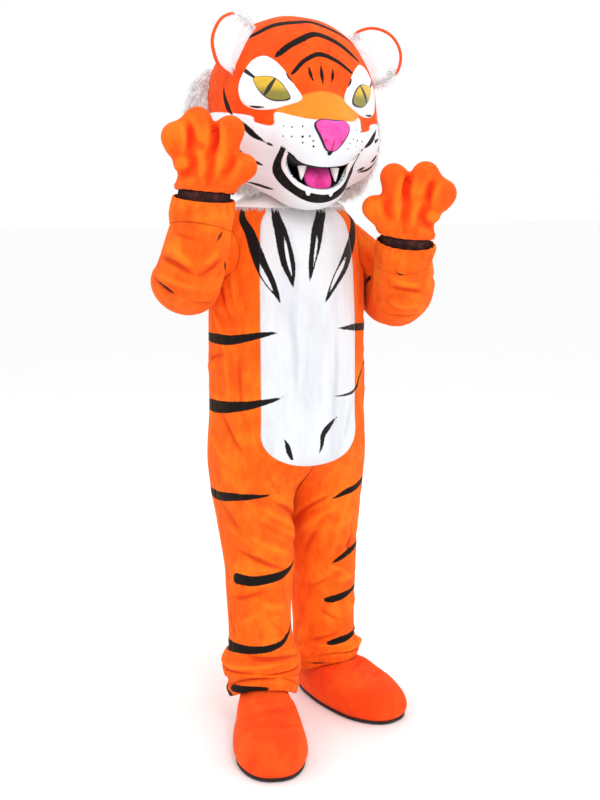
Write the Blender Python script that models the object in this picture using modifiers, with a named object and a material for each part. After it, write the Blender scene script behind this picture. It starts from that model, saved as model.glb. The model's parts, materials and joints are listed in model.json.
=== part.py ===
"""A tiger mascot costume: head, one-piece suit, two mitts and two shoe covers, in the pose of a wearer.

Heights in the tables are above the floor, in metres. The costume faces -Y, the wearer's right is -X,
and every object is lowered by SHOULDER_HEIGHT, so that the origin is where the suit hangs on the shoulders.
"""

import math
from collections import namedtuple

import bmesh
import bpy
import numpy as np
from mathutils import Matrix, Vector
from mathutils.bvhtree import BVHTree

# Driving dimensions
SHOULDER_HEIGHT = 1.36
PLUSH = 0.003
HEAD_WALL = 0.010
SEAM = 0.0003
CROTCH_HEIGHT = 0.53
HIP_HEIGHT = 0.730
LEGS_PART_HEIGHT = 0.40
BELLY_SHARE = 0.2206
BELLY_ROUND_HEIGHT = 0.79
BELLY_TIP_HEIGHT = 0.695
ARMHOLE_HEIGHT = 1.262
ARMHOLE_HALF_HEIGHT = 0.080
ARMHOLE_SHARE = 0.185
HALF_GIRTH = 0.62
ZIP_HALF_WIDTH = 0.0065
ZIP_BOTTOM_HEIGHT = 0.86
HEM_REACH = 0.15
HEM_SAMPLES = 32
BODY_COLUMNS = 6
RIGHT, LEFT = -1, 1
SIDE_NAME = {RIGHT: "right", LEFT: "left"}

TorsoRing = namedtuple("TorsoRing", "height half_width half_depth")
TORSO = (
    TorsoRing(1.415, 0.088, 0.088),
    TorsoRing(1.395, 0.122, 0.100),
    TorsoRing(1.370, 0.164, 0.114),
    TorsoRing(1.335, 0.198, 0.130),
    TorsoRing(1.280, 0.212, 0.146),
    TorsoRing(1.180, 0.220, 0.158),
    TorsoRing(1.020, 0.223, 0.166),
    TorsoRing(0.845, 0.223, 0.168),
    TorsoRing(0.740, 0.230, 0.170),
    TorsoRing(0.683, 0.232, 0.170),
    TorsoRing(0.626, 0.228, 0.166),
    TorsoRing(0.569, 0.220, 0.158),
    TorsoRing(0.500, 0.214, 0.150),
)

LegRing = namedtuple("LegRing", "height x y half_width half_depth")
LEGS = {
    RIGHT: (
        LegRing(0.600, -0.1080, 0.004, 0.1060, 0.146),
        LegRing(0.520, -0.1060, -0.008, 0.1010, 0.124),
        LegRing(0.417, -0.1120, -0.048, 0.0960, 0.102),
        LegRing(0.344, -0.1290, -0.081, 0.0890, 0.092),
        LegRing(0.261, -0.1440, -0.118, 0.0850, 0.086),
        LegRing(0.222, -0.1490, -0.136, 0.0880, 0.088),
        LegRing(0.175, -0.1570, -0.153, 0.1070, 0.106),
        LegRing(0.138, -0.1600, -0.163, 0.1030, 0.102),
        LegRing(0.116, -0.1610, -0.168, 0.0930, 0.093),
        LegRing(0.094, -0.1630, -0.173, 0.0980, 0.097),
        LegRing(0.070, -0.1645, -0.177, 0.0900, 0.092),
    ),
    LEFT: (
        LegRing(0.600, 0.1080, 0.004, 0.1060, 0.146),
        LegRing(0.520, 0.1060, 0.000, 0.1010, 0.124),
        LegRing(0.417, 0.1120, 0.000, 0.0960, 0.104),
        LegRing(0.344, 0.1100, -0.006, 0.0930, 0.098),
        LegRing(0.261, 0.1020, -0.022, 0.0900, 0.092),
        LegRing(0.200, 0.0970, -0.036, 0.0880, 0.088),
        LegRing(0.150, 0.0930, -0.045, 0.0900, 0.090),
        LegRing(0.118, 0.0910, -0.053, 0.1050, 0.104),
        LegRing(0.096, 0.0900, -0.059, 0.1000, 0.099),
        LegRing(0.074, 0.0900, -0.062, 0.0900, 0.093),
    ),
}

# A fold in the suit: share is 0 at the front centre or inseam, 0.5 at the side and 1 at the back
Fold = namedtuple("Fold", "side height share tilt reach width depth")
FOLDS = (
    Fold(RIGHT, 0.500, 0.18, 0.45, 0.16, 0.016, 0.009),
    Fold(RIGHT, 0.445, 0.26, 0.40, 0.17, 0.014, -0.007),
    Fold(RIGHT, 0.395, 0.34, 0.34, 0.18, 0.015, 0.008),
    Fold(RIGHT, 0.330, 0.24, -0.22, 0.16, 0.013, 0.006),
    Fold(LEFT, 0.505, 0.20, 0.40, 0.15, 0.015, 0.008),
    Fold(LEFT, 0.440, 0.30, 0.36, 0.16, 0.014, -0.007),
    Fold(LEFT, 0.345, 0.26, -0.25, 0.16, 0.013, 0.006),
    Fold(RIGHT, 0.480, 0.74, -0.40, 0.16, 0.016, 0.008),
    Fold(LEFT, 0.470, 0.76, -0.40, 0.16, 0.016, 0.008),
    Fold(RIGHT, 0.360, 0.78, 0.20, 0.15, 0.014, 0.007),
    Fold(LEFT, 0.340, 0.74, 0.20, 0.15, 0.014, 0.007),
    Fold(RIGHT, 1.120, 0.42, 0.30, 0.12, 0.016, 0.006),
    Fold(LEFT, 1.110, 0.42, 0.30, 0.12, 0.016, 0.006),
    Fold(RIGHT, 0.960, 0.52, -0.16, 0.14, 0.018, 0.006),
    Fold(LEFT, 0.940, 0.52, -0.16, 0.14, 0.018, 0.006),
    Fold(RIGHT, 0.985, 0.88, 0.10, 0.16, 0.020, -0.006),
    Fold(LEFT, 0.985, 0.88, 0.10, 0.16, 0.020, -0.006),
)

SleevePoint = namedtuple("SleevePoint", "x y height radius")
SLEEVES = {
    RIGHT: (
        SleevePoint(-0.214, 0.014, 1.268, 0.082),
        SleevePoint(-0.258, 0.040, 1.236, 0.084),
        SleevePoint(-0.298, 0.032, 1.192, 0.088),
        SleevePoint(-0.320, -0.030, 1.166, 0.090),
        SleevePoint(-0.330, -0.098, 1.184, 0.090),
        SleevePoint(-0.324, -0.134, 1.236, 0.089),
        SleevePoint(-0.313, -0.138, 1.290, 0.086),
        SleevePoint(-0.305, -0.134, 1.325, 0.080),
    ),
    LEFT: (
        SleevePoint(0.214, 0.008, 1.264, 0.082),
        SleevePoint(0.260, 0.008, 1.210, 0.084),
        SleevePoint(0.290, -0.022, 1.150, 0.087),
        SleevePoint(0.296, -0.080, 1.116, 0.089),
        SleevePoint(0.284, -0.138, 1.128, 0.088),
        SleevePoint(0.264, -0.178, 1.168, 0.085),
        SleevePoint(0.247, -0.200, 1.210, 0.080),
        SleevePoint(0.238, -0.213, 1.240, 0.076),
    ),
}
ELBOW_CREASE = {RIGHT: Vector((-0.30, -0.047, 1.256)), LEFT: Vector((0.27, -0.098, 1.215))}
ELBOW_GAP = 0.008
SLEEVE_PASSES = 3
CUFF_LENGTH = {RIGHT: 0.078, LEFT: 0.050}
CUFF_RADIUS = 0.0765
HAND_UP = {RIGHT: Vector((0.03, -0.15, 0.99)), LEFT: Vector((-0.04, -0.26, 0.96))}
PALM_FACES = {RIGHT: Vector((-0.42, -0.88, -0.10)), LEFT: Vector((-0.50, -0.84, -0.16))}

# Rolls of slack cloth round a sleeve: way is 0 at the armhole and 1 at the cuff
SleeveRoll = namedtuple("SleeveRoll", "side way turn twist reach width depth")
SLEEVE_ROLLS = (
    SleeveRoll(RIGHT, 0.36, 0.40, 0.05, 0.20, 0.040, 0.007),
    SleeveRoll(RIGHT, 0.55, 0.60, -0.06, 0.20, 0.040, 0.007),
    SleeveRoll(RIGHT, 0.70, 0.45, 0.06, 0.22, 0.036, -0.006),
    SleeveRoll(RIGHT, 0.82, 0.60, 0.04, 0.26, 0.036, 0.008),
    SleeveRoll(RIGHT, 0.92, 0.15, -0.03, 0.26, 0.030, 0.006),
    SleeveRoll(LEFT, 0.36, 0.40, 0.05, 0.20, 0.040, 0.007),
    SleeveRoll(LEFT, 0.55, 0.60, -0.06, 0.20, 0.040, 0.007),
    SleeveRoll(LEFT, 0.70, 0.40, 0.05, 0.22, 0.036, -0.006),
    SleeveRoll(LEFT, 0.82, 0.55, 0.04, 0.26, 0.036, 0.008),
    SleeveRoll(LEFT, 0.92, 0.15, -0.03, 0.26, 0.030, 0.006),
)

# The head, in its own frame: origin at its centre, -Y forward
HEAD_CENTRE = Vector((0.012, -0.006, 1.638))
HEAD_TURN = math.radians(-7)
HEAD_ROLL = math.radians(2.8)
HEAD_BLEND = 0.022
Ball = namedtuple("Ball", "x y z across deep tall mirrored")
HEAD_BALLS = (
    Ball(0.000, 0.010, 0.018, 0.222, 0.222, 0.206, False),
    Ball(0.100, -0.050, -0.095, 0.118, 0.118, 0.105, True),
    Ball(0.040, -0.190, -0.092, 0.068, 0.098, 0.060, True),
    Ball(0.000, -0.165, -0.030, 0.060, 0.098, 0.050, False),
    Ball(0.000, -0.146, -0.204, 0.088, 0.094, 0.062, False),
    Ball(0.000, 0.020, -0.140, 0.165, 0.150, 0.090, False),
)
NECK_HOLE_ANGLE = math.radians(152)

# Outlines on the face, in the head's frame: x is towards the wearer's left, seen from the front
Spot = namedtuple("Spot", "x z")
NOSE_OUTLINE = (
    Spot(0.000, -0.048), Spot(0.030, -0.048), Spot(0.047, -0.062), Spot(0.036, -0.090),
    Spot(0.013, -0.121), Spot(-0.013, -0.121), Spot(-0.036, -0.090), Spot(-0.047, -0.062),
    Spot(-0.030, -0.048),
)
MOUTH_OUTLINE = (
    Spot(0.000, -0.160), Spot(0.034, -0.157), Spot(0.064, -0.149), Spot(0.094, -0.128),
    Spot(0.081, -0.168), Spot(0.060, -0.196), Spot(0.030, -0.212), Spot(0.000, -0.216),
    Spot(-0.030, -0.212), Spot(-0.060, -0.196), Spot(-0.081, -0.168), Spot(-0.094, -0.128),
    Spot(-0.064, -0.149), Spot(-0.034, -0.157),
)
JAW_OUTLINE = (
    Spot(0.126, -0.118), Spot(0.120, -0.190), Spot(0.100, -0.320), Spot(-0.100, -0.320),
    Spot(-0.120, -0.190), Spot(-0.126, -0.118),
)
WHITE_OUTLINE = (
    Spot(0.600, -0.010), Spot(0.205, -0.034), Spot(0.155, -0.057), Spot(0.121, -0.063),
    Spot(0.113, -0.031), Spot(0.064, -0.046), Spot(0.000, -0.050), Spot(-0.064, -0.046),
    Spot(-0.113, -0.031), Spot(-0.121, -0.063), Spot(-0.155, -0.057), Spot(-0.205, -0.034),
    Spot(-0.600, -0.010), Spot(-0.600, -0.600), Spot(0.600, -0.600),
)
FACE_BACK = 0.030
MOUTH_BACK = -0.132
MOUTH_FELT = 0.002

# Outlines round the side of the face: turn is the angle from the front, in degrees
Round = namedtuple("Round", "turn z")
EYE_OUTLINE = (
    Round(14, 0.003), Round(19, 0.038), Round(26, 0.072), Round(34, 0.096), Round(43, 0.107),
    Round(52, 0.092), Round(58, 0.040), Round(55, -0.004), Round(46, -0.024), Round(34, -0.026),
    Round(24, -0.016),
)
IRIS_OUTLINE = (
    Round(20.5, 0.000), Round(25, 0.031), Round(31, 0.050), Round(38, 0.055), Round(46.5, 0.050),
    Round(43, 0.024), Round(36.5, 0.002), Round(29, -0.006),
)
EAR_CENTRE = Vector((0.188, -0.082, 0.136))
EAR_HALF_WIDTH = 0.080
EAR_HALF_HEIGHT = 0.078
EAR_RIM = 0.006
EAR_TURN = math.radians(25)
EAR_LEAN = math.radians(24)
NECK_FUR = 0.005
NECK_FUR_LIFT = 0.004

# The long fur at the wearer's left cheek, from the ear to the chin, in the head's frame
RuffPoint = namedtuple("RuffPoint", "x y z half_width standing")
RUFF = (
    RuffPoint(0.196, 0.062, 0.080, 0.016, 0.020),
    RuffPoint(0.222, 0.060, 0.030, 0.034, 0.040),
    RuffPoint(0.226, 0.052, -0.035, 0.044, 0.050),
    RuffPoint(0.214, 0.036, -0.100, 0.048, 0.052),
    RuffPoint(0.176, 0.000, -0.165, 0.044, 0.046),
    RuffPoint(0.136, -0.046, -0.198, 0.026, 0.026),
    RuffPoint(0.108, -0.074, -0.208, 0.010, 0.012),
)

# Mitts, in a frame at the wrist: x towards the thumb, y out of the back, z along the hand
Finger = namedtuple("Finger", "root_x root_z tip_x tip_y tip_z radius")
FINGERS = (
    Finger(-0.044, 0.082, -0.076, -0.020, 0.142, 0.041),
    Finger(-0.016, 0.092, -0.028, -0.012, 0.182, 0.040),
    Finger(0.034, 0.088, 0.052, -0.012, 0.170, 0.039),
    Finger(0.046, 0.040, 0.092, -0.016, 0.086, 0.036),
)
MITT_HEM_RISE = 0.016
MITT_HEM_SLOPE = 0.16
METABALL_SHARE = 0.575
MITT_GRAIN = 0.015
MITT_DETAIL = 0.30

BandRing = namedtuple("BandRing", "height radius")
BAND_RINGS = (
    BandRing(-0.004, 0.0650),
    BandRing(0.014, 0.0645),
    BandRing(0.034, 0.0550),
)
BAND_END = {RIGHT: BandRing(-0.032, 0.0630), LEFT: BandRing(-0.032, 0.0700)}
BAND_WALL = 0.002

# Shoe covers, in a frame at the ankle: -Y is the toe
SHOE_TURN = {RIGHT: math.radians(-20), LEFT: math.radians(16)}
SHOE_AHEAD = {RIGHT: 0.012, LEFT: -0.026}
ANKLE = {RIGHT: Vector((-0.168, -0.186, 0)), LEFT: Vector((0.090, -0.068, 0))}
SHOE_TOE = 0.300
SHOE_HEEL = 0.068
TOE_HALF_WIDTH = 0.094
HEEL_HALF_WIDTH = 0.066
SOLE_THICKNESS = 0.010
ANKLE_HOLE = 0.058
ShoeRing = namedtuple("ShoeRing", "height inward swell")
SHOE_RINGS = (
    ShoeRing(0.0103, 0.00, 0.000),
    ShoeRing(0.0300, 0.00, 0.006),
    ShoeRing(0.0520, 0.02, 0.004),
    ShoeRing(0.0720, 0.09, 0.000),
    ShoeRing(0.0860, 0.22, 0.000),
    ShoeRing(0.0950, 0.42, 0.000),
    ShoeRing(0.1040, 0.68, 0.000),
    ShoeRing(0.1180, 0.92, 0.000),
    ShoeRing(0.1350, 1.00, 0.000),
)

Finish = namedtuple("Finish", "colour roughness")
FINISHES = {
    "orange_plush": Finish((0.93, 0.27, 0.02, 1), 0.95),
    "red_plush": Finish((0.90, 0.13, 0.02, 1), 0.95),
    "white_plush": Finish((0.90, 0.88, 0.88, 1), 0.95),
    "white_fur": Finish((0.93, 0.91, 0.89, 1), 0.98),
    "black_felt": Finish((0.015, 0.012, 0.012, 1), 0.90),
    "pink_felt": Finish((0.85, 0.10, 0.42, 1), 0.70),
    "eye_gold": Finish((0.55, 0.44, 0.05, 1), 0.30),
    "dark_knit": Finish((0.06, 0.02, 0.02, 1), 0.95),
    "sole_rubber": Finish((0.05, 0.02, 0.015, 1), 0.80),
    "zip_tape": Finish((0.55, 0.16, 0.03, 1), 0.80),
}


def smooth(value, low, high):
    """0 at low, 1 at high, with a soft start and end."""
    share = min(1.0, max(0.0, (value - low) / (high - low)))
    return share * share * (3 - 2 * share)


def slopes(keys, values):
    """Slopes of a curve through the values that never overshoots them."""
    steps = np.diff(values) / np.diff(keys)
    found = np.zeros(len(values))
    found[0], found[-1] = steps[0], steps[-1]
    for i in range(1, len(values) - 1):
        before, after = steps[i - 1], steps[i]
        if before * after > 0:
            found[i] = 2 * before * after / (before + after)
    return found


def along(rows, key, field, at):
    """A table's column, read off a smooth curve at the given key."""
    ordered = sorted(rows, key=lambda row: getattr(row, key))
    keys = np.array([getattr(row, key) for row in ordered])
    values = np.array([getattr(row, field) for row in ordered])
    at = min(max(at, keys[0]), keys[-1])
    i = min(int(np.searchsorted(keys, at, side="right")) - 1, len(keys) - 2)
    tangent = slopes(keys, values)
    span = keys[i + 1] - keys[i]
    u = (at - keys[i]) / span
    return float(
        (2 * u**3 - 3 * u**2 + 1) * values[i]
        + (u**3 - 2 * u**2 + u) * span * tangent[i]
        + (3 * u**2 - 2 * u**3) * values[i + 1]
        + (u**3 - u**2) * span * tangent[i + 1]
    )


def material(slot):
    found = bpy.data.materials.get(slot)
    if found:
        return found
    finish = FINISHES[slot]
    made = bpy.data.materials.new(slot)
    made.use_nodes = True
    shader = made.node_tree.nodes["Principled BSDF"]
    shader.inputs["Base Color"].default_value = finish.colour
    shader.inputs["Roughness"].default_value = finish.roughness
    return made


def add_object(name, mesh, slot):
    """A part in the costume's collection, lowered to the shoulder origin."""
    made = bpy.data.objects.new(name, mesh)
    mesh.materials.clear()
    mesh.materials.append(material(slot))
    made.location.z = -SHOULDER_HEIGHT
    COSTUME.objects.link(made)
    return made


def wall(name, slot, outer, inner, wraps=False):
    """A cloth wall between two grids of points, closed at its edges, or round the tube if it wraps."""
    rows, columns = len(outer), len(outer[0])
    form = bmesh.new()
    skins = [[[form.verts.new(p) for p in row] for row in grid] for grid in (outer, inner)]
    spans = columns if wraps else columns - 1
    front, back = skins

    def quad(a, b, c, d):
        form.faces.new((a, b, c, d))

    for i in range(rows - 1):
        for j in range(spans):
            k = (j + 1) % columns
            quad(front[i][j], front[i + 1][j], front[i + 1][k], front[i][k])
            quad(back[i][j], back[i][k], back[i + 1][k], back[i + 1][j])
    for j in range(spans):
        k = (j + 1) % columns
        quad(front[0][j], front[0][k], back[0][k], back[0][j])
        quad(front[-1][k], front[-1][j], back[-1][j], back[-1][k])
    if not wraps:
        for i in range(rows - 1):
            quad(front[i + 1][0], front[i][0], back[i][0], back[i + 1][0])
            quad(front[i][-1], front[i + 1][-1], back[i + 1][-1], back[i][-1])
    bmesh.ops.triangulate(form, faces=form.faces)
    if form.calc_volume(signed=True) < 0:
        bmesh.ops.reverse_faces(form, faces=form.faces)
    mesh = bpy.data.meshes.new(name)
    form.to_mesh(mesh)
    form.free()
    mesh.shade_smooth()
    return add_object(name, mesh, slot)


def grid_walls(grid, wraps, thickness, middle_of):
    """The inner grid of a wall from its outer grid. middle_of(i) is a point inside the tube at row i."""
    rows, columns = len(grid), len(grid[0])
    inner = []
    for i in range(rows):
        row = []
        for j in range(columns):
            up, down = grid[max(i - 1, 0)][j], grid[min(i + 1, rows - 1)][j]
            if wraps:
                before, after = grid[i][j - 1], grid[i][(j + 1) % columns]
            else:
                before, after = grid[i][max(j - 1, 0)], grid[i][min(j + 1, columns - 1)]
            normal = (down - up).cross(after - before).normalized()
            if normal.dot(grid[i][j] - middle_of(i)) < 0:
                normal.negate()
            row.append(grid[i][j] - normal * thickness)
        inner.append(row)
    return inner


# The suit's body: each half runs from the neck to the hem of its leg


def fold_depth(side, share, height):
    total = 0.0
    for fold in FOLDS:
        if fold.side != side:
            continue
        line = fold.height + fold.tilt * (share - fold.share) * 0.3
        across = (height - line) / fold.width
        away = (share - fold.share) / fold.reach
        total += fold.depth * math.exp(-across * across - away * away * 3)
    return total


def suit_point(side, share, height):
    """A point on the outside of the suit: on a half ellipse of the body, or below it on a leg's ring."""
    a, b = (along(TORSO, "height", field, height) for field in ("half_width", "half_depth"))
    angle = math.pi * share
    torso = Vector((side * a * math.sin(angle), -b * math.cos(angle), 0))
    x, y, ra, rb = (
        along(LEGS[side], "height", field, height) for field in ("x", "y", "half_width", "half_depth")
    )
    turn = 2 * math.pi * share
    leg = Vector((x - side * ra * math.cos(turn), y - rb * math.sin(turn), 0))
    legness = smooth(height, HIP_HEIGHT, CROTCH_HEIGHT)
    point = torso.lerp(leg, legness)
    middle = Vector((0, 0, 0)).lerp(Vector((x, y, 0)), legness)
    away = (point - middle).normalized()
    point += away * fold_depth(side, share, height)
    point.z = height
    return point


def suit_normal(side, share, height):
    e_share, e_height = 0.006, 0.003
    run = suit_point(side, share + e_share, height) - suit_point(side, share - e_share, height)
    rise = suit_point(side, share, height + e_height) - suit_point(side, share, height - e_height)
    return (rise.cross(run) * -side).normalized()


def keep_to_side(side, height, point):
    """Holds a point above the legs clear of the plane between the costume's two halves."""
    if height > LEGS_PART_HEIGHT:
        point.x = side * max(side * point.x, SEAM / 2)
    return point


def suit_pair(side, share, height, lift=0.0):
    """Points on both faces of the cloth, with the hem lifted where it rides on the shoe."""
    outer = suit_point(side, share, height)
    normal = suit_normal(side, share, height)
    inner = outer - normal * PLUSH
    outer.z += lift
    inner.z += lift
    return keep_to_side(side, height, outer), keep_to_side(side, height, inner)


def belly_share(height):
    """How far round from the front centre the white belly reaches."""
    if height >= BELLY_ROUND_HEIGHT:
        return BELLY_SHARE
    down = (BELLY_ROUND_HEIGHT - height) / (BELLY_ROUND_HEIGHT - BELLY_TIP_HEIGHT)
    return BELLY_SHARE * math.sqrt(max(0.0, 1 - down * down))


def armhole_gap(height):
    """Half the armhole's width at this height, as a share of the half girth."""
    up = (height - ARMHOLE_HEIGHT) / ARMHOLE_HALF_HEIGHT
    return ARMHOLE_SHARE * math.sqrt(max(0.0, 1 - up * up))


def spaced(start, end, steps):
    """Heights from just under start down to end."""
    return [start + (end - start) * (i + 1) / steps for i in range(steps)]


def body_heights(side):
    """The heights of the rows of the front and back, from the neck down."""
    armhole = [
        ARMHOLE_HEIGHT + ARMHOLE_HALF_HEIGHT * math.cos(math.pi * i / 6) for i in range(7)
    ]
    belly = [
        BELLY_ROUND_HEIGHT - (BELLY_ROUND_HEIGHT - BELLY_TIP_HEIGHT) * math.sin(math.pi / 2 * i / 4)
        for i in range(4)
    ]
    hem = LEGS[side][-1].height
    rows = [TORSO[0].height, 1.385]
    rows += armhole
    rows += spaced(armhole[-1], BELLY_ROUND_HEIGHT, 5)[:-1] + belly
    rows += [BELLY_TIP_HEIGHT + 0.0022, BELLY_TIP_HEIGHT + 0.0010]
    rows += spaced(BELLY_TIP_HEIGHT, CROTCH_HEIGHT, 4)
    rows += spaced(CROTCH_HEIGHT, 0.26, 7)
    rows += spaced(0.26, hem, 9)
    return rows


def hem_lifts(side, shoe):
    """How far the hem rises at each share round the leg, so that it lies on the shoe."""
    hem = LEGS[side][-1].height
    needed = []
    for i in range(HEM_SAMPLES):
        share = i / HEM_SAMPLES
        outer, normal = suit_point(side, share, hem), suit_normal(side, share, hem)
        highest = hem
        for depth in (0.0, 0.004, 0.008):
            spot = outer - normal * depth
            hit = shoe.ray_cast(Vector((spot.x, spot.y, 0.5)), Vector((0, 0, -1)))[0]
            if hit is not None:
                highest = max(highest, hit.z + 0.002)
        needed.append(highest - hem)
    lifts = needed
    for _ in range(HEM_SAMPLES):
        lifts = [
            max(needed[i], (lifts[i - 1] + 2 * lifts[i] + lifts[(i + 1) % HEM_SAMPLES]) / 4)
            for i in range(HEM_SAMPLES)
        ]
    return lifts


def hem_lift(side, share, height, lifts):
    """The hem's rise at this share, fading out up the leg."""
    hem = LEGS[side][-1].height
    at = (share % 1) * HEM_SAMPLES
    i = int(at) % HEM_SAMPLES
    rise = lifts[i] + (lifts[(i + 1) % HEM_SAMPLES] - lifts[i]) * (at - int(at))
    return rise * smooth(height, hem + HEM_REACH, hem)


def body_panel(name, side, start, end, columns, lifts, heights):
    """A front or back of the suit between two shares that vary with height."""
    outer, inner = [], []
    for height in heights:
        low, high = start(height), end(height)
        pairs = [
            suit_pair(side, share, height, hem_lift(side, share, height, lifts))
            for share in (low + (high - low) * j / columns for j in range(columns + 1))
        ]
        outer.append([pair[0] for pair in pairs])
        inner.append([pair[1] for pair in pairs])
    return wall(name, "orange_plush", outer, inner)


def centre_strip(name, slot, edges, columns, back=False, sunk=0.0):
    """A panel across the middle of the front or back, from heights and half widths as shares."""
    outer, inner = [], []
    for height, half_share in edges:
        rows = ([], [])
        for j in range(columns + 1):
            across = 2 * j / columns - 1
            side = LEFT if across > 0 else RIGHT
            share = abs(across) * half_share
            share = 1 - share if back else share
            point, normal = suit_point(side, share, height), suit_normal(side, share, height)
            if across == 0:
                normal.x = 0
                normal.normalize()
            rows[0].append(point - normal * sunk)
            rows[1].append(point - normal * (sunk + PLUSH))
        outer.append(rows[0])
        inner.append(rows[1])
    return wall(name, slot, outer, inner)


def zip_share(height):
    return ZIP_HALF_WIDTH / HALF_GIRTH if height > ZIP_BOTTOM_HEIGHT else 0.0


def make_body(shoes):
    gap = SEAM / HALF_GIRTH / 2
    for side in (RIGHT, LEFT):
        heights = body_heights(side)
        lifts = hem_lifts(side, shoes[side])
        body_panel(
            f"front_{SIDE_NAME[side]}", side,
            lambda h: (belly_share(h) if h > BELLY_TIP_HEIGHT + 0.002 else 0) + gap,
            lambda h: 0.5 - armhole_gap(h) - gap,
            BODY_COLUMNS, lifts, heights,
        )
        zip_end = [ZIP_BOTTOM_HEIGHT + SEAM, ZIP_BOTTOM_HEIGHT - SEAM]
        body_panel(
            f"back_{SIDE_NAME[side]}", side,
            lambda h: 0.5 + armhole_gap(h) + gap,
            lambda h: 1 - zip_share(h) - gap,
            BODY_COLUMNS, lifts, sorted(heights + zip_end, reverse=True),
        )
    heights = body_heights(RIGHT)
    belly = [(h, belly_share(h) - gap) for h in heights if h > BELLY_TIP_HEIGHT + 0.0021]
    tip_height, tip_share = belly[-1]
    belly[-1] = (tip_height + SEAM, tip_share - gap)
    centre_strip("belly", "white_plush", belly, 8)
    zip_rows = [h for h in heights if h > ZIP_BOTTOM_HEIGHT] + [ZIP_BOTTOM_HEIGHT + 3 * SEAM]
    zip_edges = [(h, zip_share(h) - 2 * gap) for h in zip_rows]
    centre_strip("back_zip", "zip_tape", zip_edges, 2, back=True, sunk=0.0008)


# Sleeves, cuffs and wrist bands


def curve_frames(points, steps):
    """Points, directions and radii along a smooth curve through a sleeve's points."""
    keys = np.linspace(0, 1, len(points))
    table = np.array([(p.x, p.y, p.height, p.radius) for p in points])
    found = []
    tangents = np.gradient(table, keys, axis=0)
    for i in range(steps + 1):
        at = i / steps
        k = min(int(at * (len(keys) - 1)), len(keys) - 2)
        span = keys[k + 1] - keys[k]
        u = (at - keys[k]) / span
        found.append(
            (2 * u**3 - 3 * u**2 + 1) * table[k]
            + (u**3 - 2 * u**2 + u) * span * tangents[k]
            + (3 * u**2 - 2 * u**3) * table[k + 1]
            + (u**3 - u**2) * span * tangents[k + 1]
        )
    return [(Vector(row[:3]), float(row[3])) for row in found]


def armhole_ring(side, columns):
    """Points just inside the armhole's edge, from its top through the front."""
    ring = []
    for j in range(columns):
        turn = 2 * math.pi * j / columns
        height = ARMHOLE_HEIGHT + ARMHOLE_HALF_HEIGHT * math.cos(turn)
        share = 0.5 - ARMHOLE_SHARE * math.sin(turn)
        ring.append(suit_point(side, share, height))
    middle = sum(ring, Vector()) / columns
    return [point + (middle - point).normalized() * SEAM for point in ring]


def clear_of_torso(point, margin):
    """Moves a sleeve's point out until it is clear of the torso."""
    a, b = (along(TORSO, "height", field, point.z) + margin for field in ("half_width", "half_depth"))
    share = math.hypot(point.x / a, point.y / b)
    if share < 1:
        point.x /= share
        point.y /= share
    return point


def roll_depth(side, way, turn):
    total = 0.0
    for roll in SLEEVE_ROLLS:
        if roll.side != side:
            continue
        offset = (turn - roll.turn + 0.5) % 1 - 0.5
        across = (way - roll.way - roll.twist * offset) / roll.width
        away = offset / roll.reach
        total += roll.depth * math.exp(-across * across - away * away * 2)
    return total


def tube_frames(path, side):
    """For each point of a path: its centre, and the outer and front directions of its ring."""
    frames = []
    outward = Vector((0, 0, 1))
    for i, (centre, radius) in enumerate(path):
        before = path[max(i - 1, 0)][0]
        after = path[min(i + 1, len(path) - 1)][0]
        run = (after - before).normalized()
        outward = (outward - run * outward.dot(run)).normalized()
        frames.append((centre, outward.copy(), run.cross(outward) * side, run, radius))
    return frames


def sleeve_grid(side, columns, steps):
    """Rings of the sleeve's outside, from the armhole to the cuff."""
    path = curve_frames(SLEEVES[side], steps)
    frames = tube_frames(path, side)
    hole = armhole_ring(side, columns)
    crease = ELBOW_CREASE[side]
    crease_run = frames[2][3].cross(frames[-3][3]).normalized()
    grid = []
    for i, (centre, outward, front, run, radius) in enumerate(frames):
        way = i / steps
        to_crease = crease - centre
        to_crease -= run * to_crease.dot(run)
        to_crease -= crease_run * to_crease.dot(crease_run)
        limits = [to_crease]
        bend = bend_centre(path, i)
        if bend is not None:
            limits.append(bend - centre)
        ring = []
        for j in range(columns):
            turn = 2 * math.pi * j / columns
            away = outward * math.cos(turn) + front * math.sin(turn)
            spot = away * (radius + roll_depth(side, way, j / columns) * smooth(way, 0.0, 0.2))
            for limit in limits:
                reach = limit.length - ELBOW_GAP
                toward = limit.normalized()
                spot -= toward * max(0.0, spot.dot(toward) - reach)
            if i == 0:
                ring.append(hole[j])
            else:
                point = hole[j].lerp(centre + spot, smooth(way, -0.03, 0.28))
                ring.append(clear_of_torso(point, 0.010))
        grid.append(ring)
    return relaxed(grid, SLEEVE_PASSES), frames


def relaxed(grid, passes):
    """A tube's rings after averaging along its length, which opens out the inside of its bends."""
    for _ in range(passes):
        grid = (
            [grid[0]]
            + [
                [
                    clear_of_torso((before + 2 * point + after) / 4, 0.010)
                    for before, point, after in zip(*rings)
                ]
                for rings in zip(grid, grid[1:], grid[2:])
            ]
            + [grid[-1]]
        )
    return grid


def bend_centre(path, i):
    """The centre of the circle that the path follows here, or None where it is nearly straight."""
    if not 0 < i < len(path) - 1:
        return None
    a, b, c = (Vector(path[k][0]) for k in (i - 1, i, i + 1))
    ab, cb = a - b, c - b
    turn = ab.cross(cb)
    if turn.length < 1e-7:
        return None
    offset = (turn.cross(ab) * cb.length_squared + cb.cross(turn) * ab.length_squared) / (
        2 * turn.length_squared
    )
    return b + offset if offset.length < 0.25 else None


def sleeve_inner(grid, frames):
    """The inside of a sleeve. Its first ring lies in the armhole's opening."""
    inner = grid_walls(grid, True, PLUSH, lambda i: frames[i][0])
    middle = sum(grid[0], Vector()) / len(grid[0])
    inner[0] = [point + (middle - point).normalized() * PLUSH for point in grid[0]]
    return inner


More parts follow.
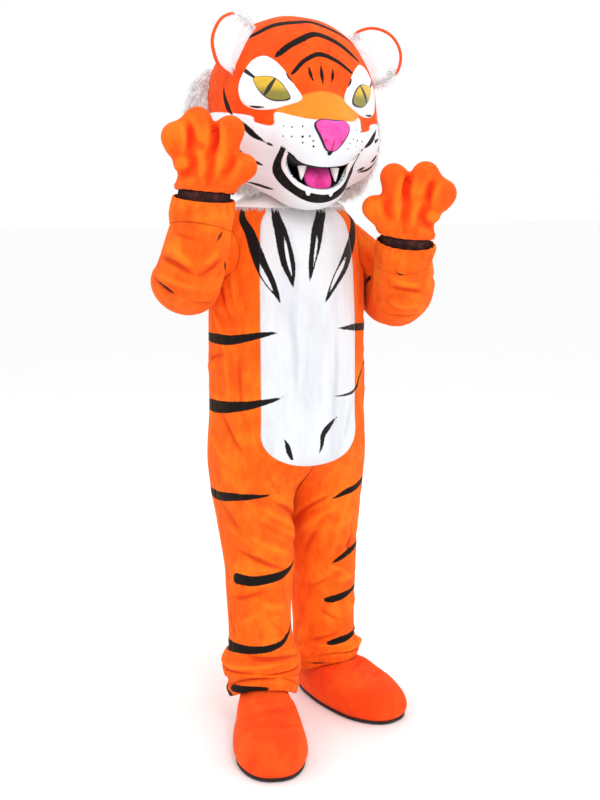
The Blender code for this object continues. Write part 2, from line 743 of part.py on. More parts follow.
def half_tubes(names, slot, outer, inner, joins):
    """Splits a tube's grids into two nodes along two lines, a seam's width apart."""
    columns = len(outer[0])
    first, second = joins
    for name, low, high in ((names[0], first, second), (names[1], second, first + columns)):
        parts = []
        for grid in (outer, inner):
            rows = []
            for ring in grid:
                row = [ring[k % columns].copy() for k in range(low, high + 1)]
                row[0] += (row[1] - row[0]).normalized() * SEAM / 2
                row[-1] += (row[-2] - row[-1]).normalized() * SEAM / 2
                rows.append(row)
            parts.append(rows)
        wall(name, slot, *parts)


def hand_frame(side):
    """Turns the mitt's frame to the costume's, at the wrist."""
    up = HAND_UP[side].normalized()
    palm = PALM_FACES[side]
    palm = (palm - up * palm.dot(up)).normalized()
    thumb = up.cross(palm) * -side
    turn = Matrix((thumb, -palm, up)).transposed().to_4x4()
    return Matrix.Translation(wrist(side)) @ turn


def wrist(side):
    """The middle of the cuff's open end."""
    last = SLEEVES[side][-1]
    end = Vector((last.x, last.y, last.height))
    return end + HAND_UP[side].normalized() * (CUFF_LENGTH[side] + SEAM * 3)


def ring_at(frame, height, radius, columns):
    """A circle across the hand's frame."""
    ring = []
    for j in range(columns):
        turn = 2 * math.pi * j / columns
        x, y = radius * math.cos(turn), radius * math.sin(turn)
        ring.append(frame @ Vector((x, y, height)))
    return ring


def make_sleeve(side):
    columns, steps = 12, 10
    grid, frames = sleeve_grid(side, columns, steps)
    inner = sleeve_inner(grid, frames)
    name = SIDE_NAME[side]
    half_tubes(
        (f"sleeve_front_{name}", f"sleeve_back_{name}"), "orange_plush", grid, inner, (0, columns // 2)
    )
    centre, outward, front, run, radius = frames[-1]
    first = grid[-1]
    target = hand_frame(side)
    up = HAND_UP[side].normalized()
    rings = []
    for i in range(4):
        share = i / 3
        ring = []
        for point in first:
            start = point + run * (SEAM * 2)
            flat = point - centre
            flat -= up * flat.dot(up)
            end = target.translation + flat.normalized() * CUFF_RADIUS
            swell = 0.004 * math.sin(math.pi * share)
            ring.append(start.lerp(end, share) + flat.normalized() * swell)
        rings.append(ring)
    cuff_inner = grid_walls(rings, True, PLUSH, lambda i: centre.lerp(target.translation, i / 3))
    wall(f"cuff_{name}", "orange_plush", rings, cuff_inner, wraps=True)


# Mitts


def mitt_form(name):
    """A puffy mitt as one closed surface: a palm, a wrist, three fingers and a thumb blended together."""
    balls = bpy.data.metaballs.new(name)
    balls.resolution = MITT_GRAIN
    balls.render_resolution = MITT_GRAIN
    balls.threshold = 0.6

    def lump(x, y, z, radius, stretch=(1, 1, 1)):
        element = balls.elements.new(type="ELLIPSOID")
        element.co = (x, y, z)
        element.radius = radius / METABALL_SHARE
        element.size_x, element.size_y, element.size_z = stretch

    lump(-0.004, 0.004, 0.066, 0.048, (1.24, 0.72, 1.0))
    for step in range(3):
        lump(0, 0, -0.040 + 0.030 * step, 0.070, (1.0, 0.94, 0.5))
    for finger in FINGERS:
        for step in range(3):
            share = step / 2
            lump(
                finger.root_x + (finger.tip_x - finger.root_x) * share,
                finger.tip_y * share * share,
                finger.root_z + (finger.tip_z - finger.root_z) * share,
                finger.radius * (0.80 + 0.12 * share),
            )
    holder = bpy.data.objects.new(name, balls)
    bpy.context.scene.collection.objects.link(holder)
    bpy.context.view_layer.update()
    graph = bpy.context.evaluated_depsgraph_get()
    mesh = bpy.data.meshes.new_from_object(holder.evaluated_get(graph))
    bpy.data.objects.remove(holder)
    return mesh


def cut_away(form, point, normal):
    """Deletes what lies on the normal's side of a plane and leaves the edge open."""
    everything = list(form.verts) + list(form.edges) + list(form.faces)
    bmesh.ops.bisect_plane(
        form, geom=everything, dist=1e-5, plane_co=point, plane_no=normal, clear_outer=True
    )


def make_mitt(side):
    """The palm and back of a mitt: half shells that meet along the sides of the hand."""
    name = SIDE_NAME[side]
    form = bmesh.new()
    form.from_mesh(mitt_form(f"mitt_form_{name}"))
    cut_away(form, Vector((0, 0, MITT_HEM_RISE)), Vector((0, -MITT_HEM_SLOPE, -1)).normalized())
    mesh = bpy.data.meshes.new(f"mitt_{name}")
    form.to_mesh(mesh)
    form.free()
    work = bpy.data.objects.new(f"mitt_work_{name}", mesh)
    CUTTERS.objects.link(work)
    thin_out(work, MITT_DETAIL)
    face_out(work, Vector((0, 0, 0.07)))
    thicken(work, PLUSH)
    apply_modifiers(work)
    sheet = (Spot(-0.3, -0.3), Spot(0.3, -0.3), Spot(0.3, 0.3), Spot(-0.3, 0.3))
    halves = {
        "palm": prism_cutter(f"palm_half_{name}", sheet, -0.3, -SEAM / 2),
        "back": prism_cutter(f"back_half_{name}", sheet, SEAM / 2, 0.3),
    }
    for piece, half in halves.items():
        part_mesh = shaped(work.data.copy(), [("INTERSECT", half)])
        part_mesh.transform(hand_frame(side))
        if side == LEFT:
            part_mesh.flip_normals()
        part_mesh.shade_smooth()
        add_object(f"mitt_{piece}_{name}", part_mesh, "orange_plush")
    bpy.data.objects.remove(work)


def thin_out(made, share):
    fewer = made.modifiers.new("fewer", "DECIMATE")
    fewer.ratio = share
    apply_modifiers(made)


def apply_modifiers(made):
    bpy.context.view_layer.update()
    graph = bpy.context.evaluated_depsgraph_get()
    result = bpy.data.meshes.new_from_object(made.evaluated_get(graph))
    old = made.data
    made.modifiers.clear()
    made.data = result
    result.name = made.name
    bpy.data.meshes.remove(old)


def face_out(made, middle):
    """Turns an open shell so that its faces point away from its middle."""
    total = 0.0
    for face in made.data.polygons:
        total += face.normal.dot(face.center - middle) * face.area
    if total < 0:
        made.data.flip_normals()


def thicken(made, thickness):
    skin = made.modifiers.new("plush", "SOLIDIFY")
    skin.thickness = thickness
    skin.offset = -1


def make_band(side):
    """The dark wrist band, held between the cuff and the mitt."""
    frame = hand_frame(side)
    rows = (BAND_END[side],) + BAND_RINGS
    rings = [ring_at(frame, row.height, row.radius, 12) for row in rows]
    inner = [ring_at(frame, row.height, row.radius - BAND_WALL, 12) for row in rows]
    wall(f"wrist_band_{SIDE_NAME[side]}", "dark_knit", rings, inner, wraps=True)


# Shoe covers


def shoe_outline(turn):
    """The sole's outline at an angle, 0 at the toe: a wide round toe and a narrower heel."""
    middle = (SHOE_TOE - SHOE_HEEL) / 2
    half_length = (SHOE_TOE + SHOE_HEEL) / 2
    forward = math.cos(turn)
    x = math.sin(turn)
    y = -middle - half_length * math.copysign(abs(forward) ** 0.86, forward)
    width = HEEL_HALF_WIDTH + (TOE_HALF_WIDTH - HEEL_HALF_WIDTH) * smooth(forward, -0.9, 0.55)
    return Vector((width * math.copysign(abs(x) ** 0.80, x), y, 0))


def shoe_frame(side):
    turn = Matrix.Rotation(SHOE_TURN[side], 4, "Z")
    return Matrix.Translation(ANKLE[side]) @ turn @ Matrix.Translation((0, -SHOE_AHEAD[side], 0))


def shoe_ring(ring, side, columns):
    """A ring of the upper, drawn in from the outline towards the ankle hole."""
    points = []
    for j in range(columns):
        turn = 2 * math.pi * j / columns
        outline = shoe_outline(turn)
        hole = Vector((math.sin(turn), -math.cos(turn), 0)) * ANKLE_HOLE
        point = outline.lerp(hole, ring.inward)
        point += Vector((math.sin(turn), -math.cos(turn), 0)) * ring.swell
        rise = 0.010 * math.exp(-((point.y + 0.11) / 0.05) ** 2) * smooth(ring.inward, 0.2, 0.5)
        point.z = ring.height + rise
        points.append(shoe_frame(side) @ point)
    return points


def make_shoe(side):
    """A shoe cover's upper and sole, and a tree that finds the upper's outside."""
    columns = 18
    name = SIDE_NAME[side]
    rings = [shoe_ring(ring, side, columns) for ring in SHOE_RINGS]
    middle = shoe_frame(side) @ Vector((0, -0.10, 0.03))
    ankle = shoe_frame(side).translation
    inner = grid_walls(
        rings, True, PLUSH, lambda i: middle.lerp(Vector((ankle.x, ankle.y, 0.02)), min(1, i / 6))
    )
    for j in range(columns):
        inner[0][j].z = rings[0][j].z
    upper = wall(f"shoe_upper_{name}", "red_plush", rings, inner, wraps=True)
    outline = [shoe_outline(2 * math.pi * j / columns) for j in range(columns)]
    form = bmesh.new()
    layers = []
    for height, grow in ((0.0, 0.97), (0.003, 1.0), (SOLE_THICKNESS, 1.0)):
        middle_y = -(SHOE_TOE - SHOE_HEEL) / 2
        layer = []
        for point in outline:
            spot = Vector((point.x * grow, middle_y + (point.y - middle_y) * grow, height))
            layer.append(form.verts.new(shoe_frame(side) @ spot))
        layers.append(layer)
    for low, high in zip(layers, layers[1:]):
        for j in range(columns):
            k = (j + 1) % columns
            form.faces.new((low[j], low[k], high[k], high[j]))
    form.faces.new(layers[0])
    form.faces.new(layers[-1])
    bmesh.ops.recalc_face_normals(form, faces=form.faces)
    mesh = bpy.data.meshes.new(f"sole_{name}")
    form.to_mesh(mesh)
    form.free()
    add_object(f"sole_{name}", mesh, "sole_rubber")
    corners = [v.co for v in upper.data.vertices]
    return BVHTree.FromPolygons(corners, [p.vertices for p in upper.data.polygons])


# The head


def head_frame():
    turn = Matrix.Rotation(HEAD_TURN, 4, "Z")
    roll = Matrix.Rotation(HEAD_ROLL, 4, "Y")
    return Matrix.Translation(HEAD_CENTRE) @ turn @ roll


def head_depth(points):
    """Signed distance to the head's blended balls, negative inside, for an array of points."""
    total = np.zeros(len(points))
    for ball in HEAD_BALLS:
        for flip in (1, -1) if ball.mirrored else (1,):
            centre = np.array((ball.x * flip, ball.y, ball.z))
            size = np.array((ball.across, ball.deep, ball.tall))
            scaled = np.linalg.norm((points - centre) / size, axis=1)
            distance = (scaled - 1) * size.min()
            total += np.exp(-distance / HEAD_BLEND)
    return -HEAD_BLEND * np.log(total)


def head_hit(starts, directions, reach):
    """Where lines from far outside first meet the head, as distances along them."""
    steps = np.linspace(0, reach, 56)
    depths = np.array([head_depth(starts + directions * s) for s in steps])
    inside = depths < 0
    first = np.argmax(inside, axis=0)
    low = steps[np.maximum(first - 1, 0)]
    high = steps[first]
    for _ in range(14):
        middle = (low + high) / 2
        hit = head_depth(starts + directions * middle[:, None]) < 0
        high = np.where(hit, middle, high)
        low = np.where(hit, low, middle)
    return np.where(inside.any(axis=0), high, reach)


def head_star(directions):
    """Points on the head along directions from its centre."""
    reach = 0.5
    starts = directions * reach
    distance = head_hit(starts, -directions, reach)
    return starts - directions * distance[:, None]


def head_front(spots):
    """Points on the front of the head at the given places, seen from the front."""
    starts = np.array([(s.x, -0.6, s.z) for s in spots])
    directions = np.tile((0.0, 1.0, 0.0), (len(spots), 1))
    distance = head_hit(starts, directions, 0.6)
    return starts + directions * distance[:, None]


def head_round(spots):
    """Points on the head at the given turns from the front and heights."""
    away = np.array([(math.sin(math.radians(s.turn)), -math.cos(math.radians(s.turn)), 0) for s in spots])
    starts = away * 0.5 + np.array([(0, 0, s.z) for s in spots])
    distance = head_hit(starts, -away, 0.5)
    return starts - away * distance[:, None]


def head_normals(points):
    e = 0.002
    grads = []
    for axis in range(3):
        shift = np.zeros(3)
        shift[axis] = e
        grads.append(head_depth(points + shift) - head_depth(points - shift))
    normal = np.array(grads).T
    return normal / np.linalg.norm(normal, axis=1)[:, None]


def head_directions(rows, columns, end_angle):
    """Directions over the head: rows from crown to neck hole, columns closer together at the face."""
    found = []
    for i in range(rows + 1):
        polar = max(end_angle * i / rows, 0.02)
        for j in range(columns):
            even = 2 * math.pi * j / columns
            turn = even - 0.36 * math.sin(even)
            found.append(
                (math.sin(polar) * math.sin(turn), -math.sin(polar) * math.cos(turn), math.cos(polar))
            )
    return np.array(found)


def to_rows(points, columns):
    return [
        [Vector(p) for p in points[i : i + columns]] for i in range(0, len(points), columns)
    ]


def head_solid(name, lift, depth=None):
    """The head as a shell of the given wall, or as one closed lump, moved out by lift."""
    rows, columns = 15, 26
    points = head_star(head_directions(rows, columns, NECK_HOLE_ANGLE))
    normals = head_normals(points)
    outer = to_rows(points + normals * lift, columns)
    form = bmesh.new()
    skin = [[form.verts.new(p) for p in ring] for ring in outer]

    def weave(grid, flip):
        for i in range(len(grid) - 1):
            for j in range(columns):
                k = (j + 1) % columns
                corners = (grid[i][j], grid[i + 1][j], grid[i + 1][k], grid[i][k])
                form.faces.new(corners[::-1] if flip else corners)

    weave(skin, False)
    form.faces.new(skin[0][::-1])
    if depth is None:
        form.faces.new(skin[-1])
    else:
        inside = to_rows(points - normals * depth, columns)
        lining = [[form.verts.new(p) for p in ring] for ring in inside]
        weave(lining, True)
        form.faces.new(lining[0])
        for j in range(columns):
            k = (j + 1) % columns
            form.faces.new((skin[-1][j], lining[-1][j], lining[-1][k], skin[-1][k]))
    bmesh.ops.triangulate(form, faces=form.faces)
    bmesh.ops.recalc_face_normals(form, faces=form.faces)
    if form.calc_volume(signed=True) < 0:
        bmesh.ops.reverse_faces(form, faces=form.faces)
    mesh = bpy.data.meshes.new(name)
    form.to_mesh(mesh)
    form.free()
    return mesh


def cutter(name, mesh):
    made = bpy.data.objects.new(name, mesh)
    CUTTERS.objects.link(made)
    made.hide_render = True
    made.display_type = "WIRE"
    return made


def grown(spots, amount):
    """A closed outline with its sides moved outwards by an amount."""
    corners = [Vector((s.x, s.z)) for s in spots]
    count = len(corners)
    turning = sum(corners[i - 1].x * corners[i].y - corners[i].x * corners[i - 1].y for i in range(count))
    found = []
    for i, corner in enumerate(corners):
        before = (corner - corners[i - 1]).normalized()
        after = (corners[(i + 1) % count] - corner).normalized()
        out = Vector((before.y + after.y, -before.x - after.x)).normalized()
        reach = amount / max(0.3, out.dot(Vector((before.y, -before.x))))
        corner = corner + out * math.copysign(reach, turning * amount)
        found.append(Spot(corner.x, corner.y))
    return found


def rounded(spots, per_side):
    """An outline as a smooth closed curve through its spots."""
    kind = type(spots[0])
    found = []
    count = len(spots)
    for i in range(count):
        near = [spots[(i + k) % count] for k in (-1, 0, 1, 2)]
        for step in range(per_side):
            u = step / per_side
            values = [
                b + 0.5 * u * (c - a + u * (2 * a - 5 * b + 4 * c - d + u * (3 * b - a - 3 * c + d)))
                for a, b, c, d in zip(*near)
            ]
            found.append(kind(*values))
    return found


def prism_cutter(name, spots, front, back):
    """A cutter with a face outline, running from front to back."""
    form = bmesh.new()
    near = [form.verts.new((s.x, front, s.z)) for s in spots]
    far = [form.verts.new((s.x, back, s.z)) for s in spots]
    for j in range(len(spots)):
        k = (j + 1) % len(spots)
        form.faces.new((near[j], near[k], far[k], far[j]))
    form.faces.new(near)
    form.faces.new(far)
    bmesh.ops.recalc_face_normals(form, faces=form.faces)
    mesh = bpy.data.meshes.new(name)
    form.to_mesh(mesh)
    form.free()
    return cutter(name, mesh)


def shaped(mesh, steps):
    """A mesh after a row of Boolean steps, each an operation and a cutter, in the head's frame."""
    work = bpy.data.objects.new("work", mesh)
    CUTTERS.objects.link(work)
    for operation, tool in steps:
        cut = work.modifiers.new(tool.name, "BOOLEAN")
        cut.operation = operation
        cut.object = tool
        cut.solver = "EXACT"
    bpy.context.view_layer.update()
    graph = bpy.context.evaluated_depsgraph_get()
    result = bpy.data.meshes.new_from_object(work.evaluated_get(graph))
    bpy.data.objects.remove(work)
    return result


def place_on_head(name, mesh, slot):
    mesh.transform(head_frame())
    mesh.shade_smooth()
    return add_object(name, mesh, slot)


def face_patch(name, slot, spots, lift, thickness, dome, rings, under=None):
    """A piece that lies on the face: its back follows the head, and its front swells to a dome."""
    kind = type(spots[0])
    middle = kind(*(sum(column) / len(spots) for column in zip(*spots)))
    places = [middle]
    for ring in range(1, rings + 1):
        share = ring / rings
        for spot in spots:
            places.append(kind(*(m + (v - m) * share for m, v in zip(middle, spot))))
    base = head_front(places) if kind is Spot else head_round(places)
    normals = head_normals(base)
    swell = [dome]
    for ring in range(1, rings + 1):
        swell += [dome * (1 - (ring / rings) ** 2)] * len(spots)
    front = base + normals * (lift + thickness + np.array(swell))[:, None]
    back = base + normals * lift
    form = bmesh.new()
    count = len(spots)
    skins = [[form.verts.new(p) for p in layer] for layer in (front, back)]
    for skin in skins:
        for j in range(count):
            k = (j + 1) % count
            form.faces.new((skin[0], skin[1 + j], skin[1 + k]))
            for ring in range(rings - 1):
                low, high = 1 + ring * count, 1 + (ring + 1) * count
                form.faces.new((skin[low + j], skin[high + j], skin[high + k], skin[low + k]))
    edge = 1 + (rings - 1) * count
    for j in range(count):
        k = (j + 1) % count
        form.faces.new((skins[0][edge + j], skins[0][edge + k], skins[1][edge + k], skins[1][edge + j]))
    bmesh.ops.triangulate(form, faces=form.faces)
    bmesh.ops.recalc_face_normals(form, faces=form.faces)
    mesh = bpy.data.meshes.new(name)
    form.to_mesh(mesh)
    form.free()
    if under:
        mesh = shaped(mesh, [("DIFFERENCE", under)])
    return place_on_head(name, mesh, slot)


def mirrored(spots, side):
    return [type(s)(s[0] * side, s.z) for s in spots]


def mouth_cup(name, slot, spots):
    """The dark bag behind the mouth: a cup that starts inside the mouth's edge."""
    outside, inside = grown(spots, -SEAM), grown(spots, -SEAM - MOUTH_FELT)
    front = head_front(outside)[:, 1] + 0.004
    form = bmesh.new()
    skins = []
    for outline, back in ((outside, MOUTH_BACK), (inside, MOUTH_BACK - MOUTH_FELT)):
        rim = [form.verts.new((s.x, y, s.z)) for s, y in zip(outline, front)]
        end = [form.verts.new((s.x, back, s.z)) for s in outline]
        skins.append((rim, end))
    count = len(outside)
    for rim, end in skins:
        for j in range(count):
            k = (j + 1) % count
            form.faces.new((rim[j], rim[k], end[k], end[j]))
        form.faces.new(end)
    for j in range(count):
        k = (j + 1) % count
        form.faces.new((skins[0][0][j], skins[0][0][k], skins[1][0][k], skins[1][0][j]))
    bmesh.ops.triangulate(form, faces=form.faces)
    bmesh.ops.recalc_face_normals(form, faces=form.faces)
    mesh = bpy.data.meshes.new(name)
    form.to_mesh(mesh)
    form.free()
    return place_on_head(name, mesh, slot)


def band_on_face(name, slot, inside, outside, sunk, thickness, under):
    """A flat strip that lies on the face between two outlines with the same number of spots."""
    rows = [inside, [Spot((a.x + b.x) / 2, (a.z + b.z) / 2) for a, b in zip(inside, outside)], outside]
    front, back = [], []
    for row in rows:
        base = head_front(row)
        normals = head_normals(base)
        front.append([Vector(p) for p in base + normals * thickness])
        back.append([Vector(p) for p in base - normals * sunk])
    strip = wall(name, slot, front, back)
    mesh = shaped(strip.data.copy(), [("DIFFERENCE", under)])
    bpy.data.objects.remove(strip)
    return place_on_head(name, mesh, slot)


def lower_u(width, top, bottom, count):
    """The lower half of a mouth outline, from the right corner round to the left."""
    found = []
    for i in range(count + 1):
        turn = math.pi * i / count
        found.append(Spot(-width * math.cos(turn), top + (bottom - top) * math.sin(turn) ** 0.9))
    return found


def make_fang(name, side):
    """An upper fang: a short cone hanging behind the lip."""
    form = bmesh.new()
    bmesh.ops.create_cone(
        form, cap_ends=True, segments=8, radius1=0.0015, radius2=0.009, depth=0.034
    )
    root = head_front([Spot(side * 0.044, -0.172)])[0]
    place = Matrix.Translation((root[0], root[1] + 0.022, -0.1765)) @ Matrix.Rotation(-0.1, 4, "X")
    bmesh.ops.transform(form, matrix=place, verts=form.verts)
    mesh = bpy.data.meshes.new(name)
    form.to_mesh(mesh)
    form.free()
    place_on_head(name, mesh, "white_plush")


def make_tongue():
    """A flat rounded tongue lying in the mouth cup."""
    form = bmesh.new()
    bmesh.ops.create_uvsphere(form, u_segments=10, v_segments=6, radius=1)
    bmesh.ops.scale(form, vec=(0.034, 0.030, 0.016), verts=form.verts)
    front = head_front([Spot(0, -0.19)])[0]
    place = Matrix.Translation((0.0, front[1] + 0.040, -0.1952)) @ Matrix.Rotation(0.35, 4, "X")
    bmesh.ops.transform(form, matrix=place, verts=form.verts)
    mesh = bpy.data.meshes.new("tongue")
    form.to_mesh(mesh)
    form.free()
    place_on_head("tongue", mesh, "pink_felt")


def make_ear(side, head_lump):
    """An ear: an orange padded back and a white front, cut to the head."""
    name = SIDE_NAME[side]
    pieces = (
        ("ear_back", "orange_plush", 0.0, 0.024, 0.0, 1),
        ("ear_front", "white_plush", -SEAM, 0.009, EAR_RIM, -1),
    )
    turn = Matrix.Rotation(-side * EAR_TURN, 4, "Z") @ Matrix.Rotation(side * EAR_LEAN, 4, "Y")
    place = Matrix.Translation((side * EAR_CENTRE.x, EAR_CENTRE.y, EAR_CENTRE.z)) @ turn
    for piece, slot, offset, depth, rim, way in pieces:
        half_width, half_height = EAR_HALF_WIDTH - rim, EAR_HALF_HEIGHT - rim
        form = bmesh.new()
        bmesh.ops.create_uvsphere(form, u_segments=14, v_segments=8, radius=1)
        bmesh.ops.rotate(form, matrix=Matrix.Rotation(math.pi / 2, 3, "X"), verts=form.verts)
        for vert in form.verts:
            flat = vert.co.y * way < 0
            thick = 0 if flat else vert.co.y * depth
            vert.co = Vector((vert.co.x * half_width, thick + offset, vert.co.z * half_height))
        bmesh.ops.remove_doubles(form, verts=form.verts, dist=1e-5)
        bmesh.ops.dissolve_degenerate(form, edges=form.edges, dist=1e-6)
        bmesh.ops.transform(form, matrix=place, verts=form.verts)
        bmesh.ops.recalc_face_normals(form, faces=form.faces)
        mesh = bpy.data.meshes.new("ear")
        form.to_mesh(mesh)
        form.free()
        trimmed = shaped(mesh, [("DIFFERENCE", head_lump)])
        place_on_head(f"{piece}_{name}", trimmed, slot)


def make_ruff(side, head_lump):
    """The long white fur at a cheek, from the ear to the chin, as a thick soft crescent."""
    columns = 8
    steps = 8
    rows = []
    for i in range(steps + 1):
        at = i / steps
        point = Vector([ruff_value(field, at) for field in ("x", "y", "z")])
        ahead = Vector([ruff_value(field, min(1, at + 0.02)) for field in ("x", "y", "z")])
        behind = Vector([ruff_value(field, max(0, at - 0.02)) for field in ("x", "y", "z")])
        run = (ahead - behind).normalized()
        away = point.normalized()
        away = (away - run * away.dot(run)).normalized()
        across = run.cross(away)
        width, standing = ruff_value("half_width", at), ruff_value("standing", at)
        ring = []
        for j in range(columns):
            turn = 2 * math.pi * j / columns
            spot = point + across * (width * math.cos(turn)) + away * (standing * math.sin(turn))
            ring.append(Vector((spot.x * side, spot.y, spot.z)))
        rows.append(ring)
    form = bmesh.new()
    skin = [[form.verts.new(p) for p in ring] for ring in rows]
    for low, high in zip(skin, skin[1:]):
        for j in range(columns):
            k = (j + 1) % columns
            form.faces.new((low[j], low[k], high[k], high[j]))
    form.faces.new(skin[0])
    form.faces.new(skin[-1])
    bmesh.ops.recalc_face_normals(form, faces=form.faces)
    mesh = bpy.data.meshes.new("ruff")
    form.to_mesh(mesh)
    form.free()
    trimmed = shaped(mesh, [("DIFFERENCE", head_lump)])
    place_on_head(f"cheek_ruff_{SIDE_NAME[side]}", trimmed, "white_fur")


def ruff_value(field, at):
    keyed = namedtuple("Keyed", "at value")
    rows = [keyed(i / (len(RUFF) - 1), getattr(p, field)) for i, p in enumerate(RUFF)]
    return along(rows, "at", "value", at)


def make_neck_fur():
    """The head's fur skirt, which stands round the suit's neck and lies on the shoulders."""
    columns = 20
    outer, inner = [], []
    for height, raised in ((1.412, 0.0133), (1.398, 0.002), (1.374, 0.0), (1.345, 0.0)):
        rows = ([], [])
        for j in range(columns):
            turn = 2 * math.pi * j / columns
            side = LEFT if math.sin(turn) >= 0 else RIGHT
            share = abs(math.atan2(math.sin(turn), math.cos(turn))) / math.pi
            lower = 0.016 * max(0.0, math.cos(turn)) if height < 1.35 else 0.0
            point = suit_point(side, share, height - lower)
            normal = suit_normal(side, share, height - lower)
            point.z += raised
            rows[0].append(point + normal * (NECK_FUR_LIFT + NECK_FUR))
            rows[1].append(point + normal * NECK_FUR_LIFT)
        outer.append(rows[0])
        inner.append(rows[1])
    wall("neck_fur", "white_fur", outer, inner, wraps=True)


def make_head():
    head_lump = cutter("head_lump", head_solid("head_lump", SEAM))
    shell = head_solid("head_shell", 0.0, HEAD_WALL)
    gap = SEAM / 2
    big = 0.6
    mouth_edge = rounded(MOUTH_OUTLINE, 2)
    mouth = prism_cutter("mouth_hole", mouth_edge, -big, -0.10)
    jaw = prism_cutter("jaw_inside", grown(JAW_OUTLINE, -gap), -big, -0.02 - gap)
    jaw_out = prism_cutter("jaw_outside", grown(JAW_OUTLINE, gap), -big, -0.02 + gap)
    white = prism_cutter("white_inside", grown(WHITE_OUTLINE, -gap), -big, FACE_BACK - gap)
    white_out = prism_cutter("white_outside", grown(WHITE_OUTLINE, gap), -big, FACE_BACK + gap)
    crown = shaped(shell.copy(), [("DIFFERENCE", white_out)])
    place_on_head("head_crown", crown, "orange_plush")
    cheeks = shaped(shell.copy(), [("INTERSECT", white), ("DIFFERENCE", jaw_out), ("DIFFERENCE", mouth)])
    place_on_head("muzzle_cheeks", cheeks, "white_plush")
    chin = shaped(shell.copy(), [("INTERSECT", white), ("INTERSECT", jaw), ("DIFFERENCE", mouth)])
    place_on_head("lower_jaw", chin, "white_plush")
    for side in (RIGHT, LEFT):
        name = SIDE_NAME[side]
        make_ear(side, head_lump)
        make_ruff(side, head_lump)
        face_patch(
            f"eye_white_{name}", "white_plush", mirrored(rounded(EYE_OUTLINE, 2), side),
            -0.003, 0.0055, 0.003, 2, head_lump,
        )
        face_patch(
            f"iris_{name}", "eye_gold", mirrored(rounded(IRIS_OUTLINE, 2), side),
            0.0065, 0.0015, 0.003, 2,
        )
        make_fang(f"fang_{name}", side)
    face_patch("nose", "pink_felt", rounded(NOSE_OUTLINE, 2), -0.003, 0.007, 0.014, 3, head_lump)
    mouth_cup("mouth_cup", "black_felt", mouth_edge)
    band_on_face(
        "lip_band", "black_felt",
        lower_u(0.100, -0.120, -0.231, 14), lower_u(0.115, -0.108, -0.246, 14), 0.003, 0.0025, head_lump,
    )
    make_tongue()
    make_neck_fur()


def collection(name):
    made = bpy.data.collections.new(name)
    bpy.context.scene.collection.children.link(made)
    return made


for old in list(bpy.data.objects):
    bpy.data.objects.remove(old)
COSTUME = collection("tiger_mascot_costume")
CUTTERS = collection("cutters")
SHOES = {side: make_shoe(side) for side in (RIGHT, LEFT)}
make_body(SHOES)
for wearer_side in (RIGHT, LEFT):
    make_sleeve(wearer_side)
    make_mitt(wearer_side)
    make_band(wearer_side)
make_head()
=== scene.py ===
import json
import math
from collections import namedtuple

import bmesh
import bpy
import numpy as np
from mathutils import Matrix, Vector
from mathutils.bvhtree import BVHTree

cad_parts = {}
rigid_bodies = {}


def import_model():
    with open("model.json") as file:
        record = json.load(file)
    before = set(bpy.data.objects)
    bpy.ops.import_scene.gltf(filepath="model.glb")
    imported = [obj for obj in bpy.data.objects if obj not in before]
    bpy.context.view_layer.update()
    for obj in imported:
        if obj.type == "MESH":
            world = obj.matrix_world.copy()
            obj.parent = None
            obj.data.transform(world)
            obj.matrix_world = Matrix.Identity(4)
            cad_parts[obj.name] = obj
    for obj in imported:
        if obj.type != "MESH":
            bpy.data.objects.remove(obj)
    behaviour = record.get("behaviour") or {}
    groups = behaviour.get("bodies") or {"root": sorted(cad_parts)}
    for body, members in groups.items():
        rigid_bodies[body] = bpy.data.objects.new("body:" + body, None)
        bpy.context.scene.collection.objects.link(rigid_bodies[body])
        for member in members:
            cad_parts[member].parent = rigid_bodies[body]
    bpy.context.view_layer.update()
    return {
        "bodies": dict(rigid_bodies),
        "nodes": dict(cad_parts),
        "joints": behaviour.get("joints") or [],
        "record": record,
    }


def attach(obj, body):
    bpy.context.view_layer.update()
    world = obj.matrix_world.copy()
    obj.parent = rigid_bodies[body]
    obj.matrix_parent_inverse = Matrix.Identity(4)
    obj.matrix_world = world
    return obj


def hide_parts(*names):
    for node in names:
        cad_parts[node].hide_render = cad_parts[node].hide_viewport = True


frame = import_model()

# Sizes shared with the part's source, in metres. Heights in tables are above the floor.
SHOULDER_HEIGHT = 1.36
PLUSH = 0.003
SEAM = 0.0003
# In the drawn cloth the edges at a seam all but touch, and lie a little lower
DRAWN_SEAM = 0.0001
SEAM_DIP = 0.0011
CROTCH_HEIGHT = 0.53
HIP_HEIGHT = 0.730
LEGS_PART_HEIGHT = 0.40
BELLY_SHARE = 0.2206
BELLY_ROUND_HEIGHT = 0.79
BELLY_TIP_HEIGHT = 0.695
ARMHOLE_HEIGHT = 1.262
ARMHOLE_HALF_HEIGHT = 0.080
ARMHOLE_SHARE = 0.185
HALF_GIRTH = 0.62
ZIP_HALF_WIDTH = 0.0065
ZIP_BOTTOM_HEIGHT = 0.86
HEM_REACH = 0.15
HEM_SAMPLES = 32
RIGHT, LEFT = -1, 1
SIDE_NAME = {RIGHT: "right", LEFT: "left"}

TorsoRing = namedtuple("TorsoRing", "height half_width half_depth")
TORSO = (
    TorsoRing(1.415, 0.088, 0.088),
    TorsoRing(1.395, 0.122, 0.100),
    TorsoRing(1.370, 0.164, 0.114),
    TorsoRing(1.335, 0.198, 0.130),
    TorsoRing(1.280, 0.212, 0.146),
    TorsoRing(1.180, 0.220, 0.158),
    TorsoRing(1.020, 0.223, 0.166),
    TorsoRing(0.845, 0.223, 0.168),
    TorsoRing(0.740, 0.230, 0.170),
    TorsoRing(0.683, 0.232, 0.170),
    TorsoRing(0.626, 0.228, 0.166),
    TorsoRing(0.569, 0.220, 0.158),
    TorsoRing(0.500, 0.214, 0.150),
)

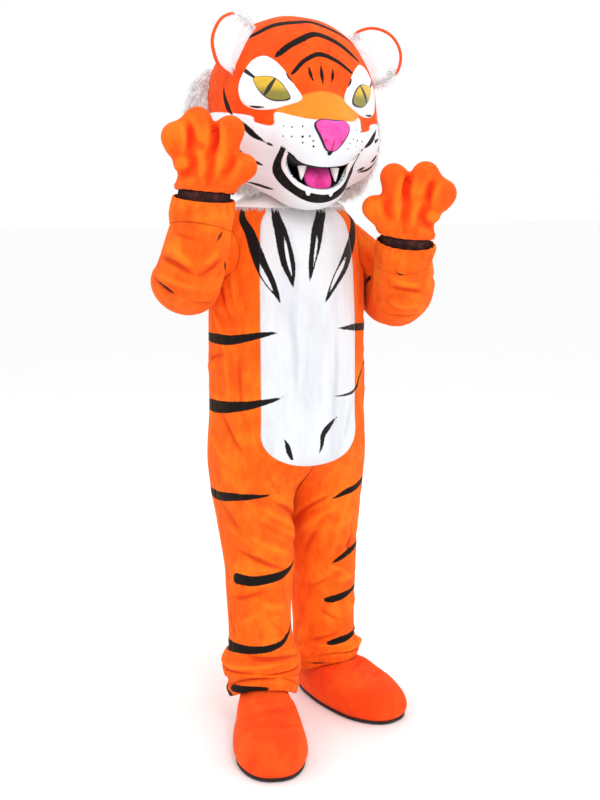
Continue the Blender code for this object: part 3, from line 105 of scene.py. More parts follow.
LegRing = namedtuple("LegRing", "height x y half_width half_depth")
LEGS = {
    RIGHT: (
        LegRing(0.600, -0.1080, 0.004, 0.1060, 0.146),
        LegRing(0.520, -0.1060, -0.008, 0.1010, 0.124),
        LegRing(0.417, -0.1120, -0.048, 0.0960, 0.102),
        LegRing(0.344, -0.1290, -0.081, 0.0890, 0.092),
        LegRing(0.261, -0.1440, -0.118, 0.0850, 0.086),
        LegRing(0.222, -0.1490, -0.136, 0.0880, 0.088),
        LegRing(0.175, -0.1570, -0.153, 0.1070, 0.106),
        LegRing(0.138, -0.1600, -0.163, 0.1030, 0.102),
        LegRing(0.116, -0.1610, -0.168, 0.0930, 0.093),
        LegRing(0.094, -0.1630, -0.173, 0.0980, 0.097),
        LegRing(0.070, -0.1645, -0.177, 0.0900, 0.092),
    ),
    LEFT: (
        LegRing(0.600, 0.1080, 0.004, 0.1060, 0.146),
        LegRing(0.520, 0.1060, 0.000, 0.1010, 0.124),
        LegRing(0.417, 0.1120, 0.000, 0.0960, 0.104),
        LegRing(0.344, 0.1100, -0.006, 0.0930, 0.098),
        LegRing(0.261, 0.1020, -0.022, 0.0900, 0.092),
        LegRing(0.200, 0.0970, -0.036, 0.0880, 0.088),
        LegRing(0.150, 0.0930, -0.045, 0.0900, 0.090),
        LegRing(0.118, 0.0910, -0.053, 0.1050, 0.104),
        LegRing(0.096, 0.0900, -0.059, 0.1000, 0.099),
        LegRing(0.074, 0.0900, -0.062, 0.0900, 0.093),
    ),
}

# The largest folds: share is 0 at the front centre or inseam, 0.5 at the side and 1 at the back
Fold = namedtuple("Fold", "side height share tilt reach width depth")
FOLDS = (
    Fold(RIGHT, 0.500, 0.18, 0.45, 0.16, 0.016, 0.009),
    Fold(RIGHT, 0.445, 0.26, 0.40, 0.17, 0.014, -0.007),
    Fold(RIGHT, 0.395, 0.34, 0.34, 0.18, 0.015, 0.008),
    Fold(RIGHT, 0.330, 0.24, -0.22, 0.16, 0.013, 0.006),
    Fold(LEFT, 0.505, 0.20, 0.40, 0.15, 0.015, 0.008),
    Fold(LEFT, 0.440, 0.30, 0.36, 0.16, 0.014, -0.007),
    Fold(LEFT, 0.345, 0.26, -0.25, 0.16, 0.013, 0.006),
    Fold(RIGHT, 0.480, 0.74, -0.40, 0.16, 0.016, 0.008),
    Fold(LEFT, 0.470, 0.76, -0.40, 0.16, 0.016, 0.008),
    Fold(RIGHT, 0.360, 0.78, 0.20, 0.15, 0.014, 0.007),
    Fold(LEFT, 0.340, 0.74, 0.20, 0.15, 0.014, 0.007),
    Fold(RIGHT, 1.120, 0.42, 0.30, 0.12, 0.016, 0.006),
    Fold(LEFT, 1.110, 0.42, 0.30, 0.12, 0.016, 0.006),
    Fold(RIGHT, 0.960, 0.52, -0.16, 0.14, 0.018, 0.006),
    Fold(LEFT, 0.940, 0.52, -0.16, 0.14, 0.018, 0.006),
    Fold(RIGHT, 0.985, 0.88, 0.10, 0.16, 0.020, -0.006),
    Fold(LEFT, 0.985, 0.88, 0.10, 0.16, 0.020, -0.006),
)

# Creases placed one by one, finer than the folds. across is metres round from the front centre or
# inseam, towards the side; turn is the crease's angle from level, in degrees; depth is out if positive
Crease = namedtuple("Crease", "side across height turn length width depth")
CREASE_GAIN = 1.5
CREASES = (
    # From the crotch over the right thigh
    Crease(RIGHT, 0.085, 0.565, 38, 0.17, 0.0070, -0.0036),
    Crease(RIGHT, 0.115, 0.545, 33, 0.20, 0.0090, 0.0042),
    Crease(RIGHT, 0.125, 0.505, 30, 0.19, 0.0060, -0.0034),
    Crease(RIGHT, 0.160, 0.475, 26, 0.21, 0.0085, 0.0036),
    Crease(RIGHT, 0.190, 0.440, 22, 0.17, 0.0060, -0.0030),
    Crease(RIGHT, 0.245, 0.505, 34, 0.13, 0.0075, 0.0024),
    Crease(RIGHT, 0.270, 0.560, 58, 0.15, 0.0080, -0.0020),
    Crease(RIGHT, 0.215, 0.630, 72, 0.16, 0.0100, 0.0022),
    Crease(RIGHT, 0.120, 0.650, 80, 0.11, 0.0070, -0.0020),
    # Round the right knee and shin
    Crease(RIGHT, 0.240, 0.352, -14, 0.14, 0.0070, -0.0030),
    Crease(RIGHT, 0.160, 0.330, 18, 0.12, 0.0080, 0.0026),
    Crease(RIGHT, 0.230, 0.300, -24, 0.11, 0.0065, 0.0024),
    Crease(RIGHT, 0.130, 0.270, 35, 0.10, 0.0060, -0.0024),
    Crease(RIGHT, 0.300, 0.275, 60, 0.09, 0.0065, -0.0022),
    # Gathers that sag above the right hem
    Crease(RIGHT, 0.150, 0.203, 6, 0.20, 0.0060, -0.0046),
    Crease(RIGHT, 0.220, 0.184, -5, 0.22, 0.0080, 0.0034),
    Crease(RIGHT, 0.300, 0.160, 8, 0.16, 0.0055, -0.0038),
    Crease(RIGHT, 0.120, 0.152, -12, 0.15, 0.0060, -0.0036),
    Crease(RIGHT, 0.190, 0.132, 10, 0.19, 0.0070, 0.0032),
    Crease(RIGHT, 0.250, 0.112, -4, 0.20, 0.0050, -0.0042),
    Crease(RIGHT, 0.100, 0.105, 16, 0.12, 0.0050, -0.0030),
    Crease(RIGHT, 0.420, 0.200, -8, 0.20, 0.0065, -0.0040),
    Crease(RIGHT, 0.470, 0.150, 7, 0.22, 0.0065, -0.0040),
    Crease(RIGHT, 0.540, 0.180, 12, 0.16, 0.0080, 0.0032),
    Crease(RIGHT, 0.430, 0.112, -6, 0.22, 0.0050, -0.0036),
    # The left thigh and knee
    Crease(LEFT, 0.060, 0.560, 48, 0.15, 0.0070, -0.0038),
    Crease(LEFT, 0.085, 0.530, 40, 0.17, 0.0085, 0.0040),
    Crease(LEFT, 0.080, 0.480, 62, 0.16, 0.0065, -0.0032),
    Crease(LEFT, 0.150, 0.510, 80, 0.20, 0.0080, 0.0030),
    Crease(LEFT, 0.195, 0.480, 84, 0.17, 0.0070, -0.0024),
    Crease(LEFT, 0.250, 0.520, 76, 0.15, 0.0085, 0.0020),
    Crease(LEFT, 0.160, 0.370, -30, 0.12, 0.0070, 0.0026),
    Crease(LEFT, 0.110, 0.345, 25, 0.13, 0.0065, -0.0028),
    Crease(LEFT, 0.210, 0.330, 12, 0.12, 0.0070, -0.0024),
    Crease(LEFT, 0.230, 0.255, 22, 0.11, 0.0070, 0.0024),
    Crease(LEFT, 0.130, 0.245, -28, 0.10, 0.0060, -0.0024),
    # Gathers that sag above the left hem
    Crease(LEFT, 0.210, 0.158, 5, 0.20, 0.0055, -0.0042),
    Crease(LEFT, 0.150, 0.142, -8, 0.18, 0.0070, 0.0032),
    Crease(LEFT, 0.230, 0.122, 7, 0.22, 0.0060, 0.0034),
    Crease(LEFT, 0.170, 0.106, -6, 0.20, 0.0050, -0.0042),
    Crease(LEFT, 0.110, 0.178, 16, 0.12, 0.0060, -0.0030),
    Crease(LEFT, 0.420, 0.165, -7, 0.20, 0.0060, -0.0040),
    Crease(LEFT, 0.480, 0.130, 8, 0.22, 0.0065, 0.0034),
    Crease(LEFT, 0.420, 0.106, -5, 0.22, 0.0050, -0.0038),
    # Behind the knees and under the seat
    Crease(RIGHT, 0.470, 0.395, 16, 0.15, 0.0070, -0.0038),
    Crease(RIGHT, 0.450, 0.350, -12, 0.16, 0.0080, 0.0034),
    Crease(RIGHT, 0.490, 0.300, 20, 0.13, 0.0065, -0.0030),
    Crease(LEFT, 0.465, 0.385, -14, 0.15, 0.0070, -0.0038),
    Crease(LEFT, 0.450, 0.335, 12, 0.16, 0.0080, 0.0034),
    Crease(LEFT, 0.480, 0.285, -18, 0.13, 0.0065, -0.0030),
    Crease(RIGHT, 0.540, 0.560, -38, 0.17, 0.0080, -0.0036),
    Crease(RIGHT, 0.500, 0.510, -30, 0.19, 0.0080, 0.0034),
    Crease(LEFT, 0.545, 0.555, -38, 0.17, 0.0080, -0.0036),
    Crease(LEFT, 0.505, 0.505, -30, 0.19, 0.0080, 0.0034),
    # The sides of the body, under the arms and round the waist
    Crease(RIGHT, 0.255, 1.150, 66, 0.17, 0.0080, -0.0036),
    Crease(RIGHT, 0.215, 1.185, 76, 0.16, 0.0085, 0.0030),
    Crease(RIGHT, 0.285, 1.090, 48, 0.14, 0.0075, 0.0032),
    Crease(RIGHT, 0.300, 0.985, -16, 0.15, 0.0080, -0.0032),
    Crease(RIGHT, 0.235, 0.935, 84, 0.19, 0.0090, 0.0026),
    Crease(RIGHT, 0.195, 0.920, 87, 0.21, 0.0080, -0.0022),
    Crease(RIGHT, 0.290, 0.880, 14, 0.15, 0.0080, 0.0028),
    Crease(RIGHT, 0.225, 0.790, 52, 0.17, 0.0085, -0.0028),
    Crease(RIGHT, 0.275, 0.745, 38, 0.17, 0.0085, 0.0026),
    Crease(LEFT, 0.250, 1.160, 66, 0.17, 0.0080, -0.0036),
    Crease(LEFT, 0.212, 1.190, 78, 0.16, 0.0085, 0.0030),
    Crease(LEFT, 0.280, 1.085, 44, 0.14, 0.0075, 0.0032),
    Crease(LEFT, 0.290, 0.980, 14, 0.15, 0.0080, -0.0030),
    Crease(LEFT, 0.225, 0.900, 84, 0.18, 0.0090, 0.0026),
    Crease(LEFT, 0.285, 0.865, -12, 0.15, 0.0080, 0.0026),
    Crease(LEFT, 0.230, 0.775, 56, 0.17, 0.0085, -0.0028),
    # Down the white belly
    Crease(RIGHT, 0.050, 1.010, 88, 0.34, 0.0120, -0.0026),
    Crease(RIGHT, 0.022, 0.900, 86, 0.24, 0.0110, 0.0022),
    Crease(LEFT, 0.062, 0.930, 88, 0.30, 0.0110, -0.0026),
    Crease(LEFT, 0.034, 1.080, 85, 0.22, 0.0110, 0.0020),
    Crease(LEFT, 0.100, 0.800, 70, 0.13, 0.0090, -0.0022),
    Crease(RIGHT, 0.092, 0.800, 68, 0.13, 0.0090, 0.0022),
    # The back
    Crease(RIGHT, 0.560, 1.180, -66, 0.20, 0.0100, -0.0034),
    Crease(LEFT, 0.560, 1.170, -62, 0.20, 0.0100, -0.0034),
    Crease(RIGHT, 0.500, 1.080, -40, 0.18, 0.0090, 0.0034),
    Crease(LEFT, 0.505, 1.090, -44, 0.18, 0.0090, 0.0034),
    Crease(RIGHT, 0.520, 0.990, 8, 0.18, 0.0085, -0.0038),
    Crease(LEFT, 0.515, 0.975, -6, 0.18, 0.0085, -0.0038),
    Crease(RIGHT, 0.480, 0.900, -24, 0.17, 0.0085, 0.0034),
    Crease(LEFT, 0.490, 0.905, 20, 0.17, 0.0085, 0.0034),
    Crease(RIGHT, 0.540, 0.760, 70, 0.20, 0.0100, 0.0028),
    Crease(LEFT, 0.545, 0.770, 74, 0.20, 0.0100, 0.0028),
)

# Black stripes on the suit. share is negative on the wearer's right, half is the half width
StripePoint = namedtuple("StripePoint", "share height half")
SUIT_STRIPES = {
    "chest_right": (
        (-0.420, 1.385, 0.0040), (-0.363, 1.365, 0.0073), (-0.275, 1.320, 0.0125),
        (-0.238, 1.270, 0.0160), (-0.211, 1.230, 0.0168), (-0.183, 1.195, 0.0150),
        (-0.162, 1.170, 0.0100), (-0.147, 1.150, 0.0050), (-0.138, 1.132, 0.0006),
    ),
    "chest_inner_right": (
        (-0.205, 1.395, 0.0060), (-0.160, 1.360, 0.0110), (-0.133, 1.325, 0.0158),
        (-0.118, 1.280, 0.0188), (-0.105, 1.240, 0.0190), (-0.096, 1.215, 0.0137),
        (-0.090, 1.190, 0.0063), (-0.087, 1.172, 0.0006),
    ),
    "chest_inner_left": (
        (0.102, 1.390, 0.0130), (0.088, 1.370, 0.0146), (0.056, 1.345, 0.0151),
        (0.031, 1.315, 0.0172), (0.012, 1.275, 0.0150), (-0.004, 1.240, 0.0107),
        (-0.013, 1.210, 0.0059), (-0.018, 1.188, 0.0006),
    ),
    "chest_left": (
        (0.400, 1.380, 0.0120), (0.330, 1.345, 0.0140), (0.280, 1.320, 0.0150), (0.238, 1.293, 0.0161),
        (0.192, 1.260, 0.0178), (0.150, 1.225, 0.0176), (0.104, 1.190, 0.0137),
        (0.069, 1.158, 0.0080), (0.040, 1.128, 0.0006),
    ),
    "waist_right": (
        (-0.700, 1.030, 0.0006), (-0.640, 1.034, 0.0080), (-0.575, 1.036, 0.0110),
        (-0.431, 1.036, 0.0141), (-0.363, 1.036, 0.0127), (-0.288, 1.043, 0.0107),
        (-0.231, 1.050, 0.0083), (-0.188, 1.055, 0.0054), (-0.142, 1.060, 0.0006),
    ),
    "waist_left": (
        (0.640, 1.056, 0.0006), (0.560, 1.052, 0.0090), (0.450, 1.050, 0.0110), (0.350, 1.052, 0.0103),
        (0.225, 1.058, 0.0100), (0.156, 1.060, 0.0054), (0.092, 1.060, 0.0006),
    ),
    "hip_right": (
        (-0.700, 0.846, 0.0006), (-0.620, 0.850, 0.0110), (-0.540, 0.852, 0.0165),
        (-0.425, 0.855, 0.0171), (-0.338, 0.860, 0.0140), (-0.269, 0.866, 0.0112),
        (-0.213, 0.874, 0.0083), (-0.162, 0.882, 0.0044), (-0.129, 0.890, 0.0006),
    ),
    "hip_left": (
        (0.430, 0.962, 0.0006), (0.330, 0.945, 0.0036), (0.262, 0.918, 0.0040),
        (0.238, 0.896, 0.0049), (0.194, 0.882, 0.0044), (0.131, 0.879, 0.0026), (0.086, 0.880, 0.0006),
    ),
    "belly_tick_left": (
        (0.104, 0.824, 0.0006), (0.056, 0.800, 0.0080), (0.031, 0.780, 0.0078),
        (0.024, 0.750, 0.0049), (0.012, 0.728, 0.0008),
    ),
    "belly_tick_right": (
        (-0.126, 0.777, 0.0008), (-0.113, 0.757, 0.0063), (-0.106, 0.740, 0.0070),
        (-0.094, 0.720, 0.0032),
    ),
    "thigh_right": (
        (-0.720, 0.600, 0.0006), (-0.640, 0.602, 0.0090), (-0.560, 0.605, 0.0130),
        (-0.475, 0.606, 0.0136), (-0.394, 0.614, 0.0113), (-0.312, 0.619, 0.0071),
        (-0.262, 0.621, 0.0041), (-0.204, 0.627, 0.0006),
    ),
    "knee_right": (
        (-0.430, 0.395, 0.0148), (-0.363, 0.395, 0.0136), (-0.294, 0.399, 0.0124),
        (-0.231, 0.402, 0.0107), (-0.165, 0.411, 0.0059), (-0.088, 0.428, 0.0006),
    ),
    "shin_right": (
        (-0.660, 0.214, 0.0006), (-0.600, 0.217, 0.0110), (-0.540, 0.220, 0.0142),
        (-0.438, 0.225, 0.0118), (-0.350, 0.228, 0.0101), (-0.275, 0.231, 0.0089),
        (-0.194, 0.240, 0.0059), (-0.120, 0.262, 0.0036), (-0.060, 0.292, 0.0006),
    ),
    "hem_right": (
        (-0.462, 0.128, 0.0101), (-0.400, 0.134, 0.0120), (-0.319, 0.141, 0.0095),
        (-0.262, 0.145, 0.0053), (-0.194, 0.147, 0.0006),
    ),
    "hem_patch_right": (
        (-0.700, 0.118, 0.0006), (-0.640, 0.114, 0.0090), (-0.560, 0.110, 0.0140),
        (-0.500, 0.101, 0.0110), (-0.440, 0.088, 0.0016),
    ),
    "thigh_left": (
        (0.640, 0.640, 0.0006), (0.540, 0.634, 0.0060), (0.430, 0.628, 0.0070), (0.340, 0.622, 0.0080),
        (0.281, 0.612, 0.0085), (0.225, 0.603, 0.0075), (0.172, 0.585, 0.0006),
    ),
    "knee_left": (
        (0.640, 0.440, 0.0006), (0.520, 0.438, 0.0060), (0.420, 0.434, 0.0060), (0.312, 0.420, 0.0089),
        (0.250, 0.405, 0.0071), (0.202, 0.390, 0.0006),
    ),
    "calf_left": (
        (0.560, 0.312, 0.0006), (0.440, 0.310, 0.0060), (0.338, 0.303, 0.0060), (0.275, 0.296, 0.0095),
        (0.213, 0.291, 0.0095), (0.185, 0.290, 0.0060),
    ),
    "shin_left": (
        (0.600, 0.186, 0.0006), (0.480, 0.184, 0.0080), (0.344, 0.180, 0.0080), (0.250, 0.174, 0.0113),
        (0.188, 0.162, 0.0107), (0.138, 0.142, 0.0008),
    ),
    "hem_left": ((0.081, 0.117, 0.0006), (0.144, 0.122, 0.0030), (0.206, 0.124, 0.0006)),
    "back_shoulder_right": (
        (-0.640, 1.290, 0.0006), (-0.720, 1.275, 0.0090), (-0.800, 1.250, 0.0120),
        (-0.880, 1.215, 0.0080), (-0.940, 1.190, 0.0006),
    ),
    "back_shoulder_left": (
        (0.650, 1.280, 0.0006), (0.730, 1.262, 0.0090), (0.810, 1.236, 0.0120),
        (0.885, 1.205, 0.0080), (0.945, 1.182, 0.0006),
    ),
    "back_rib_right": (
        (-0.660, 1.140, 0.0006), (-0.740, 1.128, 0.0090), (-0.830, 1.120, 0.0110), (-0.920, 1.128, 0.0006),
    ),
    "back_rib_left": (
        (0.650, 1.150, 0.0006), (0.730, 1.138, 0.0090), (0.820, 1.126, 0.0110), (0.915, 1.130, 0.0006),
    ),
    "back_loin_right": (
        (-0.640, 0.950, 0.0006), (-0.740, 0.938, 0.0110), (-0.840, 0.936, 0.0110), (-0.930, 0.948, 0.0006),
    ),
    "back_loin_left": (
        (0.620, 0.965, 0.0006), (0.720, 0.946, 0.0110), (0.830, 0.940, 0.0110), (0.925, 0.952, 0.0006),
    ),
    "back_seat_left": (
        (0.640, 0.800, 0.0006), (0.740, 0.786, 0.0110), (0.840, 0.782, 0.0090), (0.920, 0.790, 0.0006),
    ),
    "back_seat_right": (
        (-0.740, 0.742, 0.0006), (-0.800, 0.738, 0.0090), (-0.870, 0.742, 0.0080), (-0.930, 0.752, 0.0006),
    ),
    "back_knee_right": (
        (-0.620, 0.472, 0.0006), (-0.700, 0.462, 0.0090), (-0.800, 0.464, 0.0090), (-0.890, 0.476, 0.0006),
    ),
    "back_calf_left": (
        (0.640, 0.236, 0.0006), (0.720, 0.228, 0.0090), (0.800, 0.230, 0.0080), (0.880, 0.240, 0.0006),
    ),
}
# The white slits inside the chest stripes
SLIT_DRAWN_IN = 0.0030
CHEST_SLITS = {
    "slit_right": (
        (-0.2500, 1.272, 0.0005), (-0.2310, 1.240, 0.0066), (-0.2050, 1.208, 0.0090),
        (-0.1810, 1.181, 0.0072), (-0.1580, 1.156, 0.0012),
    ),
    "slit_inner_right": (
        (-0.1190, 1.316, 0.0005), (-0.1120, 1.285, 0.0060), (-0.1050, 1.250, 0.0074),
        (-0.0950, 1.218, 0.0056), (-0.0880, 1.192, 0.0008),
    ),
    "slit_inner_left": (
        (0.0310, 1.320, 0.0005), (0.0240, 1.295, 0.0057), (0.0110, 1.260, 0.0063),
        (-0.0010, 1.226, 0.0039), (-0.0120, 1.200, 0.0008),
    ),
    "slit_left": (
        (0.1880, 1.262, 0.0005), (0.1510, 1.232, 0.0080), (0.1120, 1.203, 0.0096),
        (0.0810, 1.174, 0.0066), (0.0540, 1.144, 0.0010),
    ),
}
# Marks on the sleeves, as places in the costume's frame with heights above the floor
SLEEVE_MARKS = {
    RIGHT: {
        "cuff_side": ((-0.383, -0.110, 1.352, 0.0012), (-0.382, -0.119, 1.338, 0.0022)),
        "inner": ((-0.279, -0.207, 1.328, 0.0018), (-0.292, -0.213, 1.311, 0.0046), (-0.305, -0.217, 1.294, 0.0008)),
        "inner_low": ((-0.282, -0.206, 1.262, 0.0012), (-0.271, -0.198, 1.239, 0.0044), (-0.262, -0.186, 1.216, 0.0006)),
        "elbow": (
            (-0.411, -0.089, 1.203, 0.0006), (-0.405, -0.114, 1.192, 0.0052),
            (-0.392, -0.131, 1.180, 0.0058), (-0.362, -0.148, 1.158, 0.0006),
        ),
        "outside": ((-0.398, -0.040, 1.250, 0.0006), (-0.404, -0.060, 1.285, 0.0060), (-0.396, -0.080, 1.318, 0.0006)),
        "shoulder": (
            (-0.250, -0.020, 1.315, 0.0006), (-0.285, 0.010, 1.305, 0.0080),
            (-0.330, 0.060, 1.262, 0.0080), (-0.345, 0.090, 1.220, 0.0006),
        ),
        "behind": ((-0.300, 0.118, 1.210, 0.0006), (-0.340, 0.100, 1.160, 0.0075), (-0.372, 0.060, 1.120, 0.0006)),
    },
    LEFT: {
        "cuff": (
            (0.171, -0.246, 1.232, 0.0006), (0.184, -0.257, 1.218, 0.0026),
            (0.195, -0.263, 1.209, 0.0040), (0.206, -0.271, 1.204, 0.0006),
        ),
        "inner": ((0.214, -0.086, 1.194, 0.0022), (0.218, -0.066, 1.178, 0.0058), (0.223, -0.038, 1.160, 0.0010)),
        "outside": ((0.372, -0.060, 1.150, 0.0006), (0.372, -0.110, 1.170, 0.0070), (0.352, -0.160, 1.200, 0.0006)),
        "shoulder": (
            (0.262, -0.050, 1.292, 0.0006), (0.298, -0.010, 1.280, 0.0080),
            (0.335, 0.030, 1.232, 0.0080), (0.345, 0.050, 1.180, 0.0006),
        ),
        "behind": ((0.300, 0.090, 1.190, 0.0006), (0.336, 0.070, 1.130, 0.0075), (0.355, 0.020, 1.070, 0.0006)),
    },
}

SleevePoint = namedtuple("SleevePoint", "x y height radius")
SLEEVES = {
    RIGHT: (
        SleevePoint(-0.214, 0.014, 1.268, 0.082),
        SleevePoint(-0.258, 0.040, 1.236, 0.084),
        SleevePoint(-0.298, 0.032, 1.192, 0.088),
        SleevePoint(-0.320, -0.030, 1.166, 0.090),
        SleevePoint(-0.330, -0.098, 1.184, 0.090),
        SleevePoint(-0.324, -0.134, 1.236, 0.089),
        SleevePoint(-0.313, -0.138, 1.290, 0.086),
        SleevePoint(-0.305, -0.134, 1.325, 0.080),
    ),
    LEFT: (
        SleevePoint(0.214, 0.008, 1.264, 0.082),
        SleevePoint(0.260, 0.008, 1.210, 0.084),
        SleevePoint(0.290, -0.022, 1.150, 0.087),
        SleevePoint(0.296, -0.080, 1.116, 0.089),
        SleevePoint(0.284, -0.138, 1.128, 0.088),
        SleevePoint(0.264, -0.178, 1.168, 0.085),
        SleevePoint(0.247, -0.200, 1.210, 0.080),
        SleevePoint(0.238, -0.213, 1.240, 0.076),
    ),
}
ELBOW_CREASE = {RIGHT: Vector((-0.30, -0.047, 1.256)), LEFT: Vector((0.27, -0.098, 1.215))}
ELBOW_GAP = 0.008
SLEEVE_PASSES = 3
CUFF_LENGTH = {RIGHT: 0.078, LEFT: 0.050}
CUFF_RADIUS = 0.0765
HAND_UP = {RIGHT: Vector((0.03, -0.15, 0.99)), LEFT: Vector((-0.04, -0.26, 0.96))}
PALM_FACES = {RIGHT: Vector((-0.42, -0.88, -0.10)), LEFT: Vector((-0.50, -0.84, -0.16))}

SleeveRoll = namedtuple("SleeveRoll", "side way turn twist reach width depth")
SLEEVE_ROLLS = (
    SleeveRoll(RIGHT, 0.36, 0.40, 0.05, 0.20, 0.040, 0.007),
    SleeveRoll(RIGHT, 0.55, 0.60, -0.06, 0.20, 0.040, 0.007),
    SleeveRoll(RIGHT, 0.70, 0.45, 0.06, 0.22, 0.036, -0.006),
    SleeveRoll(RIGHT, 0.82, 0.60, 0.04, 0.26, 0.036, 0.008),
    SleeveRoll(RIGHT, 0.92, 0.15, -0.03, 0.26, 0.030, 0.006),
    SleeveRoll(LEFT, 0.36, 0.40, 0.05, 0.20, 0.040, 0.007),
    SleeveRoll(LEFT, 0.55, 0.60, -0.06, 0.20, 0.040, 0.007),
    SleeveRoll(LEFT, 0.70, 0.40, 0.05, 0.22, 0.036, -0.006),
    SleeveRoll(LEFT, 0.82, 0.55, 0.04, 0.26, 0.036, 0.008),
    SleeveRoll(LEFT, 0.92, 0.15, -0.03, 0.26, 0.030, 0.006),
)
# Finer creases on the sleeves: start and end places in the costume's frame, width and depth
SleeveCrease = namedtuple("SleeveCrease", "start end width depth")
SLEEVE_CREASES = {
    RIGHT: (
        SleeveCrease((-0.398, -0.105, 1.262), (-0.345, -0.205, 1.215), 0.0070, -0.0050),
        SleeveCrease((-0.345, -0.205, 1.215), (-0.285, -0.205, 1.262), 0.0065, -0.0048),
        SleeveCrease((-0.388, -0.130, 1.290), (-0.352, -0.200, 1.240), 0.0090, 0.0046),
        SleeveCrease((-0.340, -0.210, 1.245), (-0.292, -0.212, 1.285), 0.0080, 0.0040),
        SleeveCrease((-0.400, -0.090, 1.225), (-0.335, -0.190, 1.180), 0.0090, 0.0050),
        SleeveCrease((-0.378, -0.145, 1.325), (-0.330, -0.212, 1.300), 0.0070, -0.0034),
        SleeveCrease((-0.410, -0.060, 1.215), (-0.370, -0.140, 1.165), 0.0070, -0.0040),
        SleeveCrease((-0.330, -0.185, 1.160), (-0.265, -0.180, 1.205), 0.0080, 0.0036),
        SleeveCrease((-0.350, -0.160, 1.135), (-0.270, -0.130, 1.140), 0.0080, -0.0034),
        SleeveCrease((-0.300, 0.100, 1.255), (-0.360, 0.060, 1.180), 0.0090, -0.0044),
        SleeveCrease((-0.270, 0.090, 1.290), (-0.330, 0.080, 1.250), 0.0080, 0.0040),
        SleeveCrease((-0.330, 0.090, 1.150), (-0.390, 0.010, 1.120), 0.0080, -0.0040),
        SleeveCrease((-0.250, -0.030, 1.330), (-0.300, -0.030, 1.270), 0.0080, -0.0034),
    ),
    LEFT: (
        SleeveCrease((0.180, -0.252, 1.235), (0.235, -0.283, 1.208), 0.0065, -0.0046),
        SleeveCrease((0.175, -0.240, 1.205), (0.250, -0.286, 1.175), 0.0080, 0.0046),
        SleeveCrease((0.185, -0.225, 1.178), (0.275, -0.270, 1.148), 0.0065, -0.0048),
        SleeveCrease((0.200, -0.200, 1.150), (0.290, -0.245, 1.120), 0.0085, 0.0044),
        SleeveCrease((0.215, -0.160, 1.110), (0.300, -0.210, 1.085), 0.0070, -0.0040),
        SleeveCrease((0.245, -0.283, 1.235), (0.320, -0.245, 1.225), 0.0070, 0.0036),
        SleeveCrease((0.275, -0.262, 1.190), (0.345, -0.180, 1.180), 0.0070, -0.0040),
        SleeveCrease((0.230, -0.120, 1.075), (0.310, -0.160, 1.050), 0.0080, 0.0036),
        SleeveCrease((0.300, 0.080, 1.230), (0.350, 0.040, 1.150), 0.0090, -0.0044),
        SleeveCrease((0.260, 0.080, 1.270), (0.320, 0.070, 1.220), 0.0080, 0.0040),
        SleeveCrease((0.330, 0.050, 1.110), (0.370, -0.030, 1.080), 0.0080, -0.0040),
    ),
}

# The head, in its own frame: origin at its centre, -Y forward
HEAD_CENTRE = Vector((0.012, -0.006, 1.638))
HEAD_TURN = math.radians(-7)
HEAD_ROLL = math.radians(2.8)
HEAD_BLEND = 0.022
Ball = namedtuple("Ball", "x y z across deep tall mirrored")
HEAD_BALLS = (
    Ball(0.000, 0.010, 0.018, 0.222, 0.222, 0.206, False),
    Ball(0.100, -0.050, -0.095, 0.118, 0.118, 0.105, True),
    Ball(0.040, -0.190, -0.092, 0.068, 0.098, 0.060, True),
    Ball(0.000, -0.165, -0.030, 0.060, 0.098, 0.050, False),
    Ball(0.000, -0.146, -0.204, 0.088, 0.094, 0.062, False),
    Ball(0.000, 0.020, -0.140, 0.165, 0.150, 0.090, False),
)
NECK_HOLE_ANGLE = math.radians(152)
FACE_BACK = 0.030

Spot = namedtuple("Spot", "x z")
NOSE_OUTLINE = (
    Spot(0.000, -0.048), Spot(0.030, -0.048), Spot(0.047, -0.062), Spot(0.036, -0.090),
    Spot(0.013, -0.121), Spot(-0.013, -0.121), Spot(-0.036, -0.090), Spot(-0.047, -0.062),
    Spot(-0.030, -0.048),
)
MOUTH_OUTLINE = (
    Spot(0.000, -0.160), Spot(0.034, -0.157), Spot(0.064, -0.149), Spot(0.094, -0.128),
    Spot(0.081, -0.168), Spot(0.060, -0.196), Spot(0.030, -0.212), Spot(0.000, -0.216),
    Spot(-0.030, -0.212), Spot(-0.060, -0.196), Spot(-0.081, -0.168), Spot(-0.094, -0.128),
    Spot(-0.064, -0.149), Spot(-0.034, -0.157),
)
WHITE_OUTLINE = (
    Spot(0.600, -0.010), Spot(0.205, -0.034), Spot(0.155, -0.057), Spot(0.121, -0.063),
    Spot(0.113, -0.031), Spot(0.064, -0.046), Spot(0.000, -0.050), Spot(-0.064, -0.046),
    Spot(-0.113, -0.031), Spot(-0.121, -0.063), Spot(-0.155, -0.057), Spot(-0.205, -0.034),
    Spot(-0.600, -0.010), Spot(-0.600, -0.600), Spot(0.600, -0.600),
)
BRIDGE_OUTLINE = (
    Spot(-0.113, -0.031), Spot(-0.096, -0.016), Spot(-0.068, 0.004), Spot(-0.038, 0.017),
    Spot(0.000, 0.022), Spot(0.042, 0.015), Spot(0.078, -0.006), Spot(0.113, -0.031),
    Spot(0.064, -0.047), Spot(0.000, -0.051), Spot(-0.064, -0.047),
)
Round = namedtuple("Round", "turn z")
EYE_OUTLINE = (
    Round(14, 0.003), Round(19, 0.038), Round(26, 0.072), Round(34, 0.096), Round(43, 0.107),
    Round(52, 0.092), Round(58, 0.040), Round(55, -0.004), Round(46, -0.024), Round(34, -0.026),
    Round(24, -0.016),
)
IRIS_OUTLINE = (
    Round(20.5, 0.000), Round(25, 0.031), Round(31, 0.050), Round(38, 0.055), Round(46.5, 0.050),
    Round(43, 0.024), Round(36.5, 0.002), Round(29, -0.006),
)

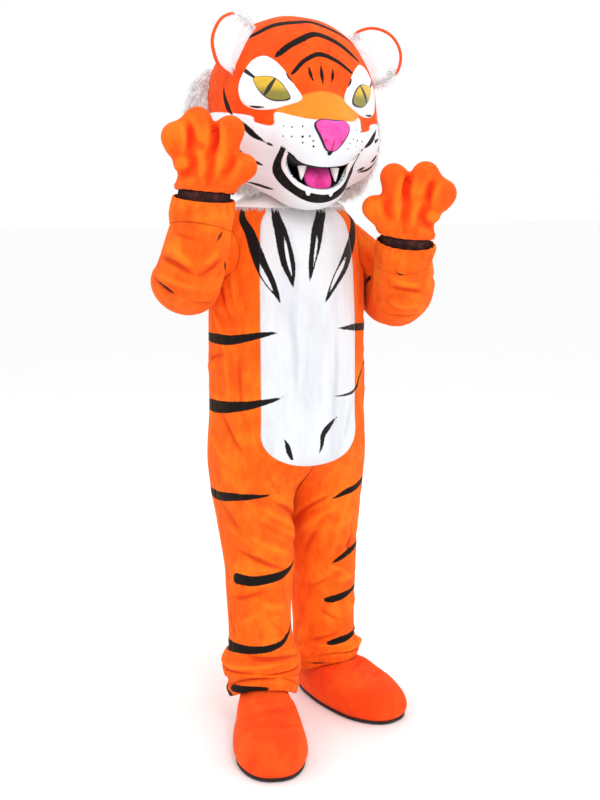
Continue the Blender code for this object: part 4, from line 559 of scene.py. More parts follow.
# Black marks on the head, as turn from the front in degrees, height and half width.
# Those of the first group have a mirror image on the wearer's left
HEAD_MARKS = {
    "crown_arch": (
        (-66, 0.150, 0.0040), (-58, 0.166, 0.0080), (-45, 0.184, 0.0098), (-20, 0.194, 0.0104),
        (0, 0.199, 0.0106), (20, 0.192, 0.0100), (44, 0.176, 0.0088), (58, 0.154, 0.0010),
    ),
    "brow_arch": (
        (-34, 0.104, 0.0010), (-31, 0.114, 0.0078), (-21, 0.139, 0.0088), (0, 0.166, 0.0092),
        (24, 0.150, 0.0084), (40, 0.124, 0.0066), (44, 0.114, 0.0010),
    ),
    "nose_arch": (
        (-21.5, 0.060, 0.0008), (-19, 0.070, 0.0050), (-12, 0.098, 0.0058), (0, 0.117, 0.0068),
        (14.6, 0.105, 0.0062), (25, 0.084, 0.0050), (28, 0.078, 0.0008),
    ),
    "back_arch_low": (
        (132, 0.060, 0.0008), (150, 0.082, 0.0080), (180, 0.092, 0.0100), (210, 0.082, 0.0080),
        (228, 0.060, 0.0008),
    ),
    "back_arch_high": (
        (128, 0.130, 0.0008), (150, 0.146, 0.0080), (180, 0.152, 0.0095), (210, 0.146, 0.0080),
        (232, 0.130, 0.0008),
    ),
    "back_arch_neck": (
        (140, -0.012, 0.0008), (158, 0.010, 0.0080), (180, 0.018, 0.0090), (202, 0.010, 0.0080),
        (220, -0.012, 0.0008),
    ),
    "forehead_left_stroke": ((9.0, 0.086, 0.0006), (8.2, 0.066, 0.0044), (6.0, 0.046, 0.0006)),
    "forehead_right_stroke": ((-9.0, 0.086, 0.0006), (-8.2, 0.066, 0.0044), (-6.0, 0.046, 0.0006)),
    "forehead_stroke": ((0.0, 0.090, 0.0006), (0.0, 0.066, 0.0050), (0.0, 0.040, 0.0006)),
}
CHEEK_MARKS = {
    "cheek_top": ((72.8, 0.036, 0.0008), (70, 0.005, 0.0058), (65, -0.022, 0.0066), (60.0, -0.040, 0.0010)),
    "cheek_upper": ((56, -0.048, 0.0008), (49, -0.070, 0.0068), (43, -0.089, 0.0070), (35.5, -0.105, 0.0010)),
    "cheek_dash": ((35.6, -0.107, 0.0008), (32.5, -0.110, 0.0034), (29.0, -0.114, 0.0006)),
    "cheek_back_dash": ((66.0, -0.086, 0.0010), (62.0, -0.098, 0.0062), (59.0, -0.108, 0.0010)),
    "cheek_middle": ((59.5, -0.113, 0.0010), (55, -0.126, 0.0064), (50.5, -0.137, 0.0008)),
    "cheek_tip": ((47.0, -0.148, 0.0008), (43, -0.155, 0.0046), (38.0, -0.162, 0.0006)),
    "cheek_low": ((61.0, -0.202, 0.0014), (50, -0.207, 0.0062), (40, -0.214, 0.0052), (30.0, -0.220, 0.0006)),
    "ear_side": ((96, 0.040, 0.0008), (100, 0.000, 0.0080), (104, -0.050, 0.0080), (107, -0.090, 0.0008)),
}
# Further marks on the wearer's left cheek
LEFT_CHEEK_MARKS = {
    "side_long": ((74.0, 0.050, 0.0010), (71.0, 0.010, 0.0056), (66.0, -0.030, 0.0064), (60.0, -0.066, 0.0010)),
    "side_dash": ((58.0, -0.074, 0.0030), (51.5, -0.083, 0.0046)),
    "side_middle": ((64.0, -0.118, 0.0010), (59.9, -0.136, 0.0046), (53.2, -0.153, 0.0056), (40.5, -0.166, 0.0010)),
    "side_low": ((64.0, -0.176, 0.0010), (58.0, -0.190, 0.0046), (50.0, -0.203, 0.0040), (42.0, -0.212, 0.0008)),
}
# Ink ticks at the edges of the eyes
EYE_TICKS = {
    "lash": ((56.5, 0.073, 0.0056), (51.0, 0.062, 0.0046), (45.0, 0.049, 0.0026)),
    "inner": ((24.8, 0.066, 0.0010), (22.4, 0.055, 0.0042), (19.4, 0.042, 0.0020)),
    "lower": ((48.0, -0.0180, 0.0010), (43.0, -0.0205, 0.0030), (37.0, -0.0205, 0.0010)),
}
PUPIL = ((31.2, 0.048, 0.0020), (33.4, 0.034, 0.0050), (35.4, 0.020, 0.0054), (38.2, 0.004, 0.0020))
# Whisker dots at the wearer's right, mirrored to the left: across, height and radius
WHISKER_DOTS = (
    (-0.104, -0.066, 0.0012), (-0.091, -0.069, 0.0016), (-0.071, -0.067, 0.0015),
    (-0.106, -0.091, 0.0013), (-0.092, -0.092, 0.0014), (-0.072, -0.092, 0.0020),
    (-0.057, -0.090, 0.0015), (-0.048, -0.101, 0.0015), (-0.070, -0.106, 0.0015), (-0.045, -0.114, 0.0018),
)
EAR_CENTRE = Vector((0.188, -0.082, 0.136))
EAR_HALF_WIDTH = 0.080
EAR_HALF_HEIGHT = 0.078
# The part of each ear's rim that is orange: its middle, clockwise from the top as the face
# is seen, and its reach to either side in degrees
EAR_RIM_MIDDLE = {RIGHT: math.radians(-67), LEFT: math.radians(18)}
EAR_RIM_REACH = 78
EAR_TUFTS = 3600
EAR_TURN = math.radians(25)
EAR_LEAN = math.radians(24)
NECK_FUR = 0.005
NECK_FUR_LIFT = 0.004

RuffPoint = namedtuple("RuffPoint", "x y z half_width standing")
RUFF = (
    RuffPoint(0.196, 0.062, 0.080, 0.016, 0.020),
    RuffPoint(0.222, 0.060, 0.030, 0.034, 0.040),
    RuffPoint(0.226, 0.052, -0.035, 0.044, 0.050),
    RuffPoint(0.214, 0.036, -0.100, 0.048, 0.052),
    RuffPoint(0.176, 0.000, -0.165, 0.044, 0.046),
    RuffPoint(0.136, -0.046, -0.198, 0.026, 0.026),
    RuffPoint(0.108, -0.074, -0.208, 0.010, 0.012),
)

# Mitts, in a frame at the wrist: x towards the thumb, y out of the back, z along the hand
Finger = namedtuple("Finger", "root_x root_z tip_x tip_y tip_z radius")
FINGERS = (
    Finger(-0.044, 0.082, -0.076, -0.020, 0.142, 0.041),
    Finger(-0.016, 0.092, -0.028, -0.012, 0.182, 0.040),
    Finger(0.034, 0.088, 0.052, -0.012, 0.170, 0.039),
    Finger(0.046, 0.040, 0.092, -0.016, 0.086, 0.036),
)
MITT_HEM_RISE = 0.016
MITT_HEM_SLOPE = 0.16
METABALL_SHARE = 0.575
# Creases sewn and worn into a mitt, in its frame: y is the side, -1 at the palm and 1 at the back
MittCrease = namedtuple("MittCrease", "x0 z0 x1 z1 y width depth")
MITT_CREASES = (
    MittCrease(0.012, 0.190, 0.010, 0.104, -1, 0.0085, -0.0150),
    MittCrease(0.010, 0.112, 0.004, 0.022, -1, 0.0095, -0.0090),
    MittCrease(0.030, 0.112, 0.022, 0.050, -1, 0.0100, 0.0040),
    MittCrease(-0.050, 0.186, -0.040, 0.104, -1, 0.0080, -0.0130),
    MittCrease(-0.038, 0.112, -0.032, 0.066, -1, 0.0090, -0.0080),
    MittCrease(-0.028, 0.072, -0.076, 0.050, -1, 0.0080, -0.0080),
    MittCrease(-0.040, 0.130, 0.000, 0.124, -1, 0.0090, -0.0040),
    MittCrease(-0.062, 0.100, -0.060, 0.070, -1, 0.0160, 0.0060),
    MittCrease(0.066, 0.124, 0.034, 0.052, -1, 0.0095, -0.0095),
    MittCrease(0.030, 0.058, 0.024, 0.020, -1, 0.0070, -0.0046),
    MittCrease(-0.014, 0.054, -0.020, 0.020, -1, 0.0070, -0.0040),
    MittCrease(-0.020, 0.104, -0.006, 0.056, -1, 0.0120, 0.0040),
    MittCrease(0.012, 0.190, 0.012, 0.098, 1, 0.0080, -0.0130),
    MittCrease(-0.050, 0.186, -0.040, 0.100, 1, 0.0080, -0.0120),
    MittCrease(0.066, 0.124, 0.038, 0.060, 1, 0.0090, -0.0090),
    MittCrease(-0.030, 0.080, 0.020, 0.084, 1, 0.0080, -0.0040),
    MittCrease(-0.020, 0.054, 0.010, 0.048, 1, 0.0070, -0.0034),
)
BandRing = namedtuple("BandRing", "height radius")
BAND_RINGS = (BandRing(-0.004, 0.0650), BandRing(0.014, 0.0645), BandRing(0.034, 0.0550))
BAND_END = {RIGHT: BandRing(-0.032, 0.0630), LEFT: BandRing(-0.032, 0.0700)}

SHOE_TURN = {RIGHT: math.radians(-20), LEFT: math.radians(16)}
SHOE_AHEAD = {RIGHT: 0.012, LEFT: -0.026}
ANKLE = {RIGHT: Vector((-0.168, -0.186, 0)), LEFT: Vector((0.090, -0.068, 0))}
SHOE_TOE = 0.300
SHOE_HEEL = 0.068
TOE_HALF_WIDTH = 0.094
HEEL_HALF_WIDTH = 0.066
SOLE_THICKNESS = 0.010
ANKLE_HOLE = 0.058
ShoeRing = namedtuple("ShoeRing", "height inward swell")
SHOE_RINGS = (
    ShoeRing(0.0103, 0.00, 0.000),
    ShoeRing(0.0300, 0.00, 0.006),
    ShoeRing(0.0520, 0.02, 0.004),
    ShoeRing(0.0720, 0.09, 0.000),
    ShoeRing(0.0860, 0.22, 0.000),
    ShoeRing(0.0950, 0.42, 0.000),
    ShoeRing(0.1040, 0.68, 0.000),
    ShoeRing(0.1180, 0.92, 0.000),
    ShoeRing(0.1350, 1.00, 0.000),
)


# Numbers on arrays


def smooth(value, low, high):
    """0 at low, 1 at high, with a soft start and end."""
    share = np.clip((value - low) / (high - low), 0, 1)
    return share * share * (3 - 2 * share)


def column(rows, key, field):
    """A table's column as a smooth curve that never overshoots its values."""
    ordered = sorted(rows, key=lambda row: getattr(row, key))
    keys = np.array([getattr(row, key) for row in ordered], float)
    values = np.array([getattr(row, field) for row in ordered], float)
    steps = np.diff(values) / np.diff(keys)
    slope = np.zeros(len(values))
    slope[0], slope[-1] = steps[0], steps[-1]
    for i in range(1, len(values) - 1):
        before, after = steps[i - 1], steps[i]
        if before * after > 0:
            slope[i] = 2 * before * after / (before + after)

    def read(at):
        at = np.clip(at, keys[0], keys[-1])
        i = np.clip(np.searchsorted(keys, at, side="right") - 1, 0, len(keys) - 2)
        span = keys[i + 1] - keys[i]
        u = (at - keys[i]) / span
        return (
            (2 * u**3 - 3 * u**2 + 1) * values[i]
            + (u**3 - 2 * u**2 + u) * span * slope[i]
            + (3 * u**2 - 2 * u**3) * values[i + 1]
            + (u**3 - u**2) * span * slope[i + 1]
        )

    return read


def unit(vectors):
    return vectors / np.maximum(np.linalg.norm(vectors, axis=-1, keepdims=True), 1e-12)


def through(points, per_span, closed=False):
    """A smooth curve through rows of numbers, with per_span steps between each two."""
    points = np.asarray(points, float)
    count = len(points)
    found = []
    for i in range(count if closed else count - 1):
        if closed:
            a, b, c, d = (points[(i + k) % count] for k in (-1, 0, 1, 2))
        else:
            a, b, c, d = (points[min(max(i + k, 0), count - 1)] for k in (-1, 0, 1, 2))
        for step in range(per_span):
            u = step / per_span
            found.append(b + 0.5 * u * (c - a + u * (2 * a - 5 * b + 4 * c - d + u * (3 * b - a - 3 * c + d))))
    if not closed:
        found.append(points[-1])
    return np.array(found)


def to_line(points, line):
    """For each point, how far it lies outside a line of places whose last column is a half width."""
    nearest = np.full(len(points), 1.0)
    for start, end in zip(line[:-1], line[1:]):
        a, b = start[:-1], end[:-1]
        run = b - a
        share = np.clip((points - a) @ run / max(run @ run, 1e-12), 0, 1)
        gap = np.linalg.norm(points - a - share[:, None] * run, axis=1)
        nearest = np.minimum(nearest, gap - (start[-1] + (end[-1] - start[-1]) * share))
    return nearest


def to_outline(points, outline):
    """Signed distance from flat points to a closed outline, negative inside."""
    outline = np.asarray(outline, float)
    nearest = np.full(len(points), 1.0)
    inside = np.zeros(len(points), bool)
    for a, b in zip(outline, np.roll(outline, -1, axis=0)):
        run = b - a
        share = np.clip((points - a) @ run / max(run @ run, 1e-12), 0, 1)
        nearest = np.minimum(nearest, np.linalg.norm(points - a - share[:, None] * run, axis=1))
        crosses = (a[1] > points[:, 1]) != (b[1] > points[:, 1])
        where = a[0] + (points[:, 1] - a[1]) / (run[1] if run[1] else 1e-12) * run[0]
        inside ^= crosses & (points[:, 0] < where)
    return np.where(inside, -nearest, nearest)


def outline_foot(points, outline):
    """The nearest places on a closed outline."""
    outline = np.asarray(outline, float)
    best = np.full(len(points), 9.0)
    foot = points.copy()
    for a, b in zip(outline, np.roll(outline, -1, axis=0)):
        run = b - a
        share = np.clip((points - a) @ run / max(run @ run, 1e-12), 0, 1)
        place = a + share[:, None] * run
        gap = np.linalg.norm(points - place, axis=1)
        nearer = gap < best
        best[nearer] = gap[nearer]
        foot[nearer] = place[nearer]
    return foot


# Cloth as meshes: a grid primitive whose points are set out on the form


def cloth(name, rows, wraps=False, middle=None, **kept):
    """A sheet of cloth from rows of places, joined to a tube where it wraps, facing away from middle.

    Each further value is a number for each place, which the materials read by its name."""
    rows = np.asarray(rows, float)
    if wraps:
        rows = np.concatenate([rows, rows[:, :1]], axis=1)
        kept = {key: np.concatenate([values, values[:, :1]], axis=1) for key, values in kept.items()}
    down, across = rows.shape[:2]
    bpy.ops.object.select_all(action="DESELECT")
    bpy.ops.mesh.primitive_grid_add(x_subdivisions=across - 1, y_subdivisions=down - 1, size=1)
    made = bpy.context.object
    made.name = name
    made.data.name = name
    mesh = made.data
    start = np.zeros(len(mesh.vertices) * 3)
    mesh.vertices.foreach_get("co", start)
    start = start.reshape(-1, 3)
    j = np.rint((start[:, 0] + 0.5) * (across - 1)).astype(int)
    i = np.rint((start[:, 1] + 0.5) * (down - 1)).astype(int)
    mesh.vertices.foreach_set("co", rows[i, j].ravel())
    mesh.update()
    for key, values in kept.items():
        keep(made, key, values[i, j])
    if wraps or np.ptp(rows[0], axis=0).max() < 1e-6 or np.ptp(rows[-1], axis=0).max() < 1e-6:
        form = bmesh.new()
        form.from_mesh(mesh)
        bmesh.ops.remove_doubles(form, verts=form.verts, dist=1e-6)
        form.to_mesh(mesh)
        form.free()
    if middle is not None:
        face_out(made, middle)
    mesh.shade_smooth()
    return made


def face_out(made, middle):
    mesh = made.data
    mesh.update()
    count = len(mesh.polygons)
    normals, centres = np.zeros(count * 3), np.zeros(count * 3)
    mesh.polygons.foreach_get("normal", normals)
    mesh.polygons.foreach_get("center", centres)
    areas = np.zeros(count)
    mesh.polygons.foreach_get("area", areas)
    away = centres.reshape(-1, 3) - np.asarray(middle, float)
    if (unit(away) * normals.reshape(-1, 3)).sum(axis=1) @ areas < 0:
        mesh.flip_normals()


def places(made):
    found = np.zeros(len(made.data.vertices) * 3)
    made.data.vertices.foreach_get("co", found)
    return found.reshape(-1, 3)


def put(made, points):
    made.data.vertices.foreach_set("co", np.asarray(points, float).ravel())
    made.data.update()


def normals_of(made):
    found = np.zeros(len(made.data.vertices) * 3)
    made.data.vertex_normals.foreach_get("vector", found)
    return found.reshape(-1, 3)


def keep(made, name, values):
    """Keeps a number for each point, which the materials read."""
    layer = made.data.attributes.get(name) or made.data.attributes.new(name, "FLOAT", "POINT")
    layer.data.foreach_set("value", np.asarray(values, np.float32))


def thicken(made, thickness):
    """Gives the cloth its wall, inwards."""
    bpy.ops.object.select_all(action="DESELECT")
    bpy.context.view_layer.objects.active = made
    made.select_set(True)
    wall = made.modifiers.new("wall", "SOLIDIFY")
    wall.thickness = thickness
    wall.offset = -1
    bpy.ops.object.modifier_apply(modifier="wall")


def settle(made, nodes, finish):
    """Gives the piece its finish, hangs it on the root body and hides the solids it stands for."""
    made.data.materials.clear()
    made.data.materials.append(finish)
    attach(made, "root")
    if nodes:
        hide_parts(*nodes)


def girth(rows, wraps=False):
    """The longest way across and down a grid of places, and its area."""
    rows = np.asarray(rows, float)
    closed = np.concatenate([rows, rows[:, :1]], axis=1) if wraps else rows
    across = np.linalg.norm(np.diff(closed, axis=1), axis=2).sum(axis=1).max()
    down = np.linalg.norm(np.diff(rows, axis=0), axis=2).sum(axis=0).max()
    first = closed[:-1, 1:] - closed[:-1, :-1]
    second = closed[1:, :-1] - closed[:-1, :-1]
    area = np.linalg.norm(np.cross(first, second), axis=2).sum()
    return float(across), float(down), float(area)


def declare_cloth(rows, wraps=False):
    across, down, area = girth(rows, wraps)


# The suit's body, in arrays


TORSO_WIDTH, TORSO_DEPTH = (column(TORSO, "height", f) for f in ("half_width", "half_depth"))
LEG_FORM = {
    side: [column(LEGS[side], "height", f) for f in ("x", "y", "half_width", "half_depth")]
    for side in (RIGHT, LEFT)
}


def fold_depth(side, share, height):
    total = np.zeros_like(share)
    for fold in FOLDS:
        if fold.side == side:
            line = fold.height + fold.tilt * (share - fold.share) * 0.3
            across = (height - line) / fold.width
            away = (share - fold.share) / fold.reach
            total += fold.depth * np.exp(-across * across - away * away * 3)
    return total


def crease_depth(side, share, height):
    """The creases' rise or fall: soft ridges and troughs, uneven along their length."""
    total = np.zeros_like(share)
    for k, crease in enumerate(CREASES):
        if crease.side != side:
            continue
        run = (share * HALF_GIRTH) - crease.across
        rise = height - crease.height
        turn = math.radians(crease.turn)
        along = run * math.cos(turn) + rise * math.sin(turn)
        across = -run * math.sin(turn) + rise * math.cos(turn)
        across = across + 0.10 * along * np.sin(along / crease.length * 5 + k) * 0.5
        fade = np.exp(-((along / (crease.length * 0.42)) ** 2) ** 1.5)
        shape = np.exp(-((across / crease.width) ** 2))
        shoulder = np.exp(-(((across - 2.1 * crease.width) / (1.5 * crease.width)) ** 2))
        total += CREASE_GAIN * crease.depth * fade * (shape - 0.42 * shoulder)
    return total


def suit_point(side, share, height):
    a, b = TORSO_WIDTH(height), TORSO_DEPTH(height)
    angle = np.pi * share
    torso = np.stack([side * a * np.sin(angle), -b * np.cos(angle)], axis=-1)
    x, y, ra, rb = (form(height) for form in LEG_FORM[side])
    turn = 2 * np.pi * share
    leg = np.stack([x - side * ra * np.cos(turn), y - rb * np.sin(turn)], axis=-1)
    legness = smooth(height, HIP_HEIGHT, CROTCH_HEIGHT)[..., None]
    flat = torso * (1 - legness) + leg * legness
    middle = np.stack([x, y], axis=-1) * legness
    away = unit(flat - middle)
    flat = flat + away * (fold_depth(side, share, height) + crease_depth(side, share, height))[..., None]
    return np.concatenate([flat, height[..., None]], axis=-1)


def suit_normal(side, share, height):
    e_share, e_height = 0.006, 0.003
    run = suit_point(side, share + e_share, height) - suit_point(side, share - e_share, height)
    rise = suit_point(side, share, height + e_height) - suit_point(side, share, height - e_height)
    return unit(np.cross(rise, run) * -side)


def belly_share(height):
    down = np.clip((BELLY_ROUND_HEIGHT - height) / (BELLY_ROUND_HEIGHT - BELLY_TIP_HEIGHT), 0, 1)
    return BELLY_SHARE * np.sqrt(1 - down * down)


def armhole_gap(height):
    up = (height - ARMHOLE_HEIGHT) / ARMHOLE_HALF_HEIGHT
    return ARMHOLE_SHARE * np.sqrt(np.clip(1 - up * up, 0, 1))


def node_tree(name):
    mesh = bpy.data.objects[name].data
    return BVHTree.FromPolygons([v.co for v in mesh.vertices], [p.vertices for p in mesh.polygons])


def hem_lifts(side):
    """How far the hem rises at each share round the leg, so that it lies on the shoe."""
    shoe = node_tree(f"shoe_upper_{SIDE_NAME[side]}")
    hem = LEGS[side][-1].height
    share = np.arange(HEM_SAMPLES) / HEM_SAMPLES
    height = np.full(HEM_SAMPLES, hem)
    outer, normal = suit_point(side, share, height), suit_normal(side, share, height)
    needed = []
    for point, away in zip(outer, normal):
        highest = hem
        for depth in (0.0, 0.004, 0.008):
            spot = point - away * depth
            hit = shoe.ray_cast(Vector((spot[0], spot[1], 0.5 - SHOULDER_HEIGHT)), Vector((0, 0, -1)))[0]
            if hit is not None:
                highest = max(highest, hit.z + SHOULDER_HEIGHT + 0.002)
        needed.append(highest - hem)
    lifts = needed
    for _ in range(HEM_SAMPLES):
        lifts = [
            max(needed[i], (lifts[i - 1] + 2 * lifts[i] + lifts[(i + 1) % HEM_SAMPLES]) / 4)
            for i in range(HEM_SAMPLES)
        ]
    return np.array(lifts)


def hem_lift(side, share, height, lifts):
    hem = LEGS[side][-1].height
    at = (share % 1) * HEM_SAMPLES
    i = at.astype(int) % HEM_SAMPLES
    rise = lifts[i] + (lifts[(i + 1) % HEM_SAMPLES] - lifts[i]) * (at - np.floor(at))
    return rise * smooth(height, hem + HEM_REACH, hem)


def suit_rows(side, start, end, heights, columns, lifts=None, sunk=0.0):
    """Rows of a panel between two shares that vary with height, in the costume's frame."""
    low, high = start(heights), end(heights)
    step = np.linspace(0, 1, columns + 1)
    share = low[:, None] + (high - low)[:, None] * step[None, :]
    height = np.repeat(heights[:, None], columns + 1, axis=1)
    point = suit_point(side, share, height)
    edge = np.minimum(step, 1 - step)[None, :] * (high - low)[:, None] * HALF_GIRTH
    normal = suit_normal(side, share, height)
    dip = SEAM_DIP * np.exp(-((edge / 0.0045) ** 2)) + sunk
    point = point - normal * dip[..., None]
    if lifts is not None:
        point[..., 2] += hem_lift(side, share, height, lifts)
        above = height > LEGS_PART_HEIGHT
        point[..., 0] = np.where(above, side * np.maximum(side * point[..., 0], SEAM / 2), point[..., 0])
    point[..., 2] -= SHOULDER_HEIGHT
    hollow = -crease_depth(side, share, height) - 0.5 * fold_depth(side, share, height)
    return point, hollow


def stripe_lines(table):
    lines = []
    for stripe in table.values():
        fine = through(stripe, 6)
        points = []
        for share, height, half in fine:
            side = RIGHT if share < 0 else LEFT
            place = suit_point(side, np.array([abs(share)]), np.array([height]))[0]
            points.append((place[0], place[1], place[2] - SHOULDER_HEIGHT, half))
        lines.append(np.array(points))
    return lines


def nearest_mark(points, lines):
    """Distance to the nearest of several lines, each tested only near its own box."""
    found = np.full(len(points), 0.05)
    for line in lines:
        low, high = line[:, :3].min(axis=0) - 0.05, line[:, :3].max(axis=0) + 0.05
        near = np.all((points > low) & (points < high), axis=1)
        if near.any():
            found[near] = np.minimum(found[near], to_line(points[near], line))
    return found


# Finishes: each is a node tree that reads Object coordinates and the pieces' own numbers


class Finish:
    """A material under way: its node tree, with short ways to add to it."""

    def __init__(self, name, roughness=0.9, sheen=0.0, sheen_tint=(1, 1, 1), specular=0.2):
        self.material = bpy.data.materials.new(name)
        self.material.use_nodes = True
        self.tree = self.material.node_tree
        self.shader = self.tree.nodes["Principled BSDF"]
        self.shader.inputs["Roughness"].default_value = roughness
        self.shader.inputs["Sheen Weight"].default_value = sheen
        self.shader.inputs["Sheen Roughness"].default_value = 0.45
        self.shader.inputs["Sheen Tint"].default_value = (*sheen_tint, 1)
        self.shader.inputs["Specular IOR Level"].default_value = specular
        self.place = self.tree.nodes.new("ShaderNodeTexCoord").outputs["Object"]
        self.height = None

    def link(self, source, socket):
        if isinstance(source, bpy.types.NodeSocket):
            self.tree.links.new(source, socket)
        elif isinstance(source, (tuple, list)) and len(socket.default_value) == 4:
            socket.default_value = (*source, 1)
        else:
            socket.default_value = source

    def noise(self, scale, detail=3.0, roughness=0.55, stretch=None):
        node = self.tree.nodes.new("ShaderNodeTexNoise")
        place = self.place
        if stretch is not None:
            turned = self.tree.nodes.new("ShaderNodeMapping")
            turned.inputs["Scale"].default_value = stretch
            self.link(place, turned.inputs["Vector"])
            place = turned.outputs[0]
        self.link(place, node.inputs["Vector"])
        node.inputs["Scale"].default_value = scale
        node.inputs["Detail"].default_value = detail
        node.inputs["Roughness"].default_value = roughness
        return node.outputs[0]

    def sum(self, first, second, way="ADD"):
        node = self.tree.nodes.new("ShaderNodeMath")
        node.operation = way
        self.link(first, node.inputs[0])
        self.link(second, node.inputs[1])
        return node.outputs[0]

    def ramp(self, value, low, high, start=0.0, end=1.0):
        node = self.tree.nodes.new("ShaderNodeMapRange")
        node.interpolation_type = "SMOOTHSTEP"
        for socket, number in zip(("Value", "From Min", "From Max", "To Min", "To Max"),
                                  (value, low, high, start, end)):
            self.link(number, node.inputs[socket])
        return node.outputs[0]

    def mix(self, share, first, second):
        node = self.tree.nodes.new("ShaderNodeMix")
        node.data_type = "RGBA"
        self.link(share, node.inputs[0])
        self.link(first, node.inputs[6])
        self.link(second, node.inputs[7])
        return node.outputs[2]

    def kept(self, name):
        node = self.tree.nodes.new("ShaderNodeAttribute")
        node.attribute_name = name
        return node.outputs["Fac"]

    def raise_by(self, value, distance, strength=1.0):
        """Adds a layer of relief, in metres, over what is there."""
        node = self.tree.nodes.new("ShaderNodeBump")
        node.inputs["Distance"].default_value = distance
        node.inputs["Strength"].default_value = strength
        self.link(value, node.inputs["Height"])
        if self.height is not None:
            self.tree.links.new(self.height, node.inputs["Normal"])
        self.height = node.outputs[0]

    def done(self, colour, roughness=None):
        self.link(colour, self.shader.inputs["Base Color"])
        if roughness is not None:
            self.link(roughness, self.shader.inputs["Roughness"])
        if self.height is not None:
            self.tree.links.new(self.height, self.shader.inputs["Normal"])
        return self.material


ORANGE = (0.95, 0.125, 0.0045)
# A random tone of the plush, and also the painted highlight on the ridges of the suit's and mitts' folds
ORANGE_LIGHT = (1.0, 0.245, 0.012)
# A random tone of the plush, and also the painted shade in the troughs of the suit's folds
ORANGE_DEEP = (0.70, 0.040, 0.0020)
CROWN_ORANGE = (0.93, 0.078, 0.0050)
CROWN_DEEP = (0.66, 0.030, 0.0025)
BRIDGE_ORANGE = (0.96, 0.250, 0.020)
BRIDGE_LIGHT = (1.0, 0.36, 0.055)
MITT_ORANGE = (0.95, 0.092, 0.0040)
# Painted shade in the troughs of the mitts' creases and seams
MITT_FOLD_SHADE = (0.84, 0.030, 0.0020)
SHOE_RED = (0.93, 0.062, 0.0040)
# A random tone of the shoe covers, and also the painted highlight on the ridges of their folds
SHOE_LIGHT = (1.0, 0.125, 0.010)
SHOE_DEEP = (0.50, 0.016, 0.0020)
# Painted shade in the troughs of the shoe covers' folds
SHOE_FOLD_SHADE = (0.72, 0.034, 0.0030)
INK = (0.006, 0.005, 0.005)
WHITE = (0.90, 0.91, 0.93)
WHITE_SHADE = (0.66, 0.64, 0.68)
FUR_WHITE = (1.0, 1.0, 1.0)
BELLY_WHITE = (0.80, 0.83, 0.86)
BELLY_SHADE = (0.56, 0.58, 0.66)
# Painted shade: a lilac grey laid in soft patches over the ears' white fronts
LILAC_SHADE = (0.88, 0.81, 0.87)
# The face's white, tinted cyan as a painted offset to the orange light that the suit and mitts throw onto it
FACE_WHITE = (0.86, 0.93, 0.97)
CHEEK_SHADE = (0.80, 0.83, 0.92)
IRIS_GOLD = (0.74, 0.46, 0.012)
IRIS_OLIVE = (0.24, 0.215, 0.014)
PINK = (0.85, 0.055, 0.36)
PINK_LIGHT = (0.92, 0.110, 0.47)
# Also the painted shade in the nose's crease and nostril dips
PINK_DEEP = (0.55, 0.015, 0.17)


def pile(finish, length=0.0010, grain=620):
    """The nap of short plush: fine hairs brushed in patches, over a soft unevenness."""
    finish.raise_by(finish.noise(16, 3), 0.0030, 0.35)
    finish.raise_by(finish.noise(85, 4, 0.6, (1, 1, 0.55)), 0.0016, 0.55)
    finish.raise_by(finish.noise(grain, 2, 0.7, (1, 1, 0.40)), length, 0.85)


def marked(finish, colour, name="mark", tone=INK, fuzz=0.0042, sheer=0.0012):
    """Paints a mark whose edge is ragged with pile."""
    rough = finish.sum(finish.noise(210, 3, 0.6), 0.5, "SUBTRACT")
    edge = finish.sum(finish.kept(name), finish.sum(rough, fuzz, "MULTIPLY"))
    return finish.mix(finish.ramp(edge, sheer, -sheer), colour, tone)


def plush_colour(finish, base, light, deep, streaked=0.42):
    """Colour that drifts in brushed patches and streaks, with lighter tips."""
    patches = finish.ramp(finish.noise(11, 4, 0.6), 0.42, 0.66)
    colour = finish.mix(finish.sum(patches, 0.55, "MULTIPLY"), base, light)
    streaks = finish.ramp(finish.noise(46, 4, 0.62, (1, 1, 0.45)), 0.40, 0.70)
    colour = finish.mix(finish.sum(streaks, streaked, "MULTIPLY"), colour, deep)
    tips = finish.ramp(finish.noise(330, 2, 0.6, (1, 1, 0.5)), 0.52, 0.80)
    return finish.mix(finish.sum(tips, 0.30, "MULTIPLY"), colour, light)


# Painted shade and highlight: the colour turns to deep in the troughs of folds, creases and seams, by their depth, and
# to light on their ridges
def painted_fold_shading(finish, colour, light, deep, deepest=0.0048):
    hollow = finish.kept("hollow")
    colour = finish.mix(finish.ramp(hollow, 0.0002, deepest, 0.0, 0.90), colour, deep)
    return finish.mix(finish.ramp(hollow, -0.0004, -0.0050, 0.0, 0.60), colour, light)


def suit_plush():
    finish = Finish("suit_plush", 0.92, 0.12, (1.0, 0.45, 0.12))
    colour = plush_colour(finish, ORANGE, ORANGE_LIGHT, ORANGE_DEEP)
    # Painted shade in the troughs of the folds and creases, painted highlight on their ridges
    colour = painted_fold_shading(finish, colour, ORANGE_LIGHT, ORANGE_DEEP)
    pile(finish)
    return finish.done(marked(finish, colour))


def belly_plush():
    finish = Finish("belly_plush", 0.92, 0.30)
    shade = finish.ramp(finish.noise(16, 4, 0.6, (1, 1, 0.22)), 0.42, 0.72, 0.0, 0.55)
    colour = finish.mix(shade, BELLY_WHITE, BELLY_SHADE)
    colour = finish.mix(finish.ramp(finish.kept("hollow"), 0.0002, 0.005, 0.0, 0.8), colour, BELLY_SHADE)
    pile(finish, 0.0012)
    colour = marked(finish, colour)
    return finish.done(marked(finish, colour, "slit", BELLY_WHITE, 0.0030))


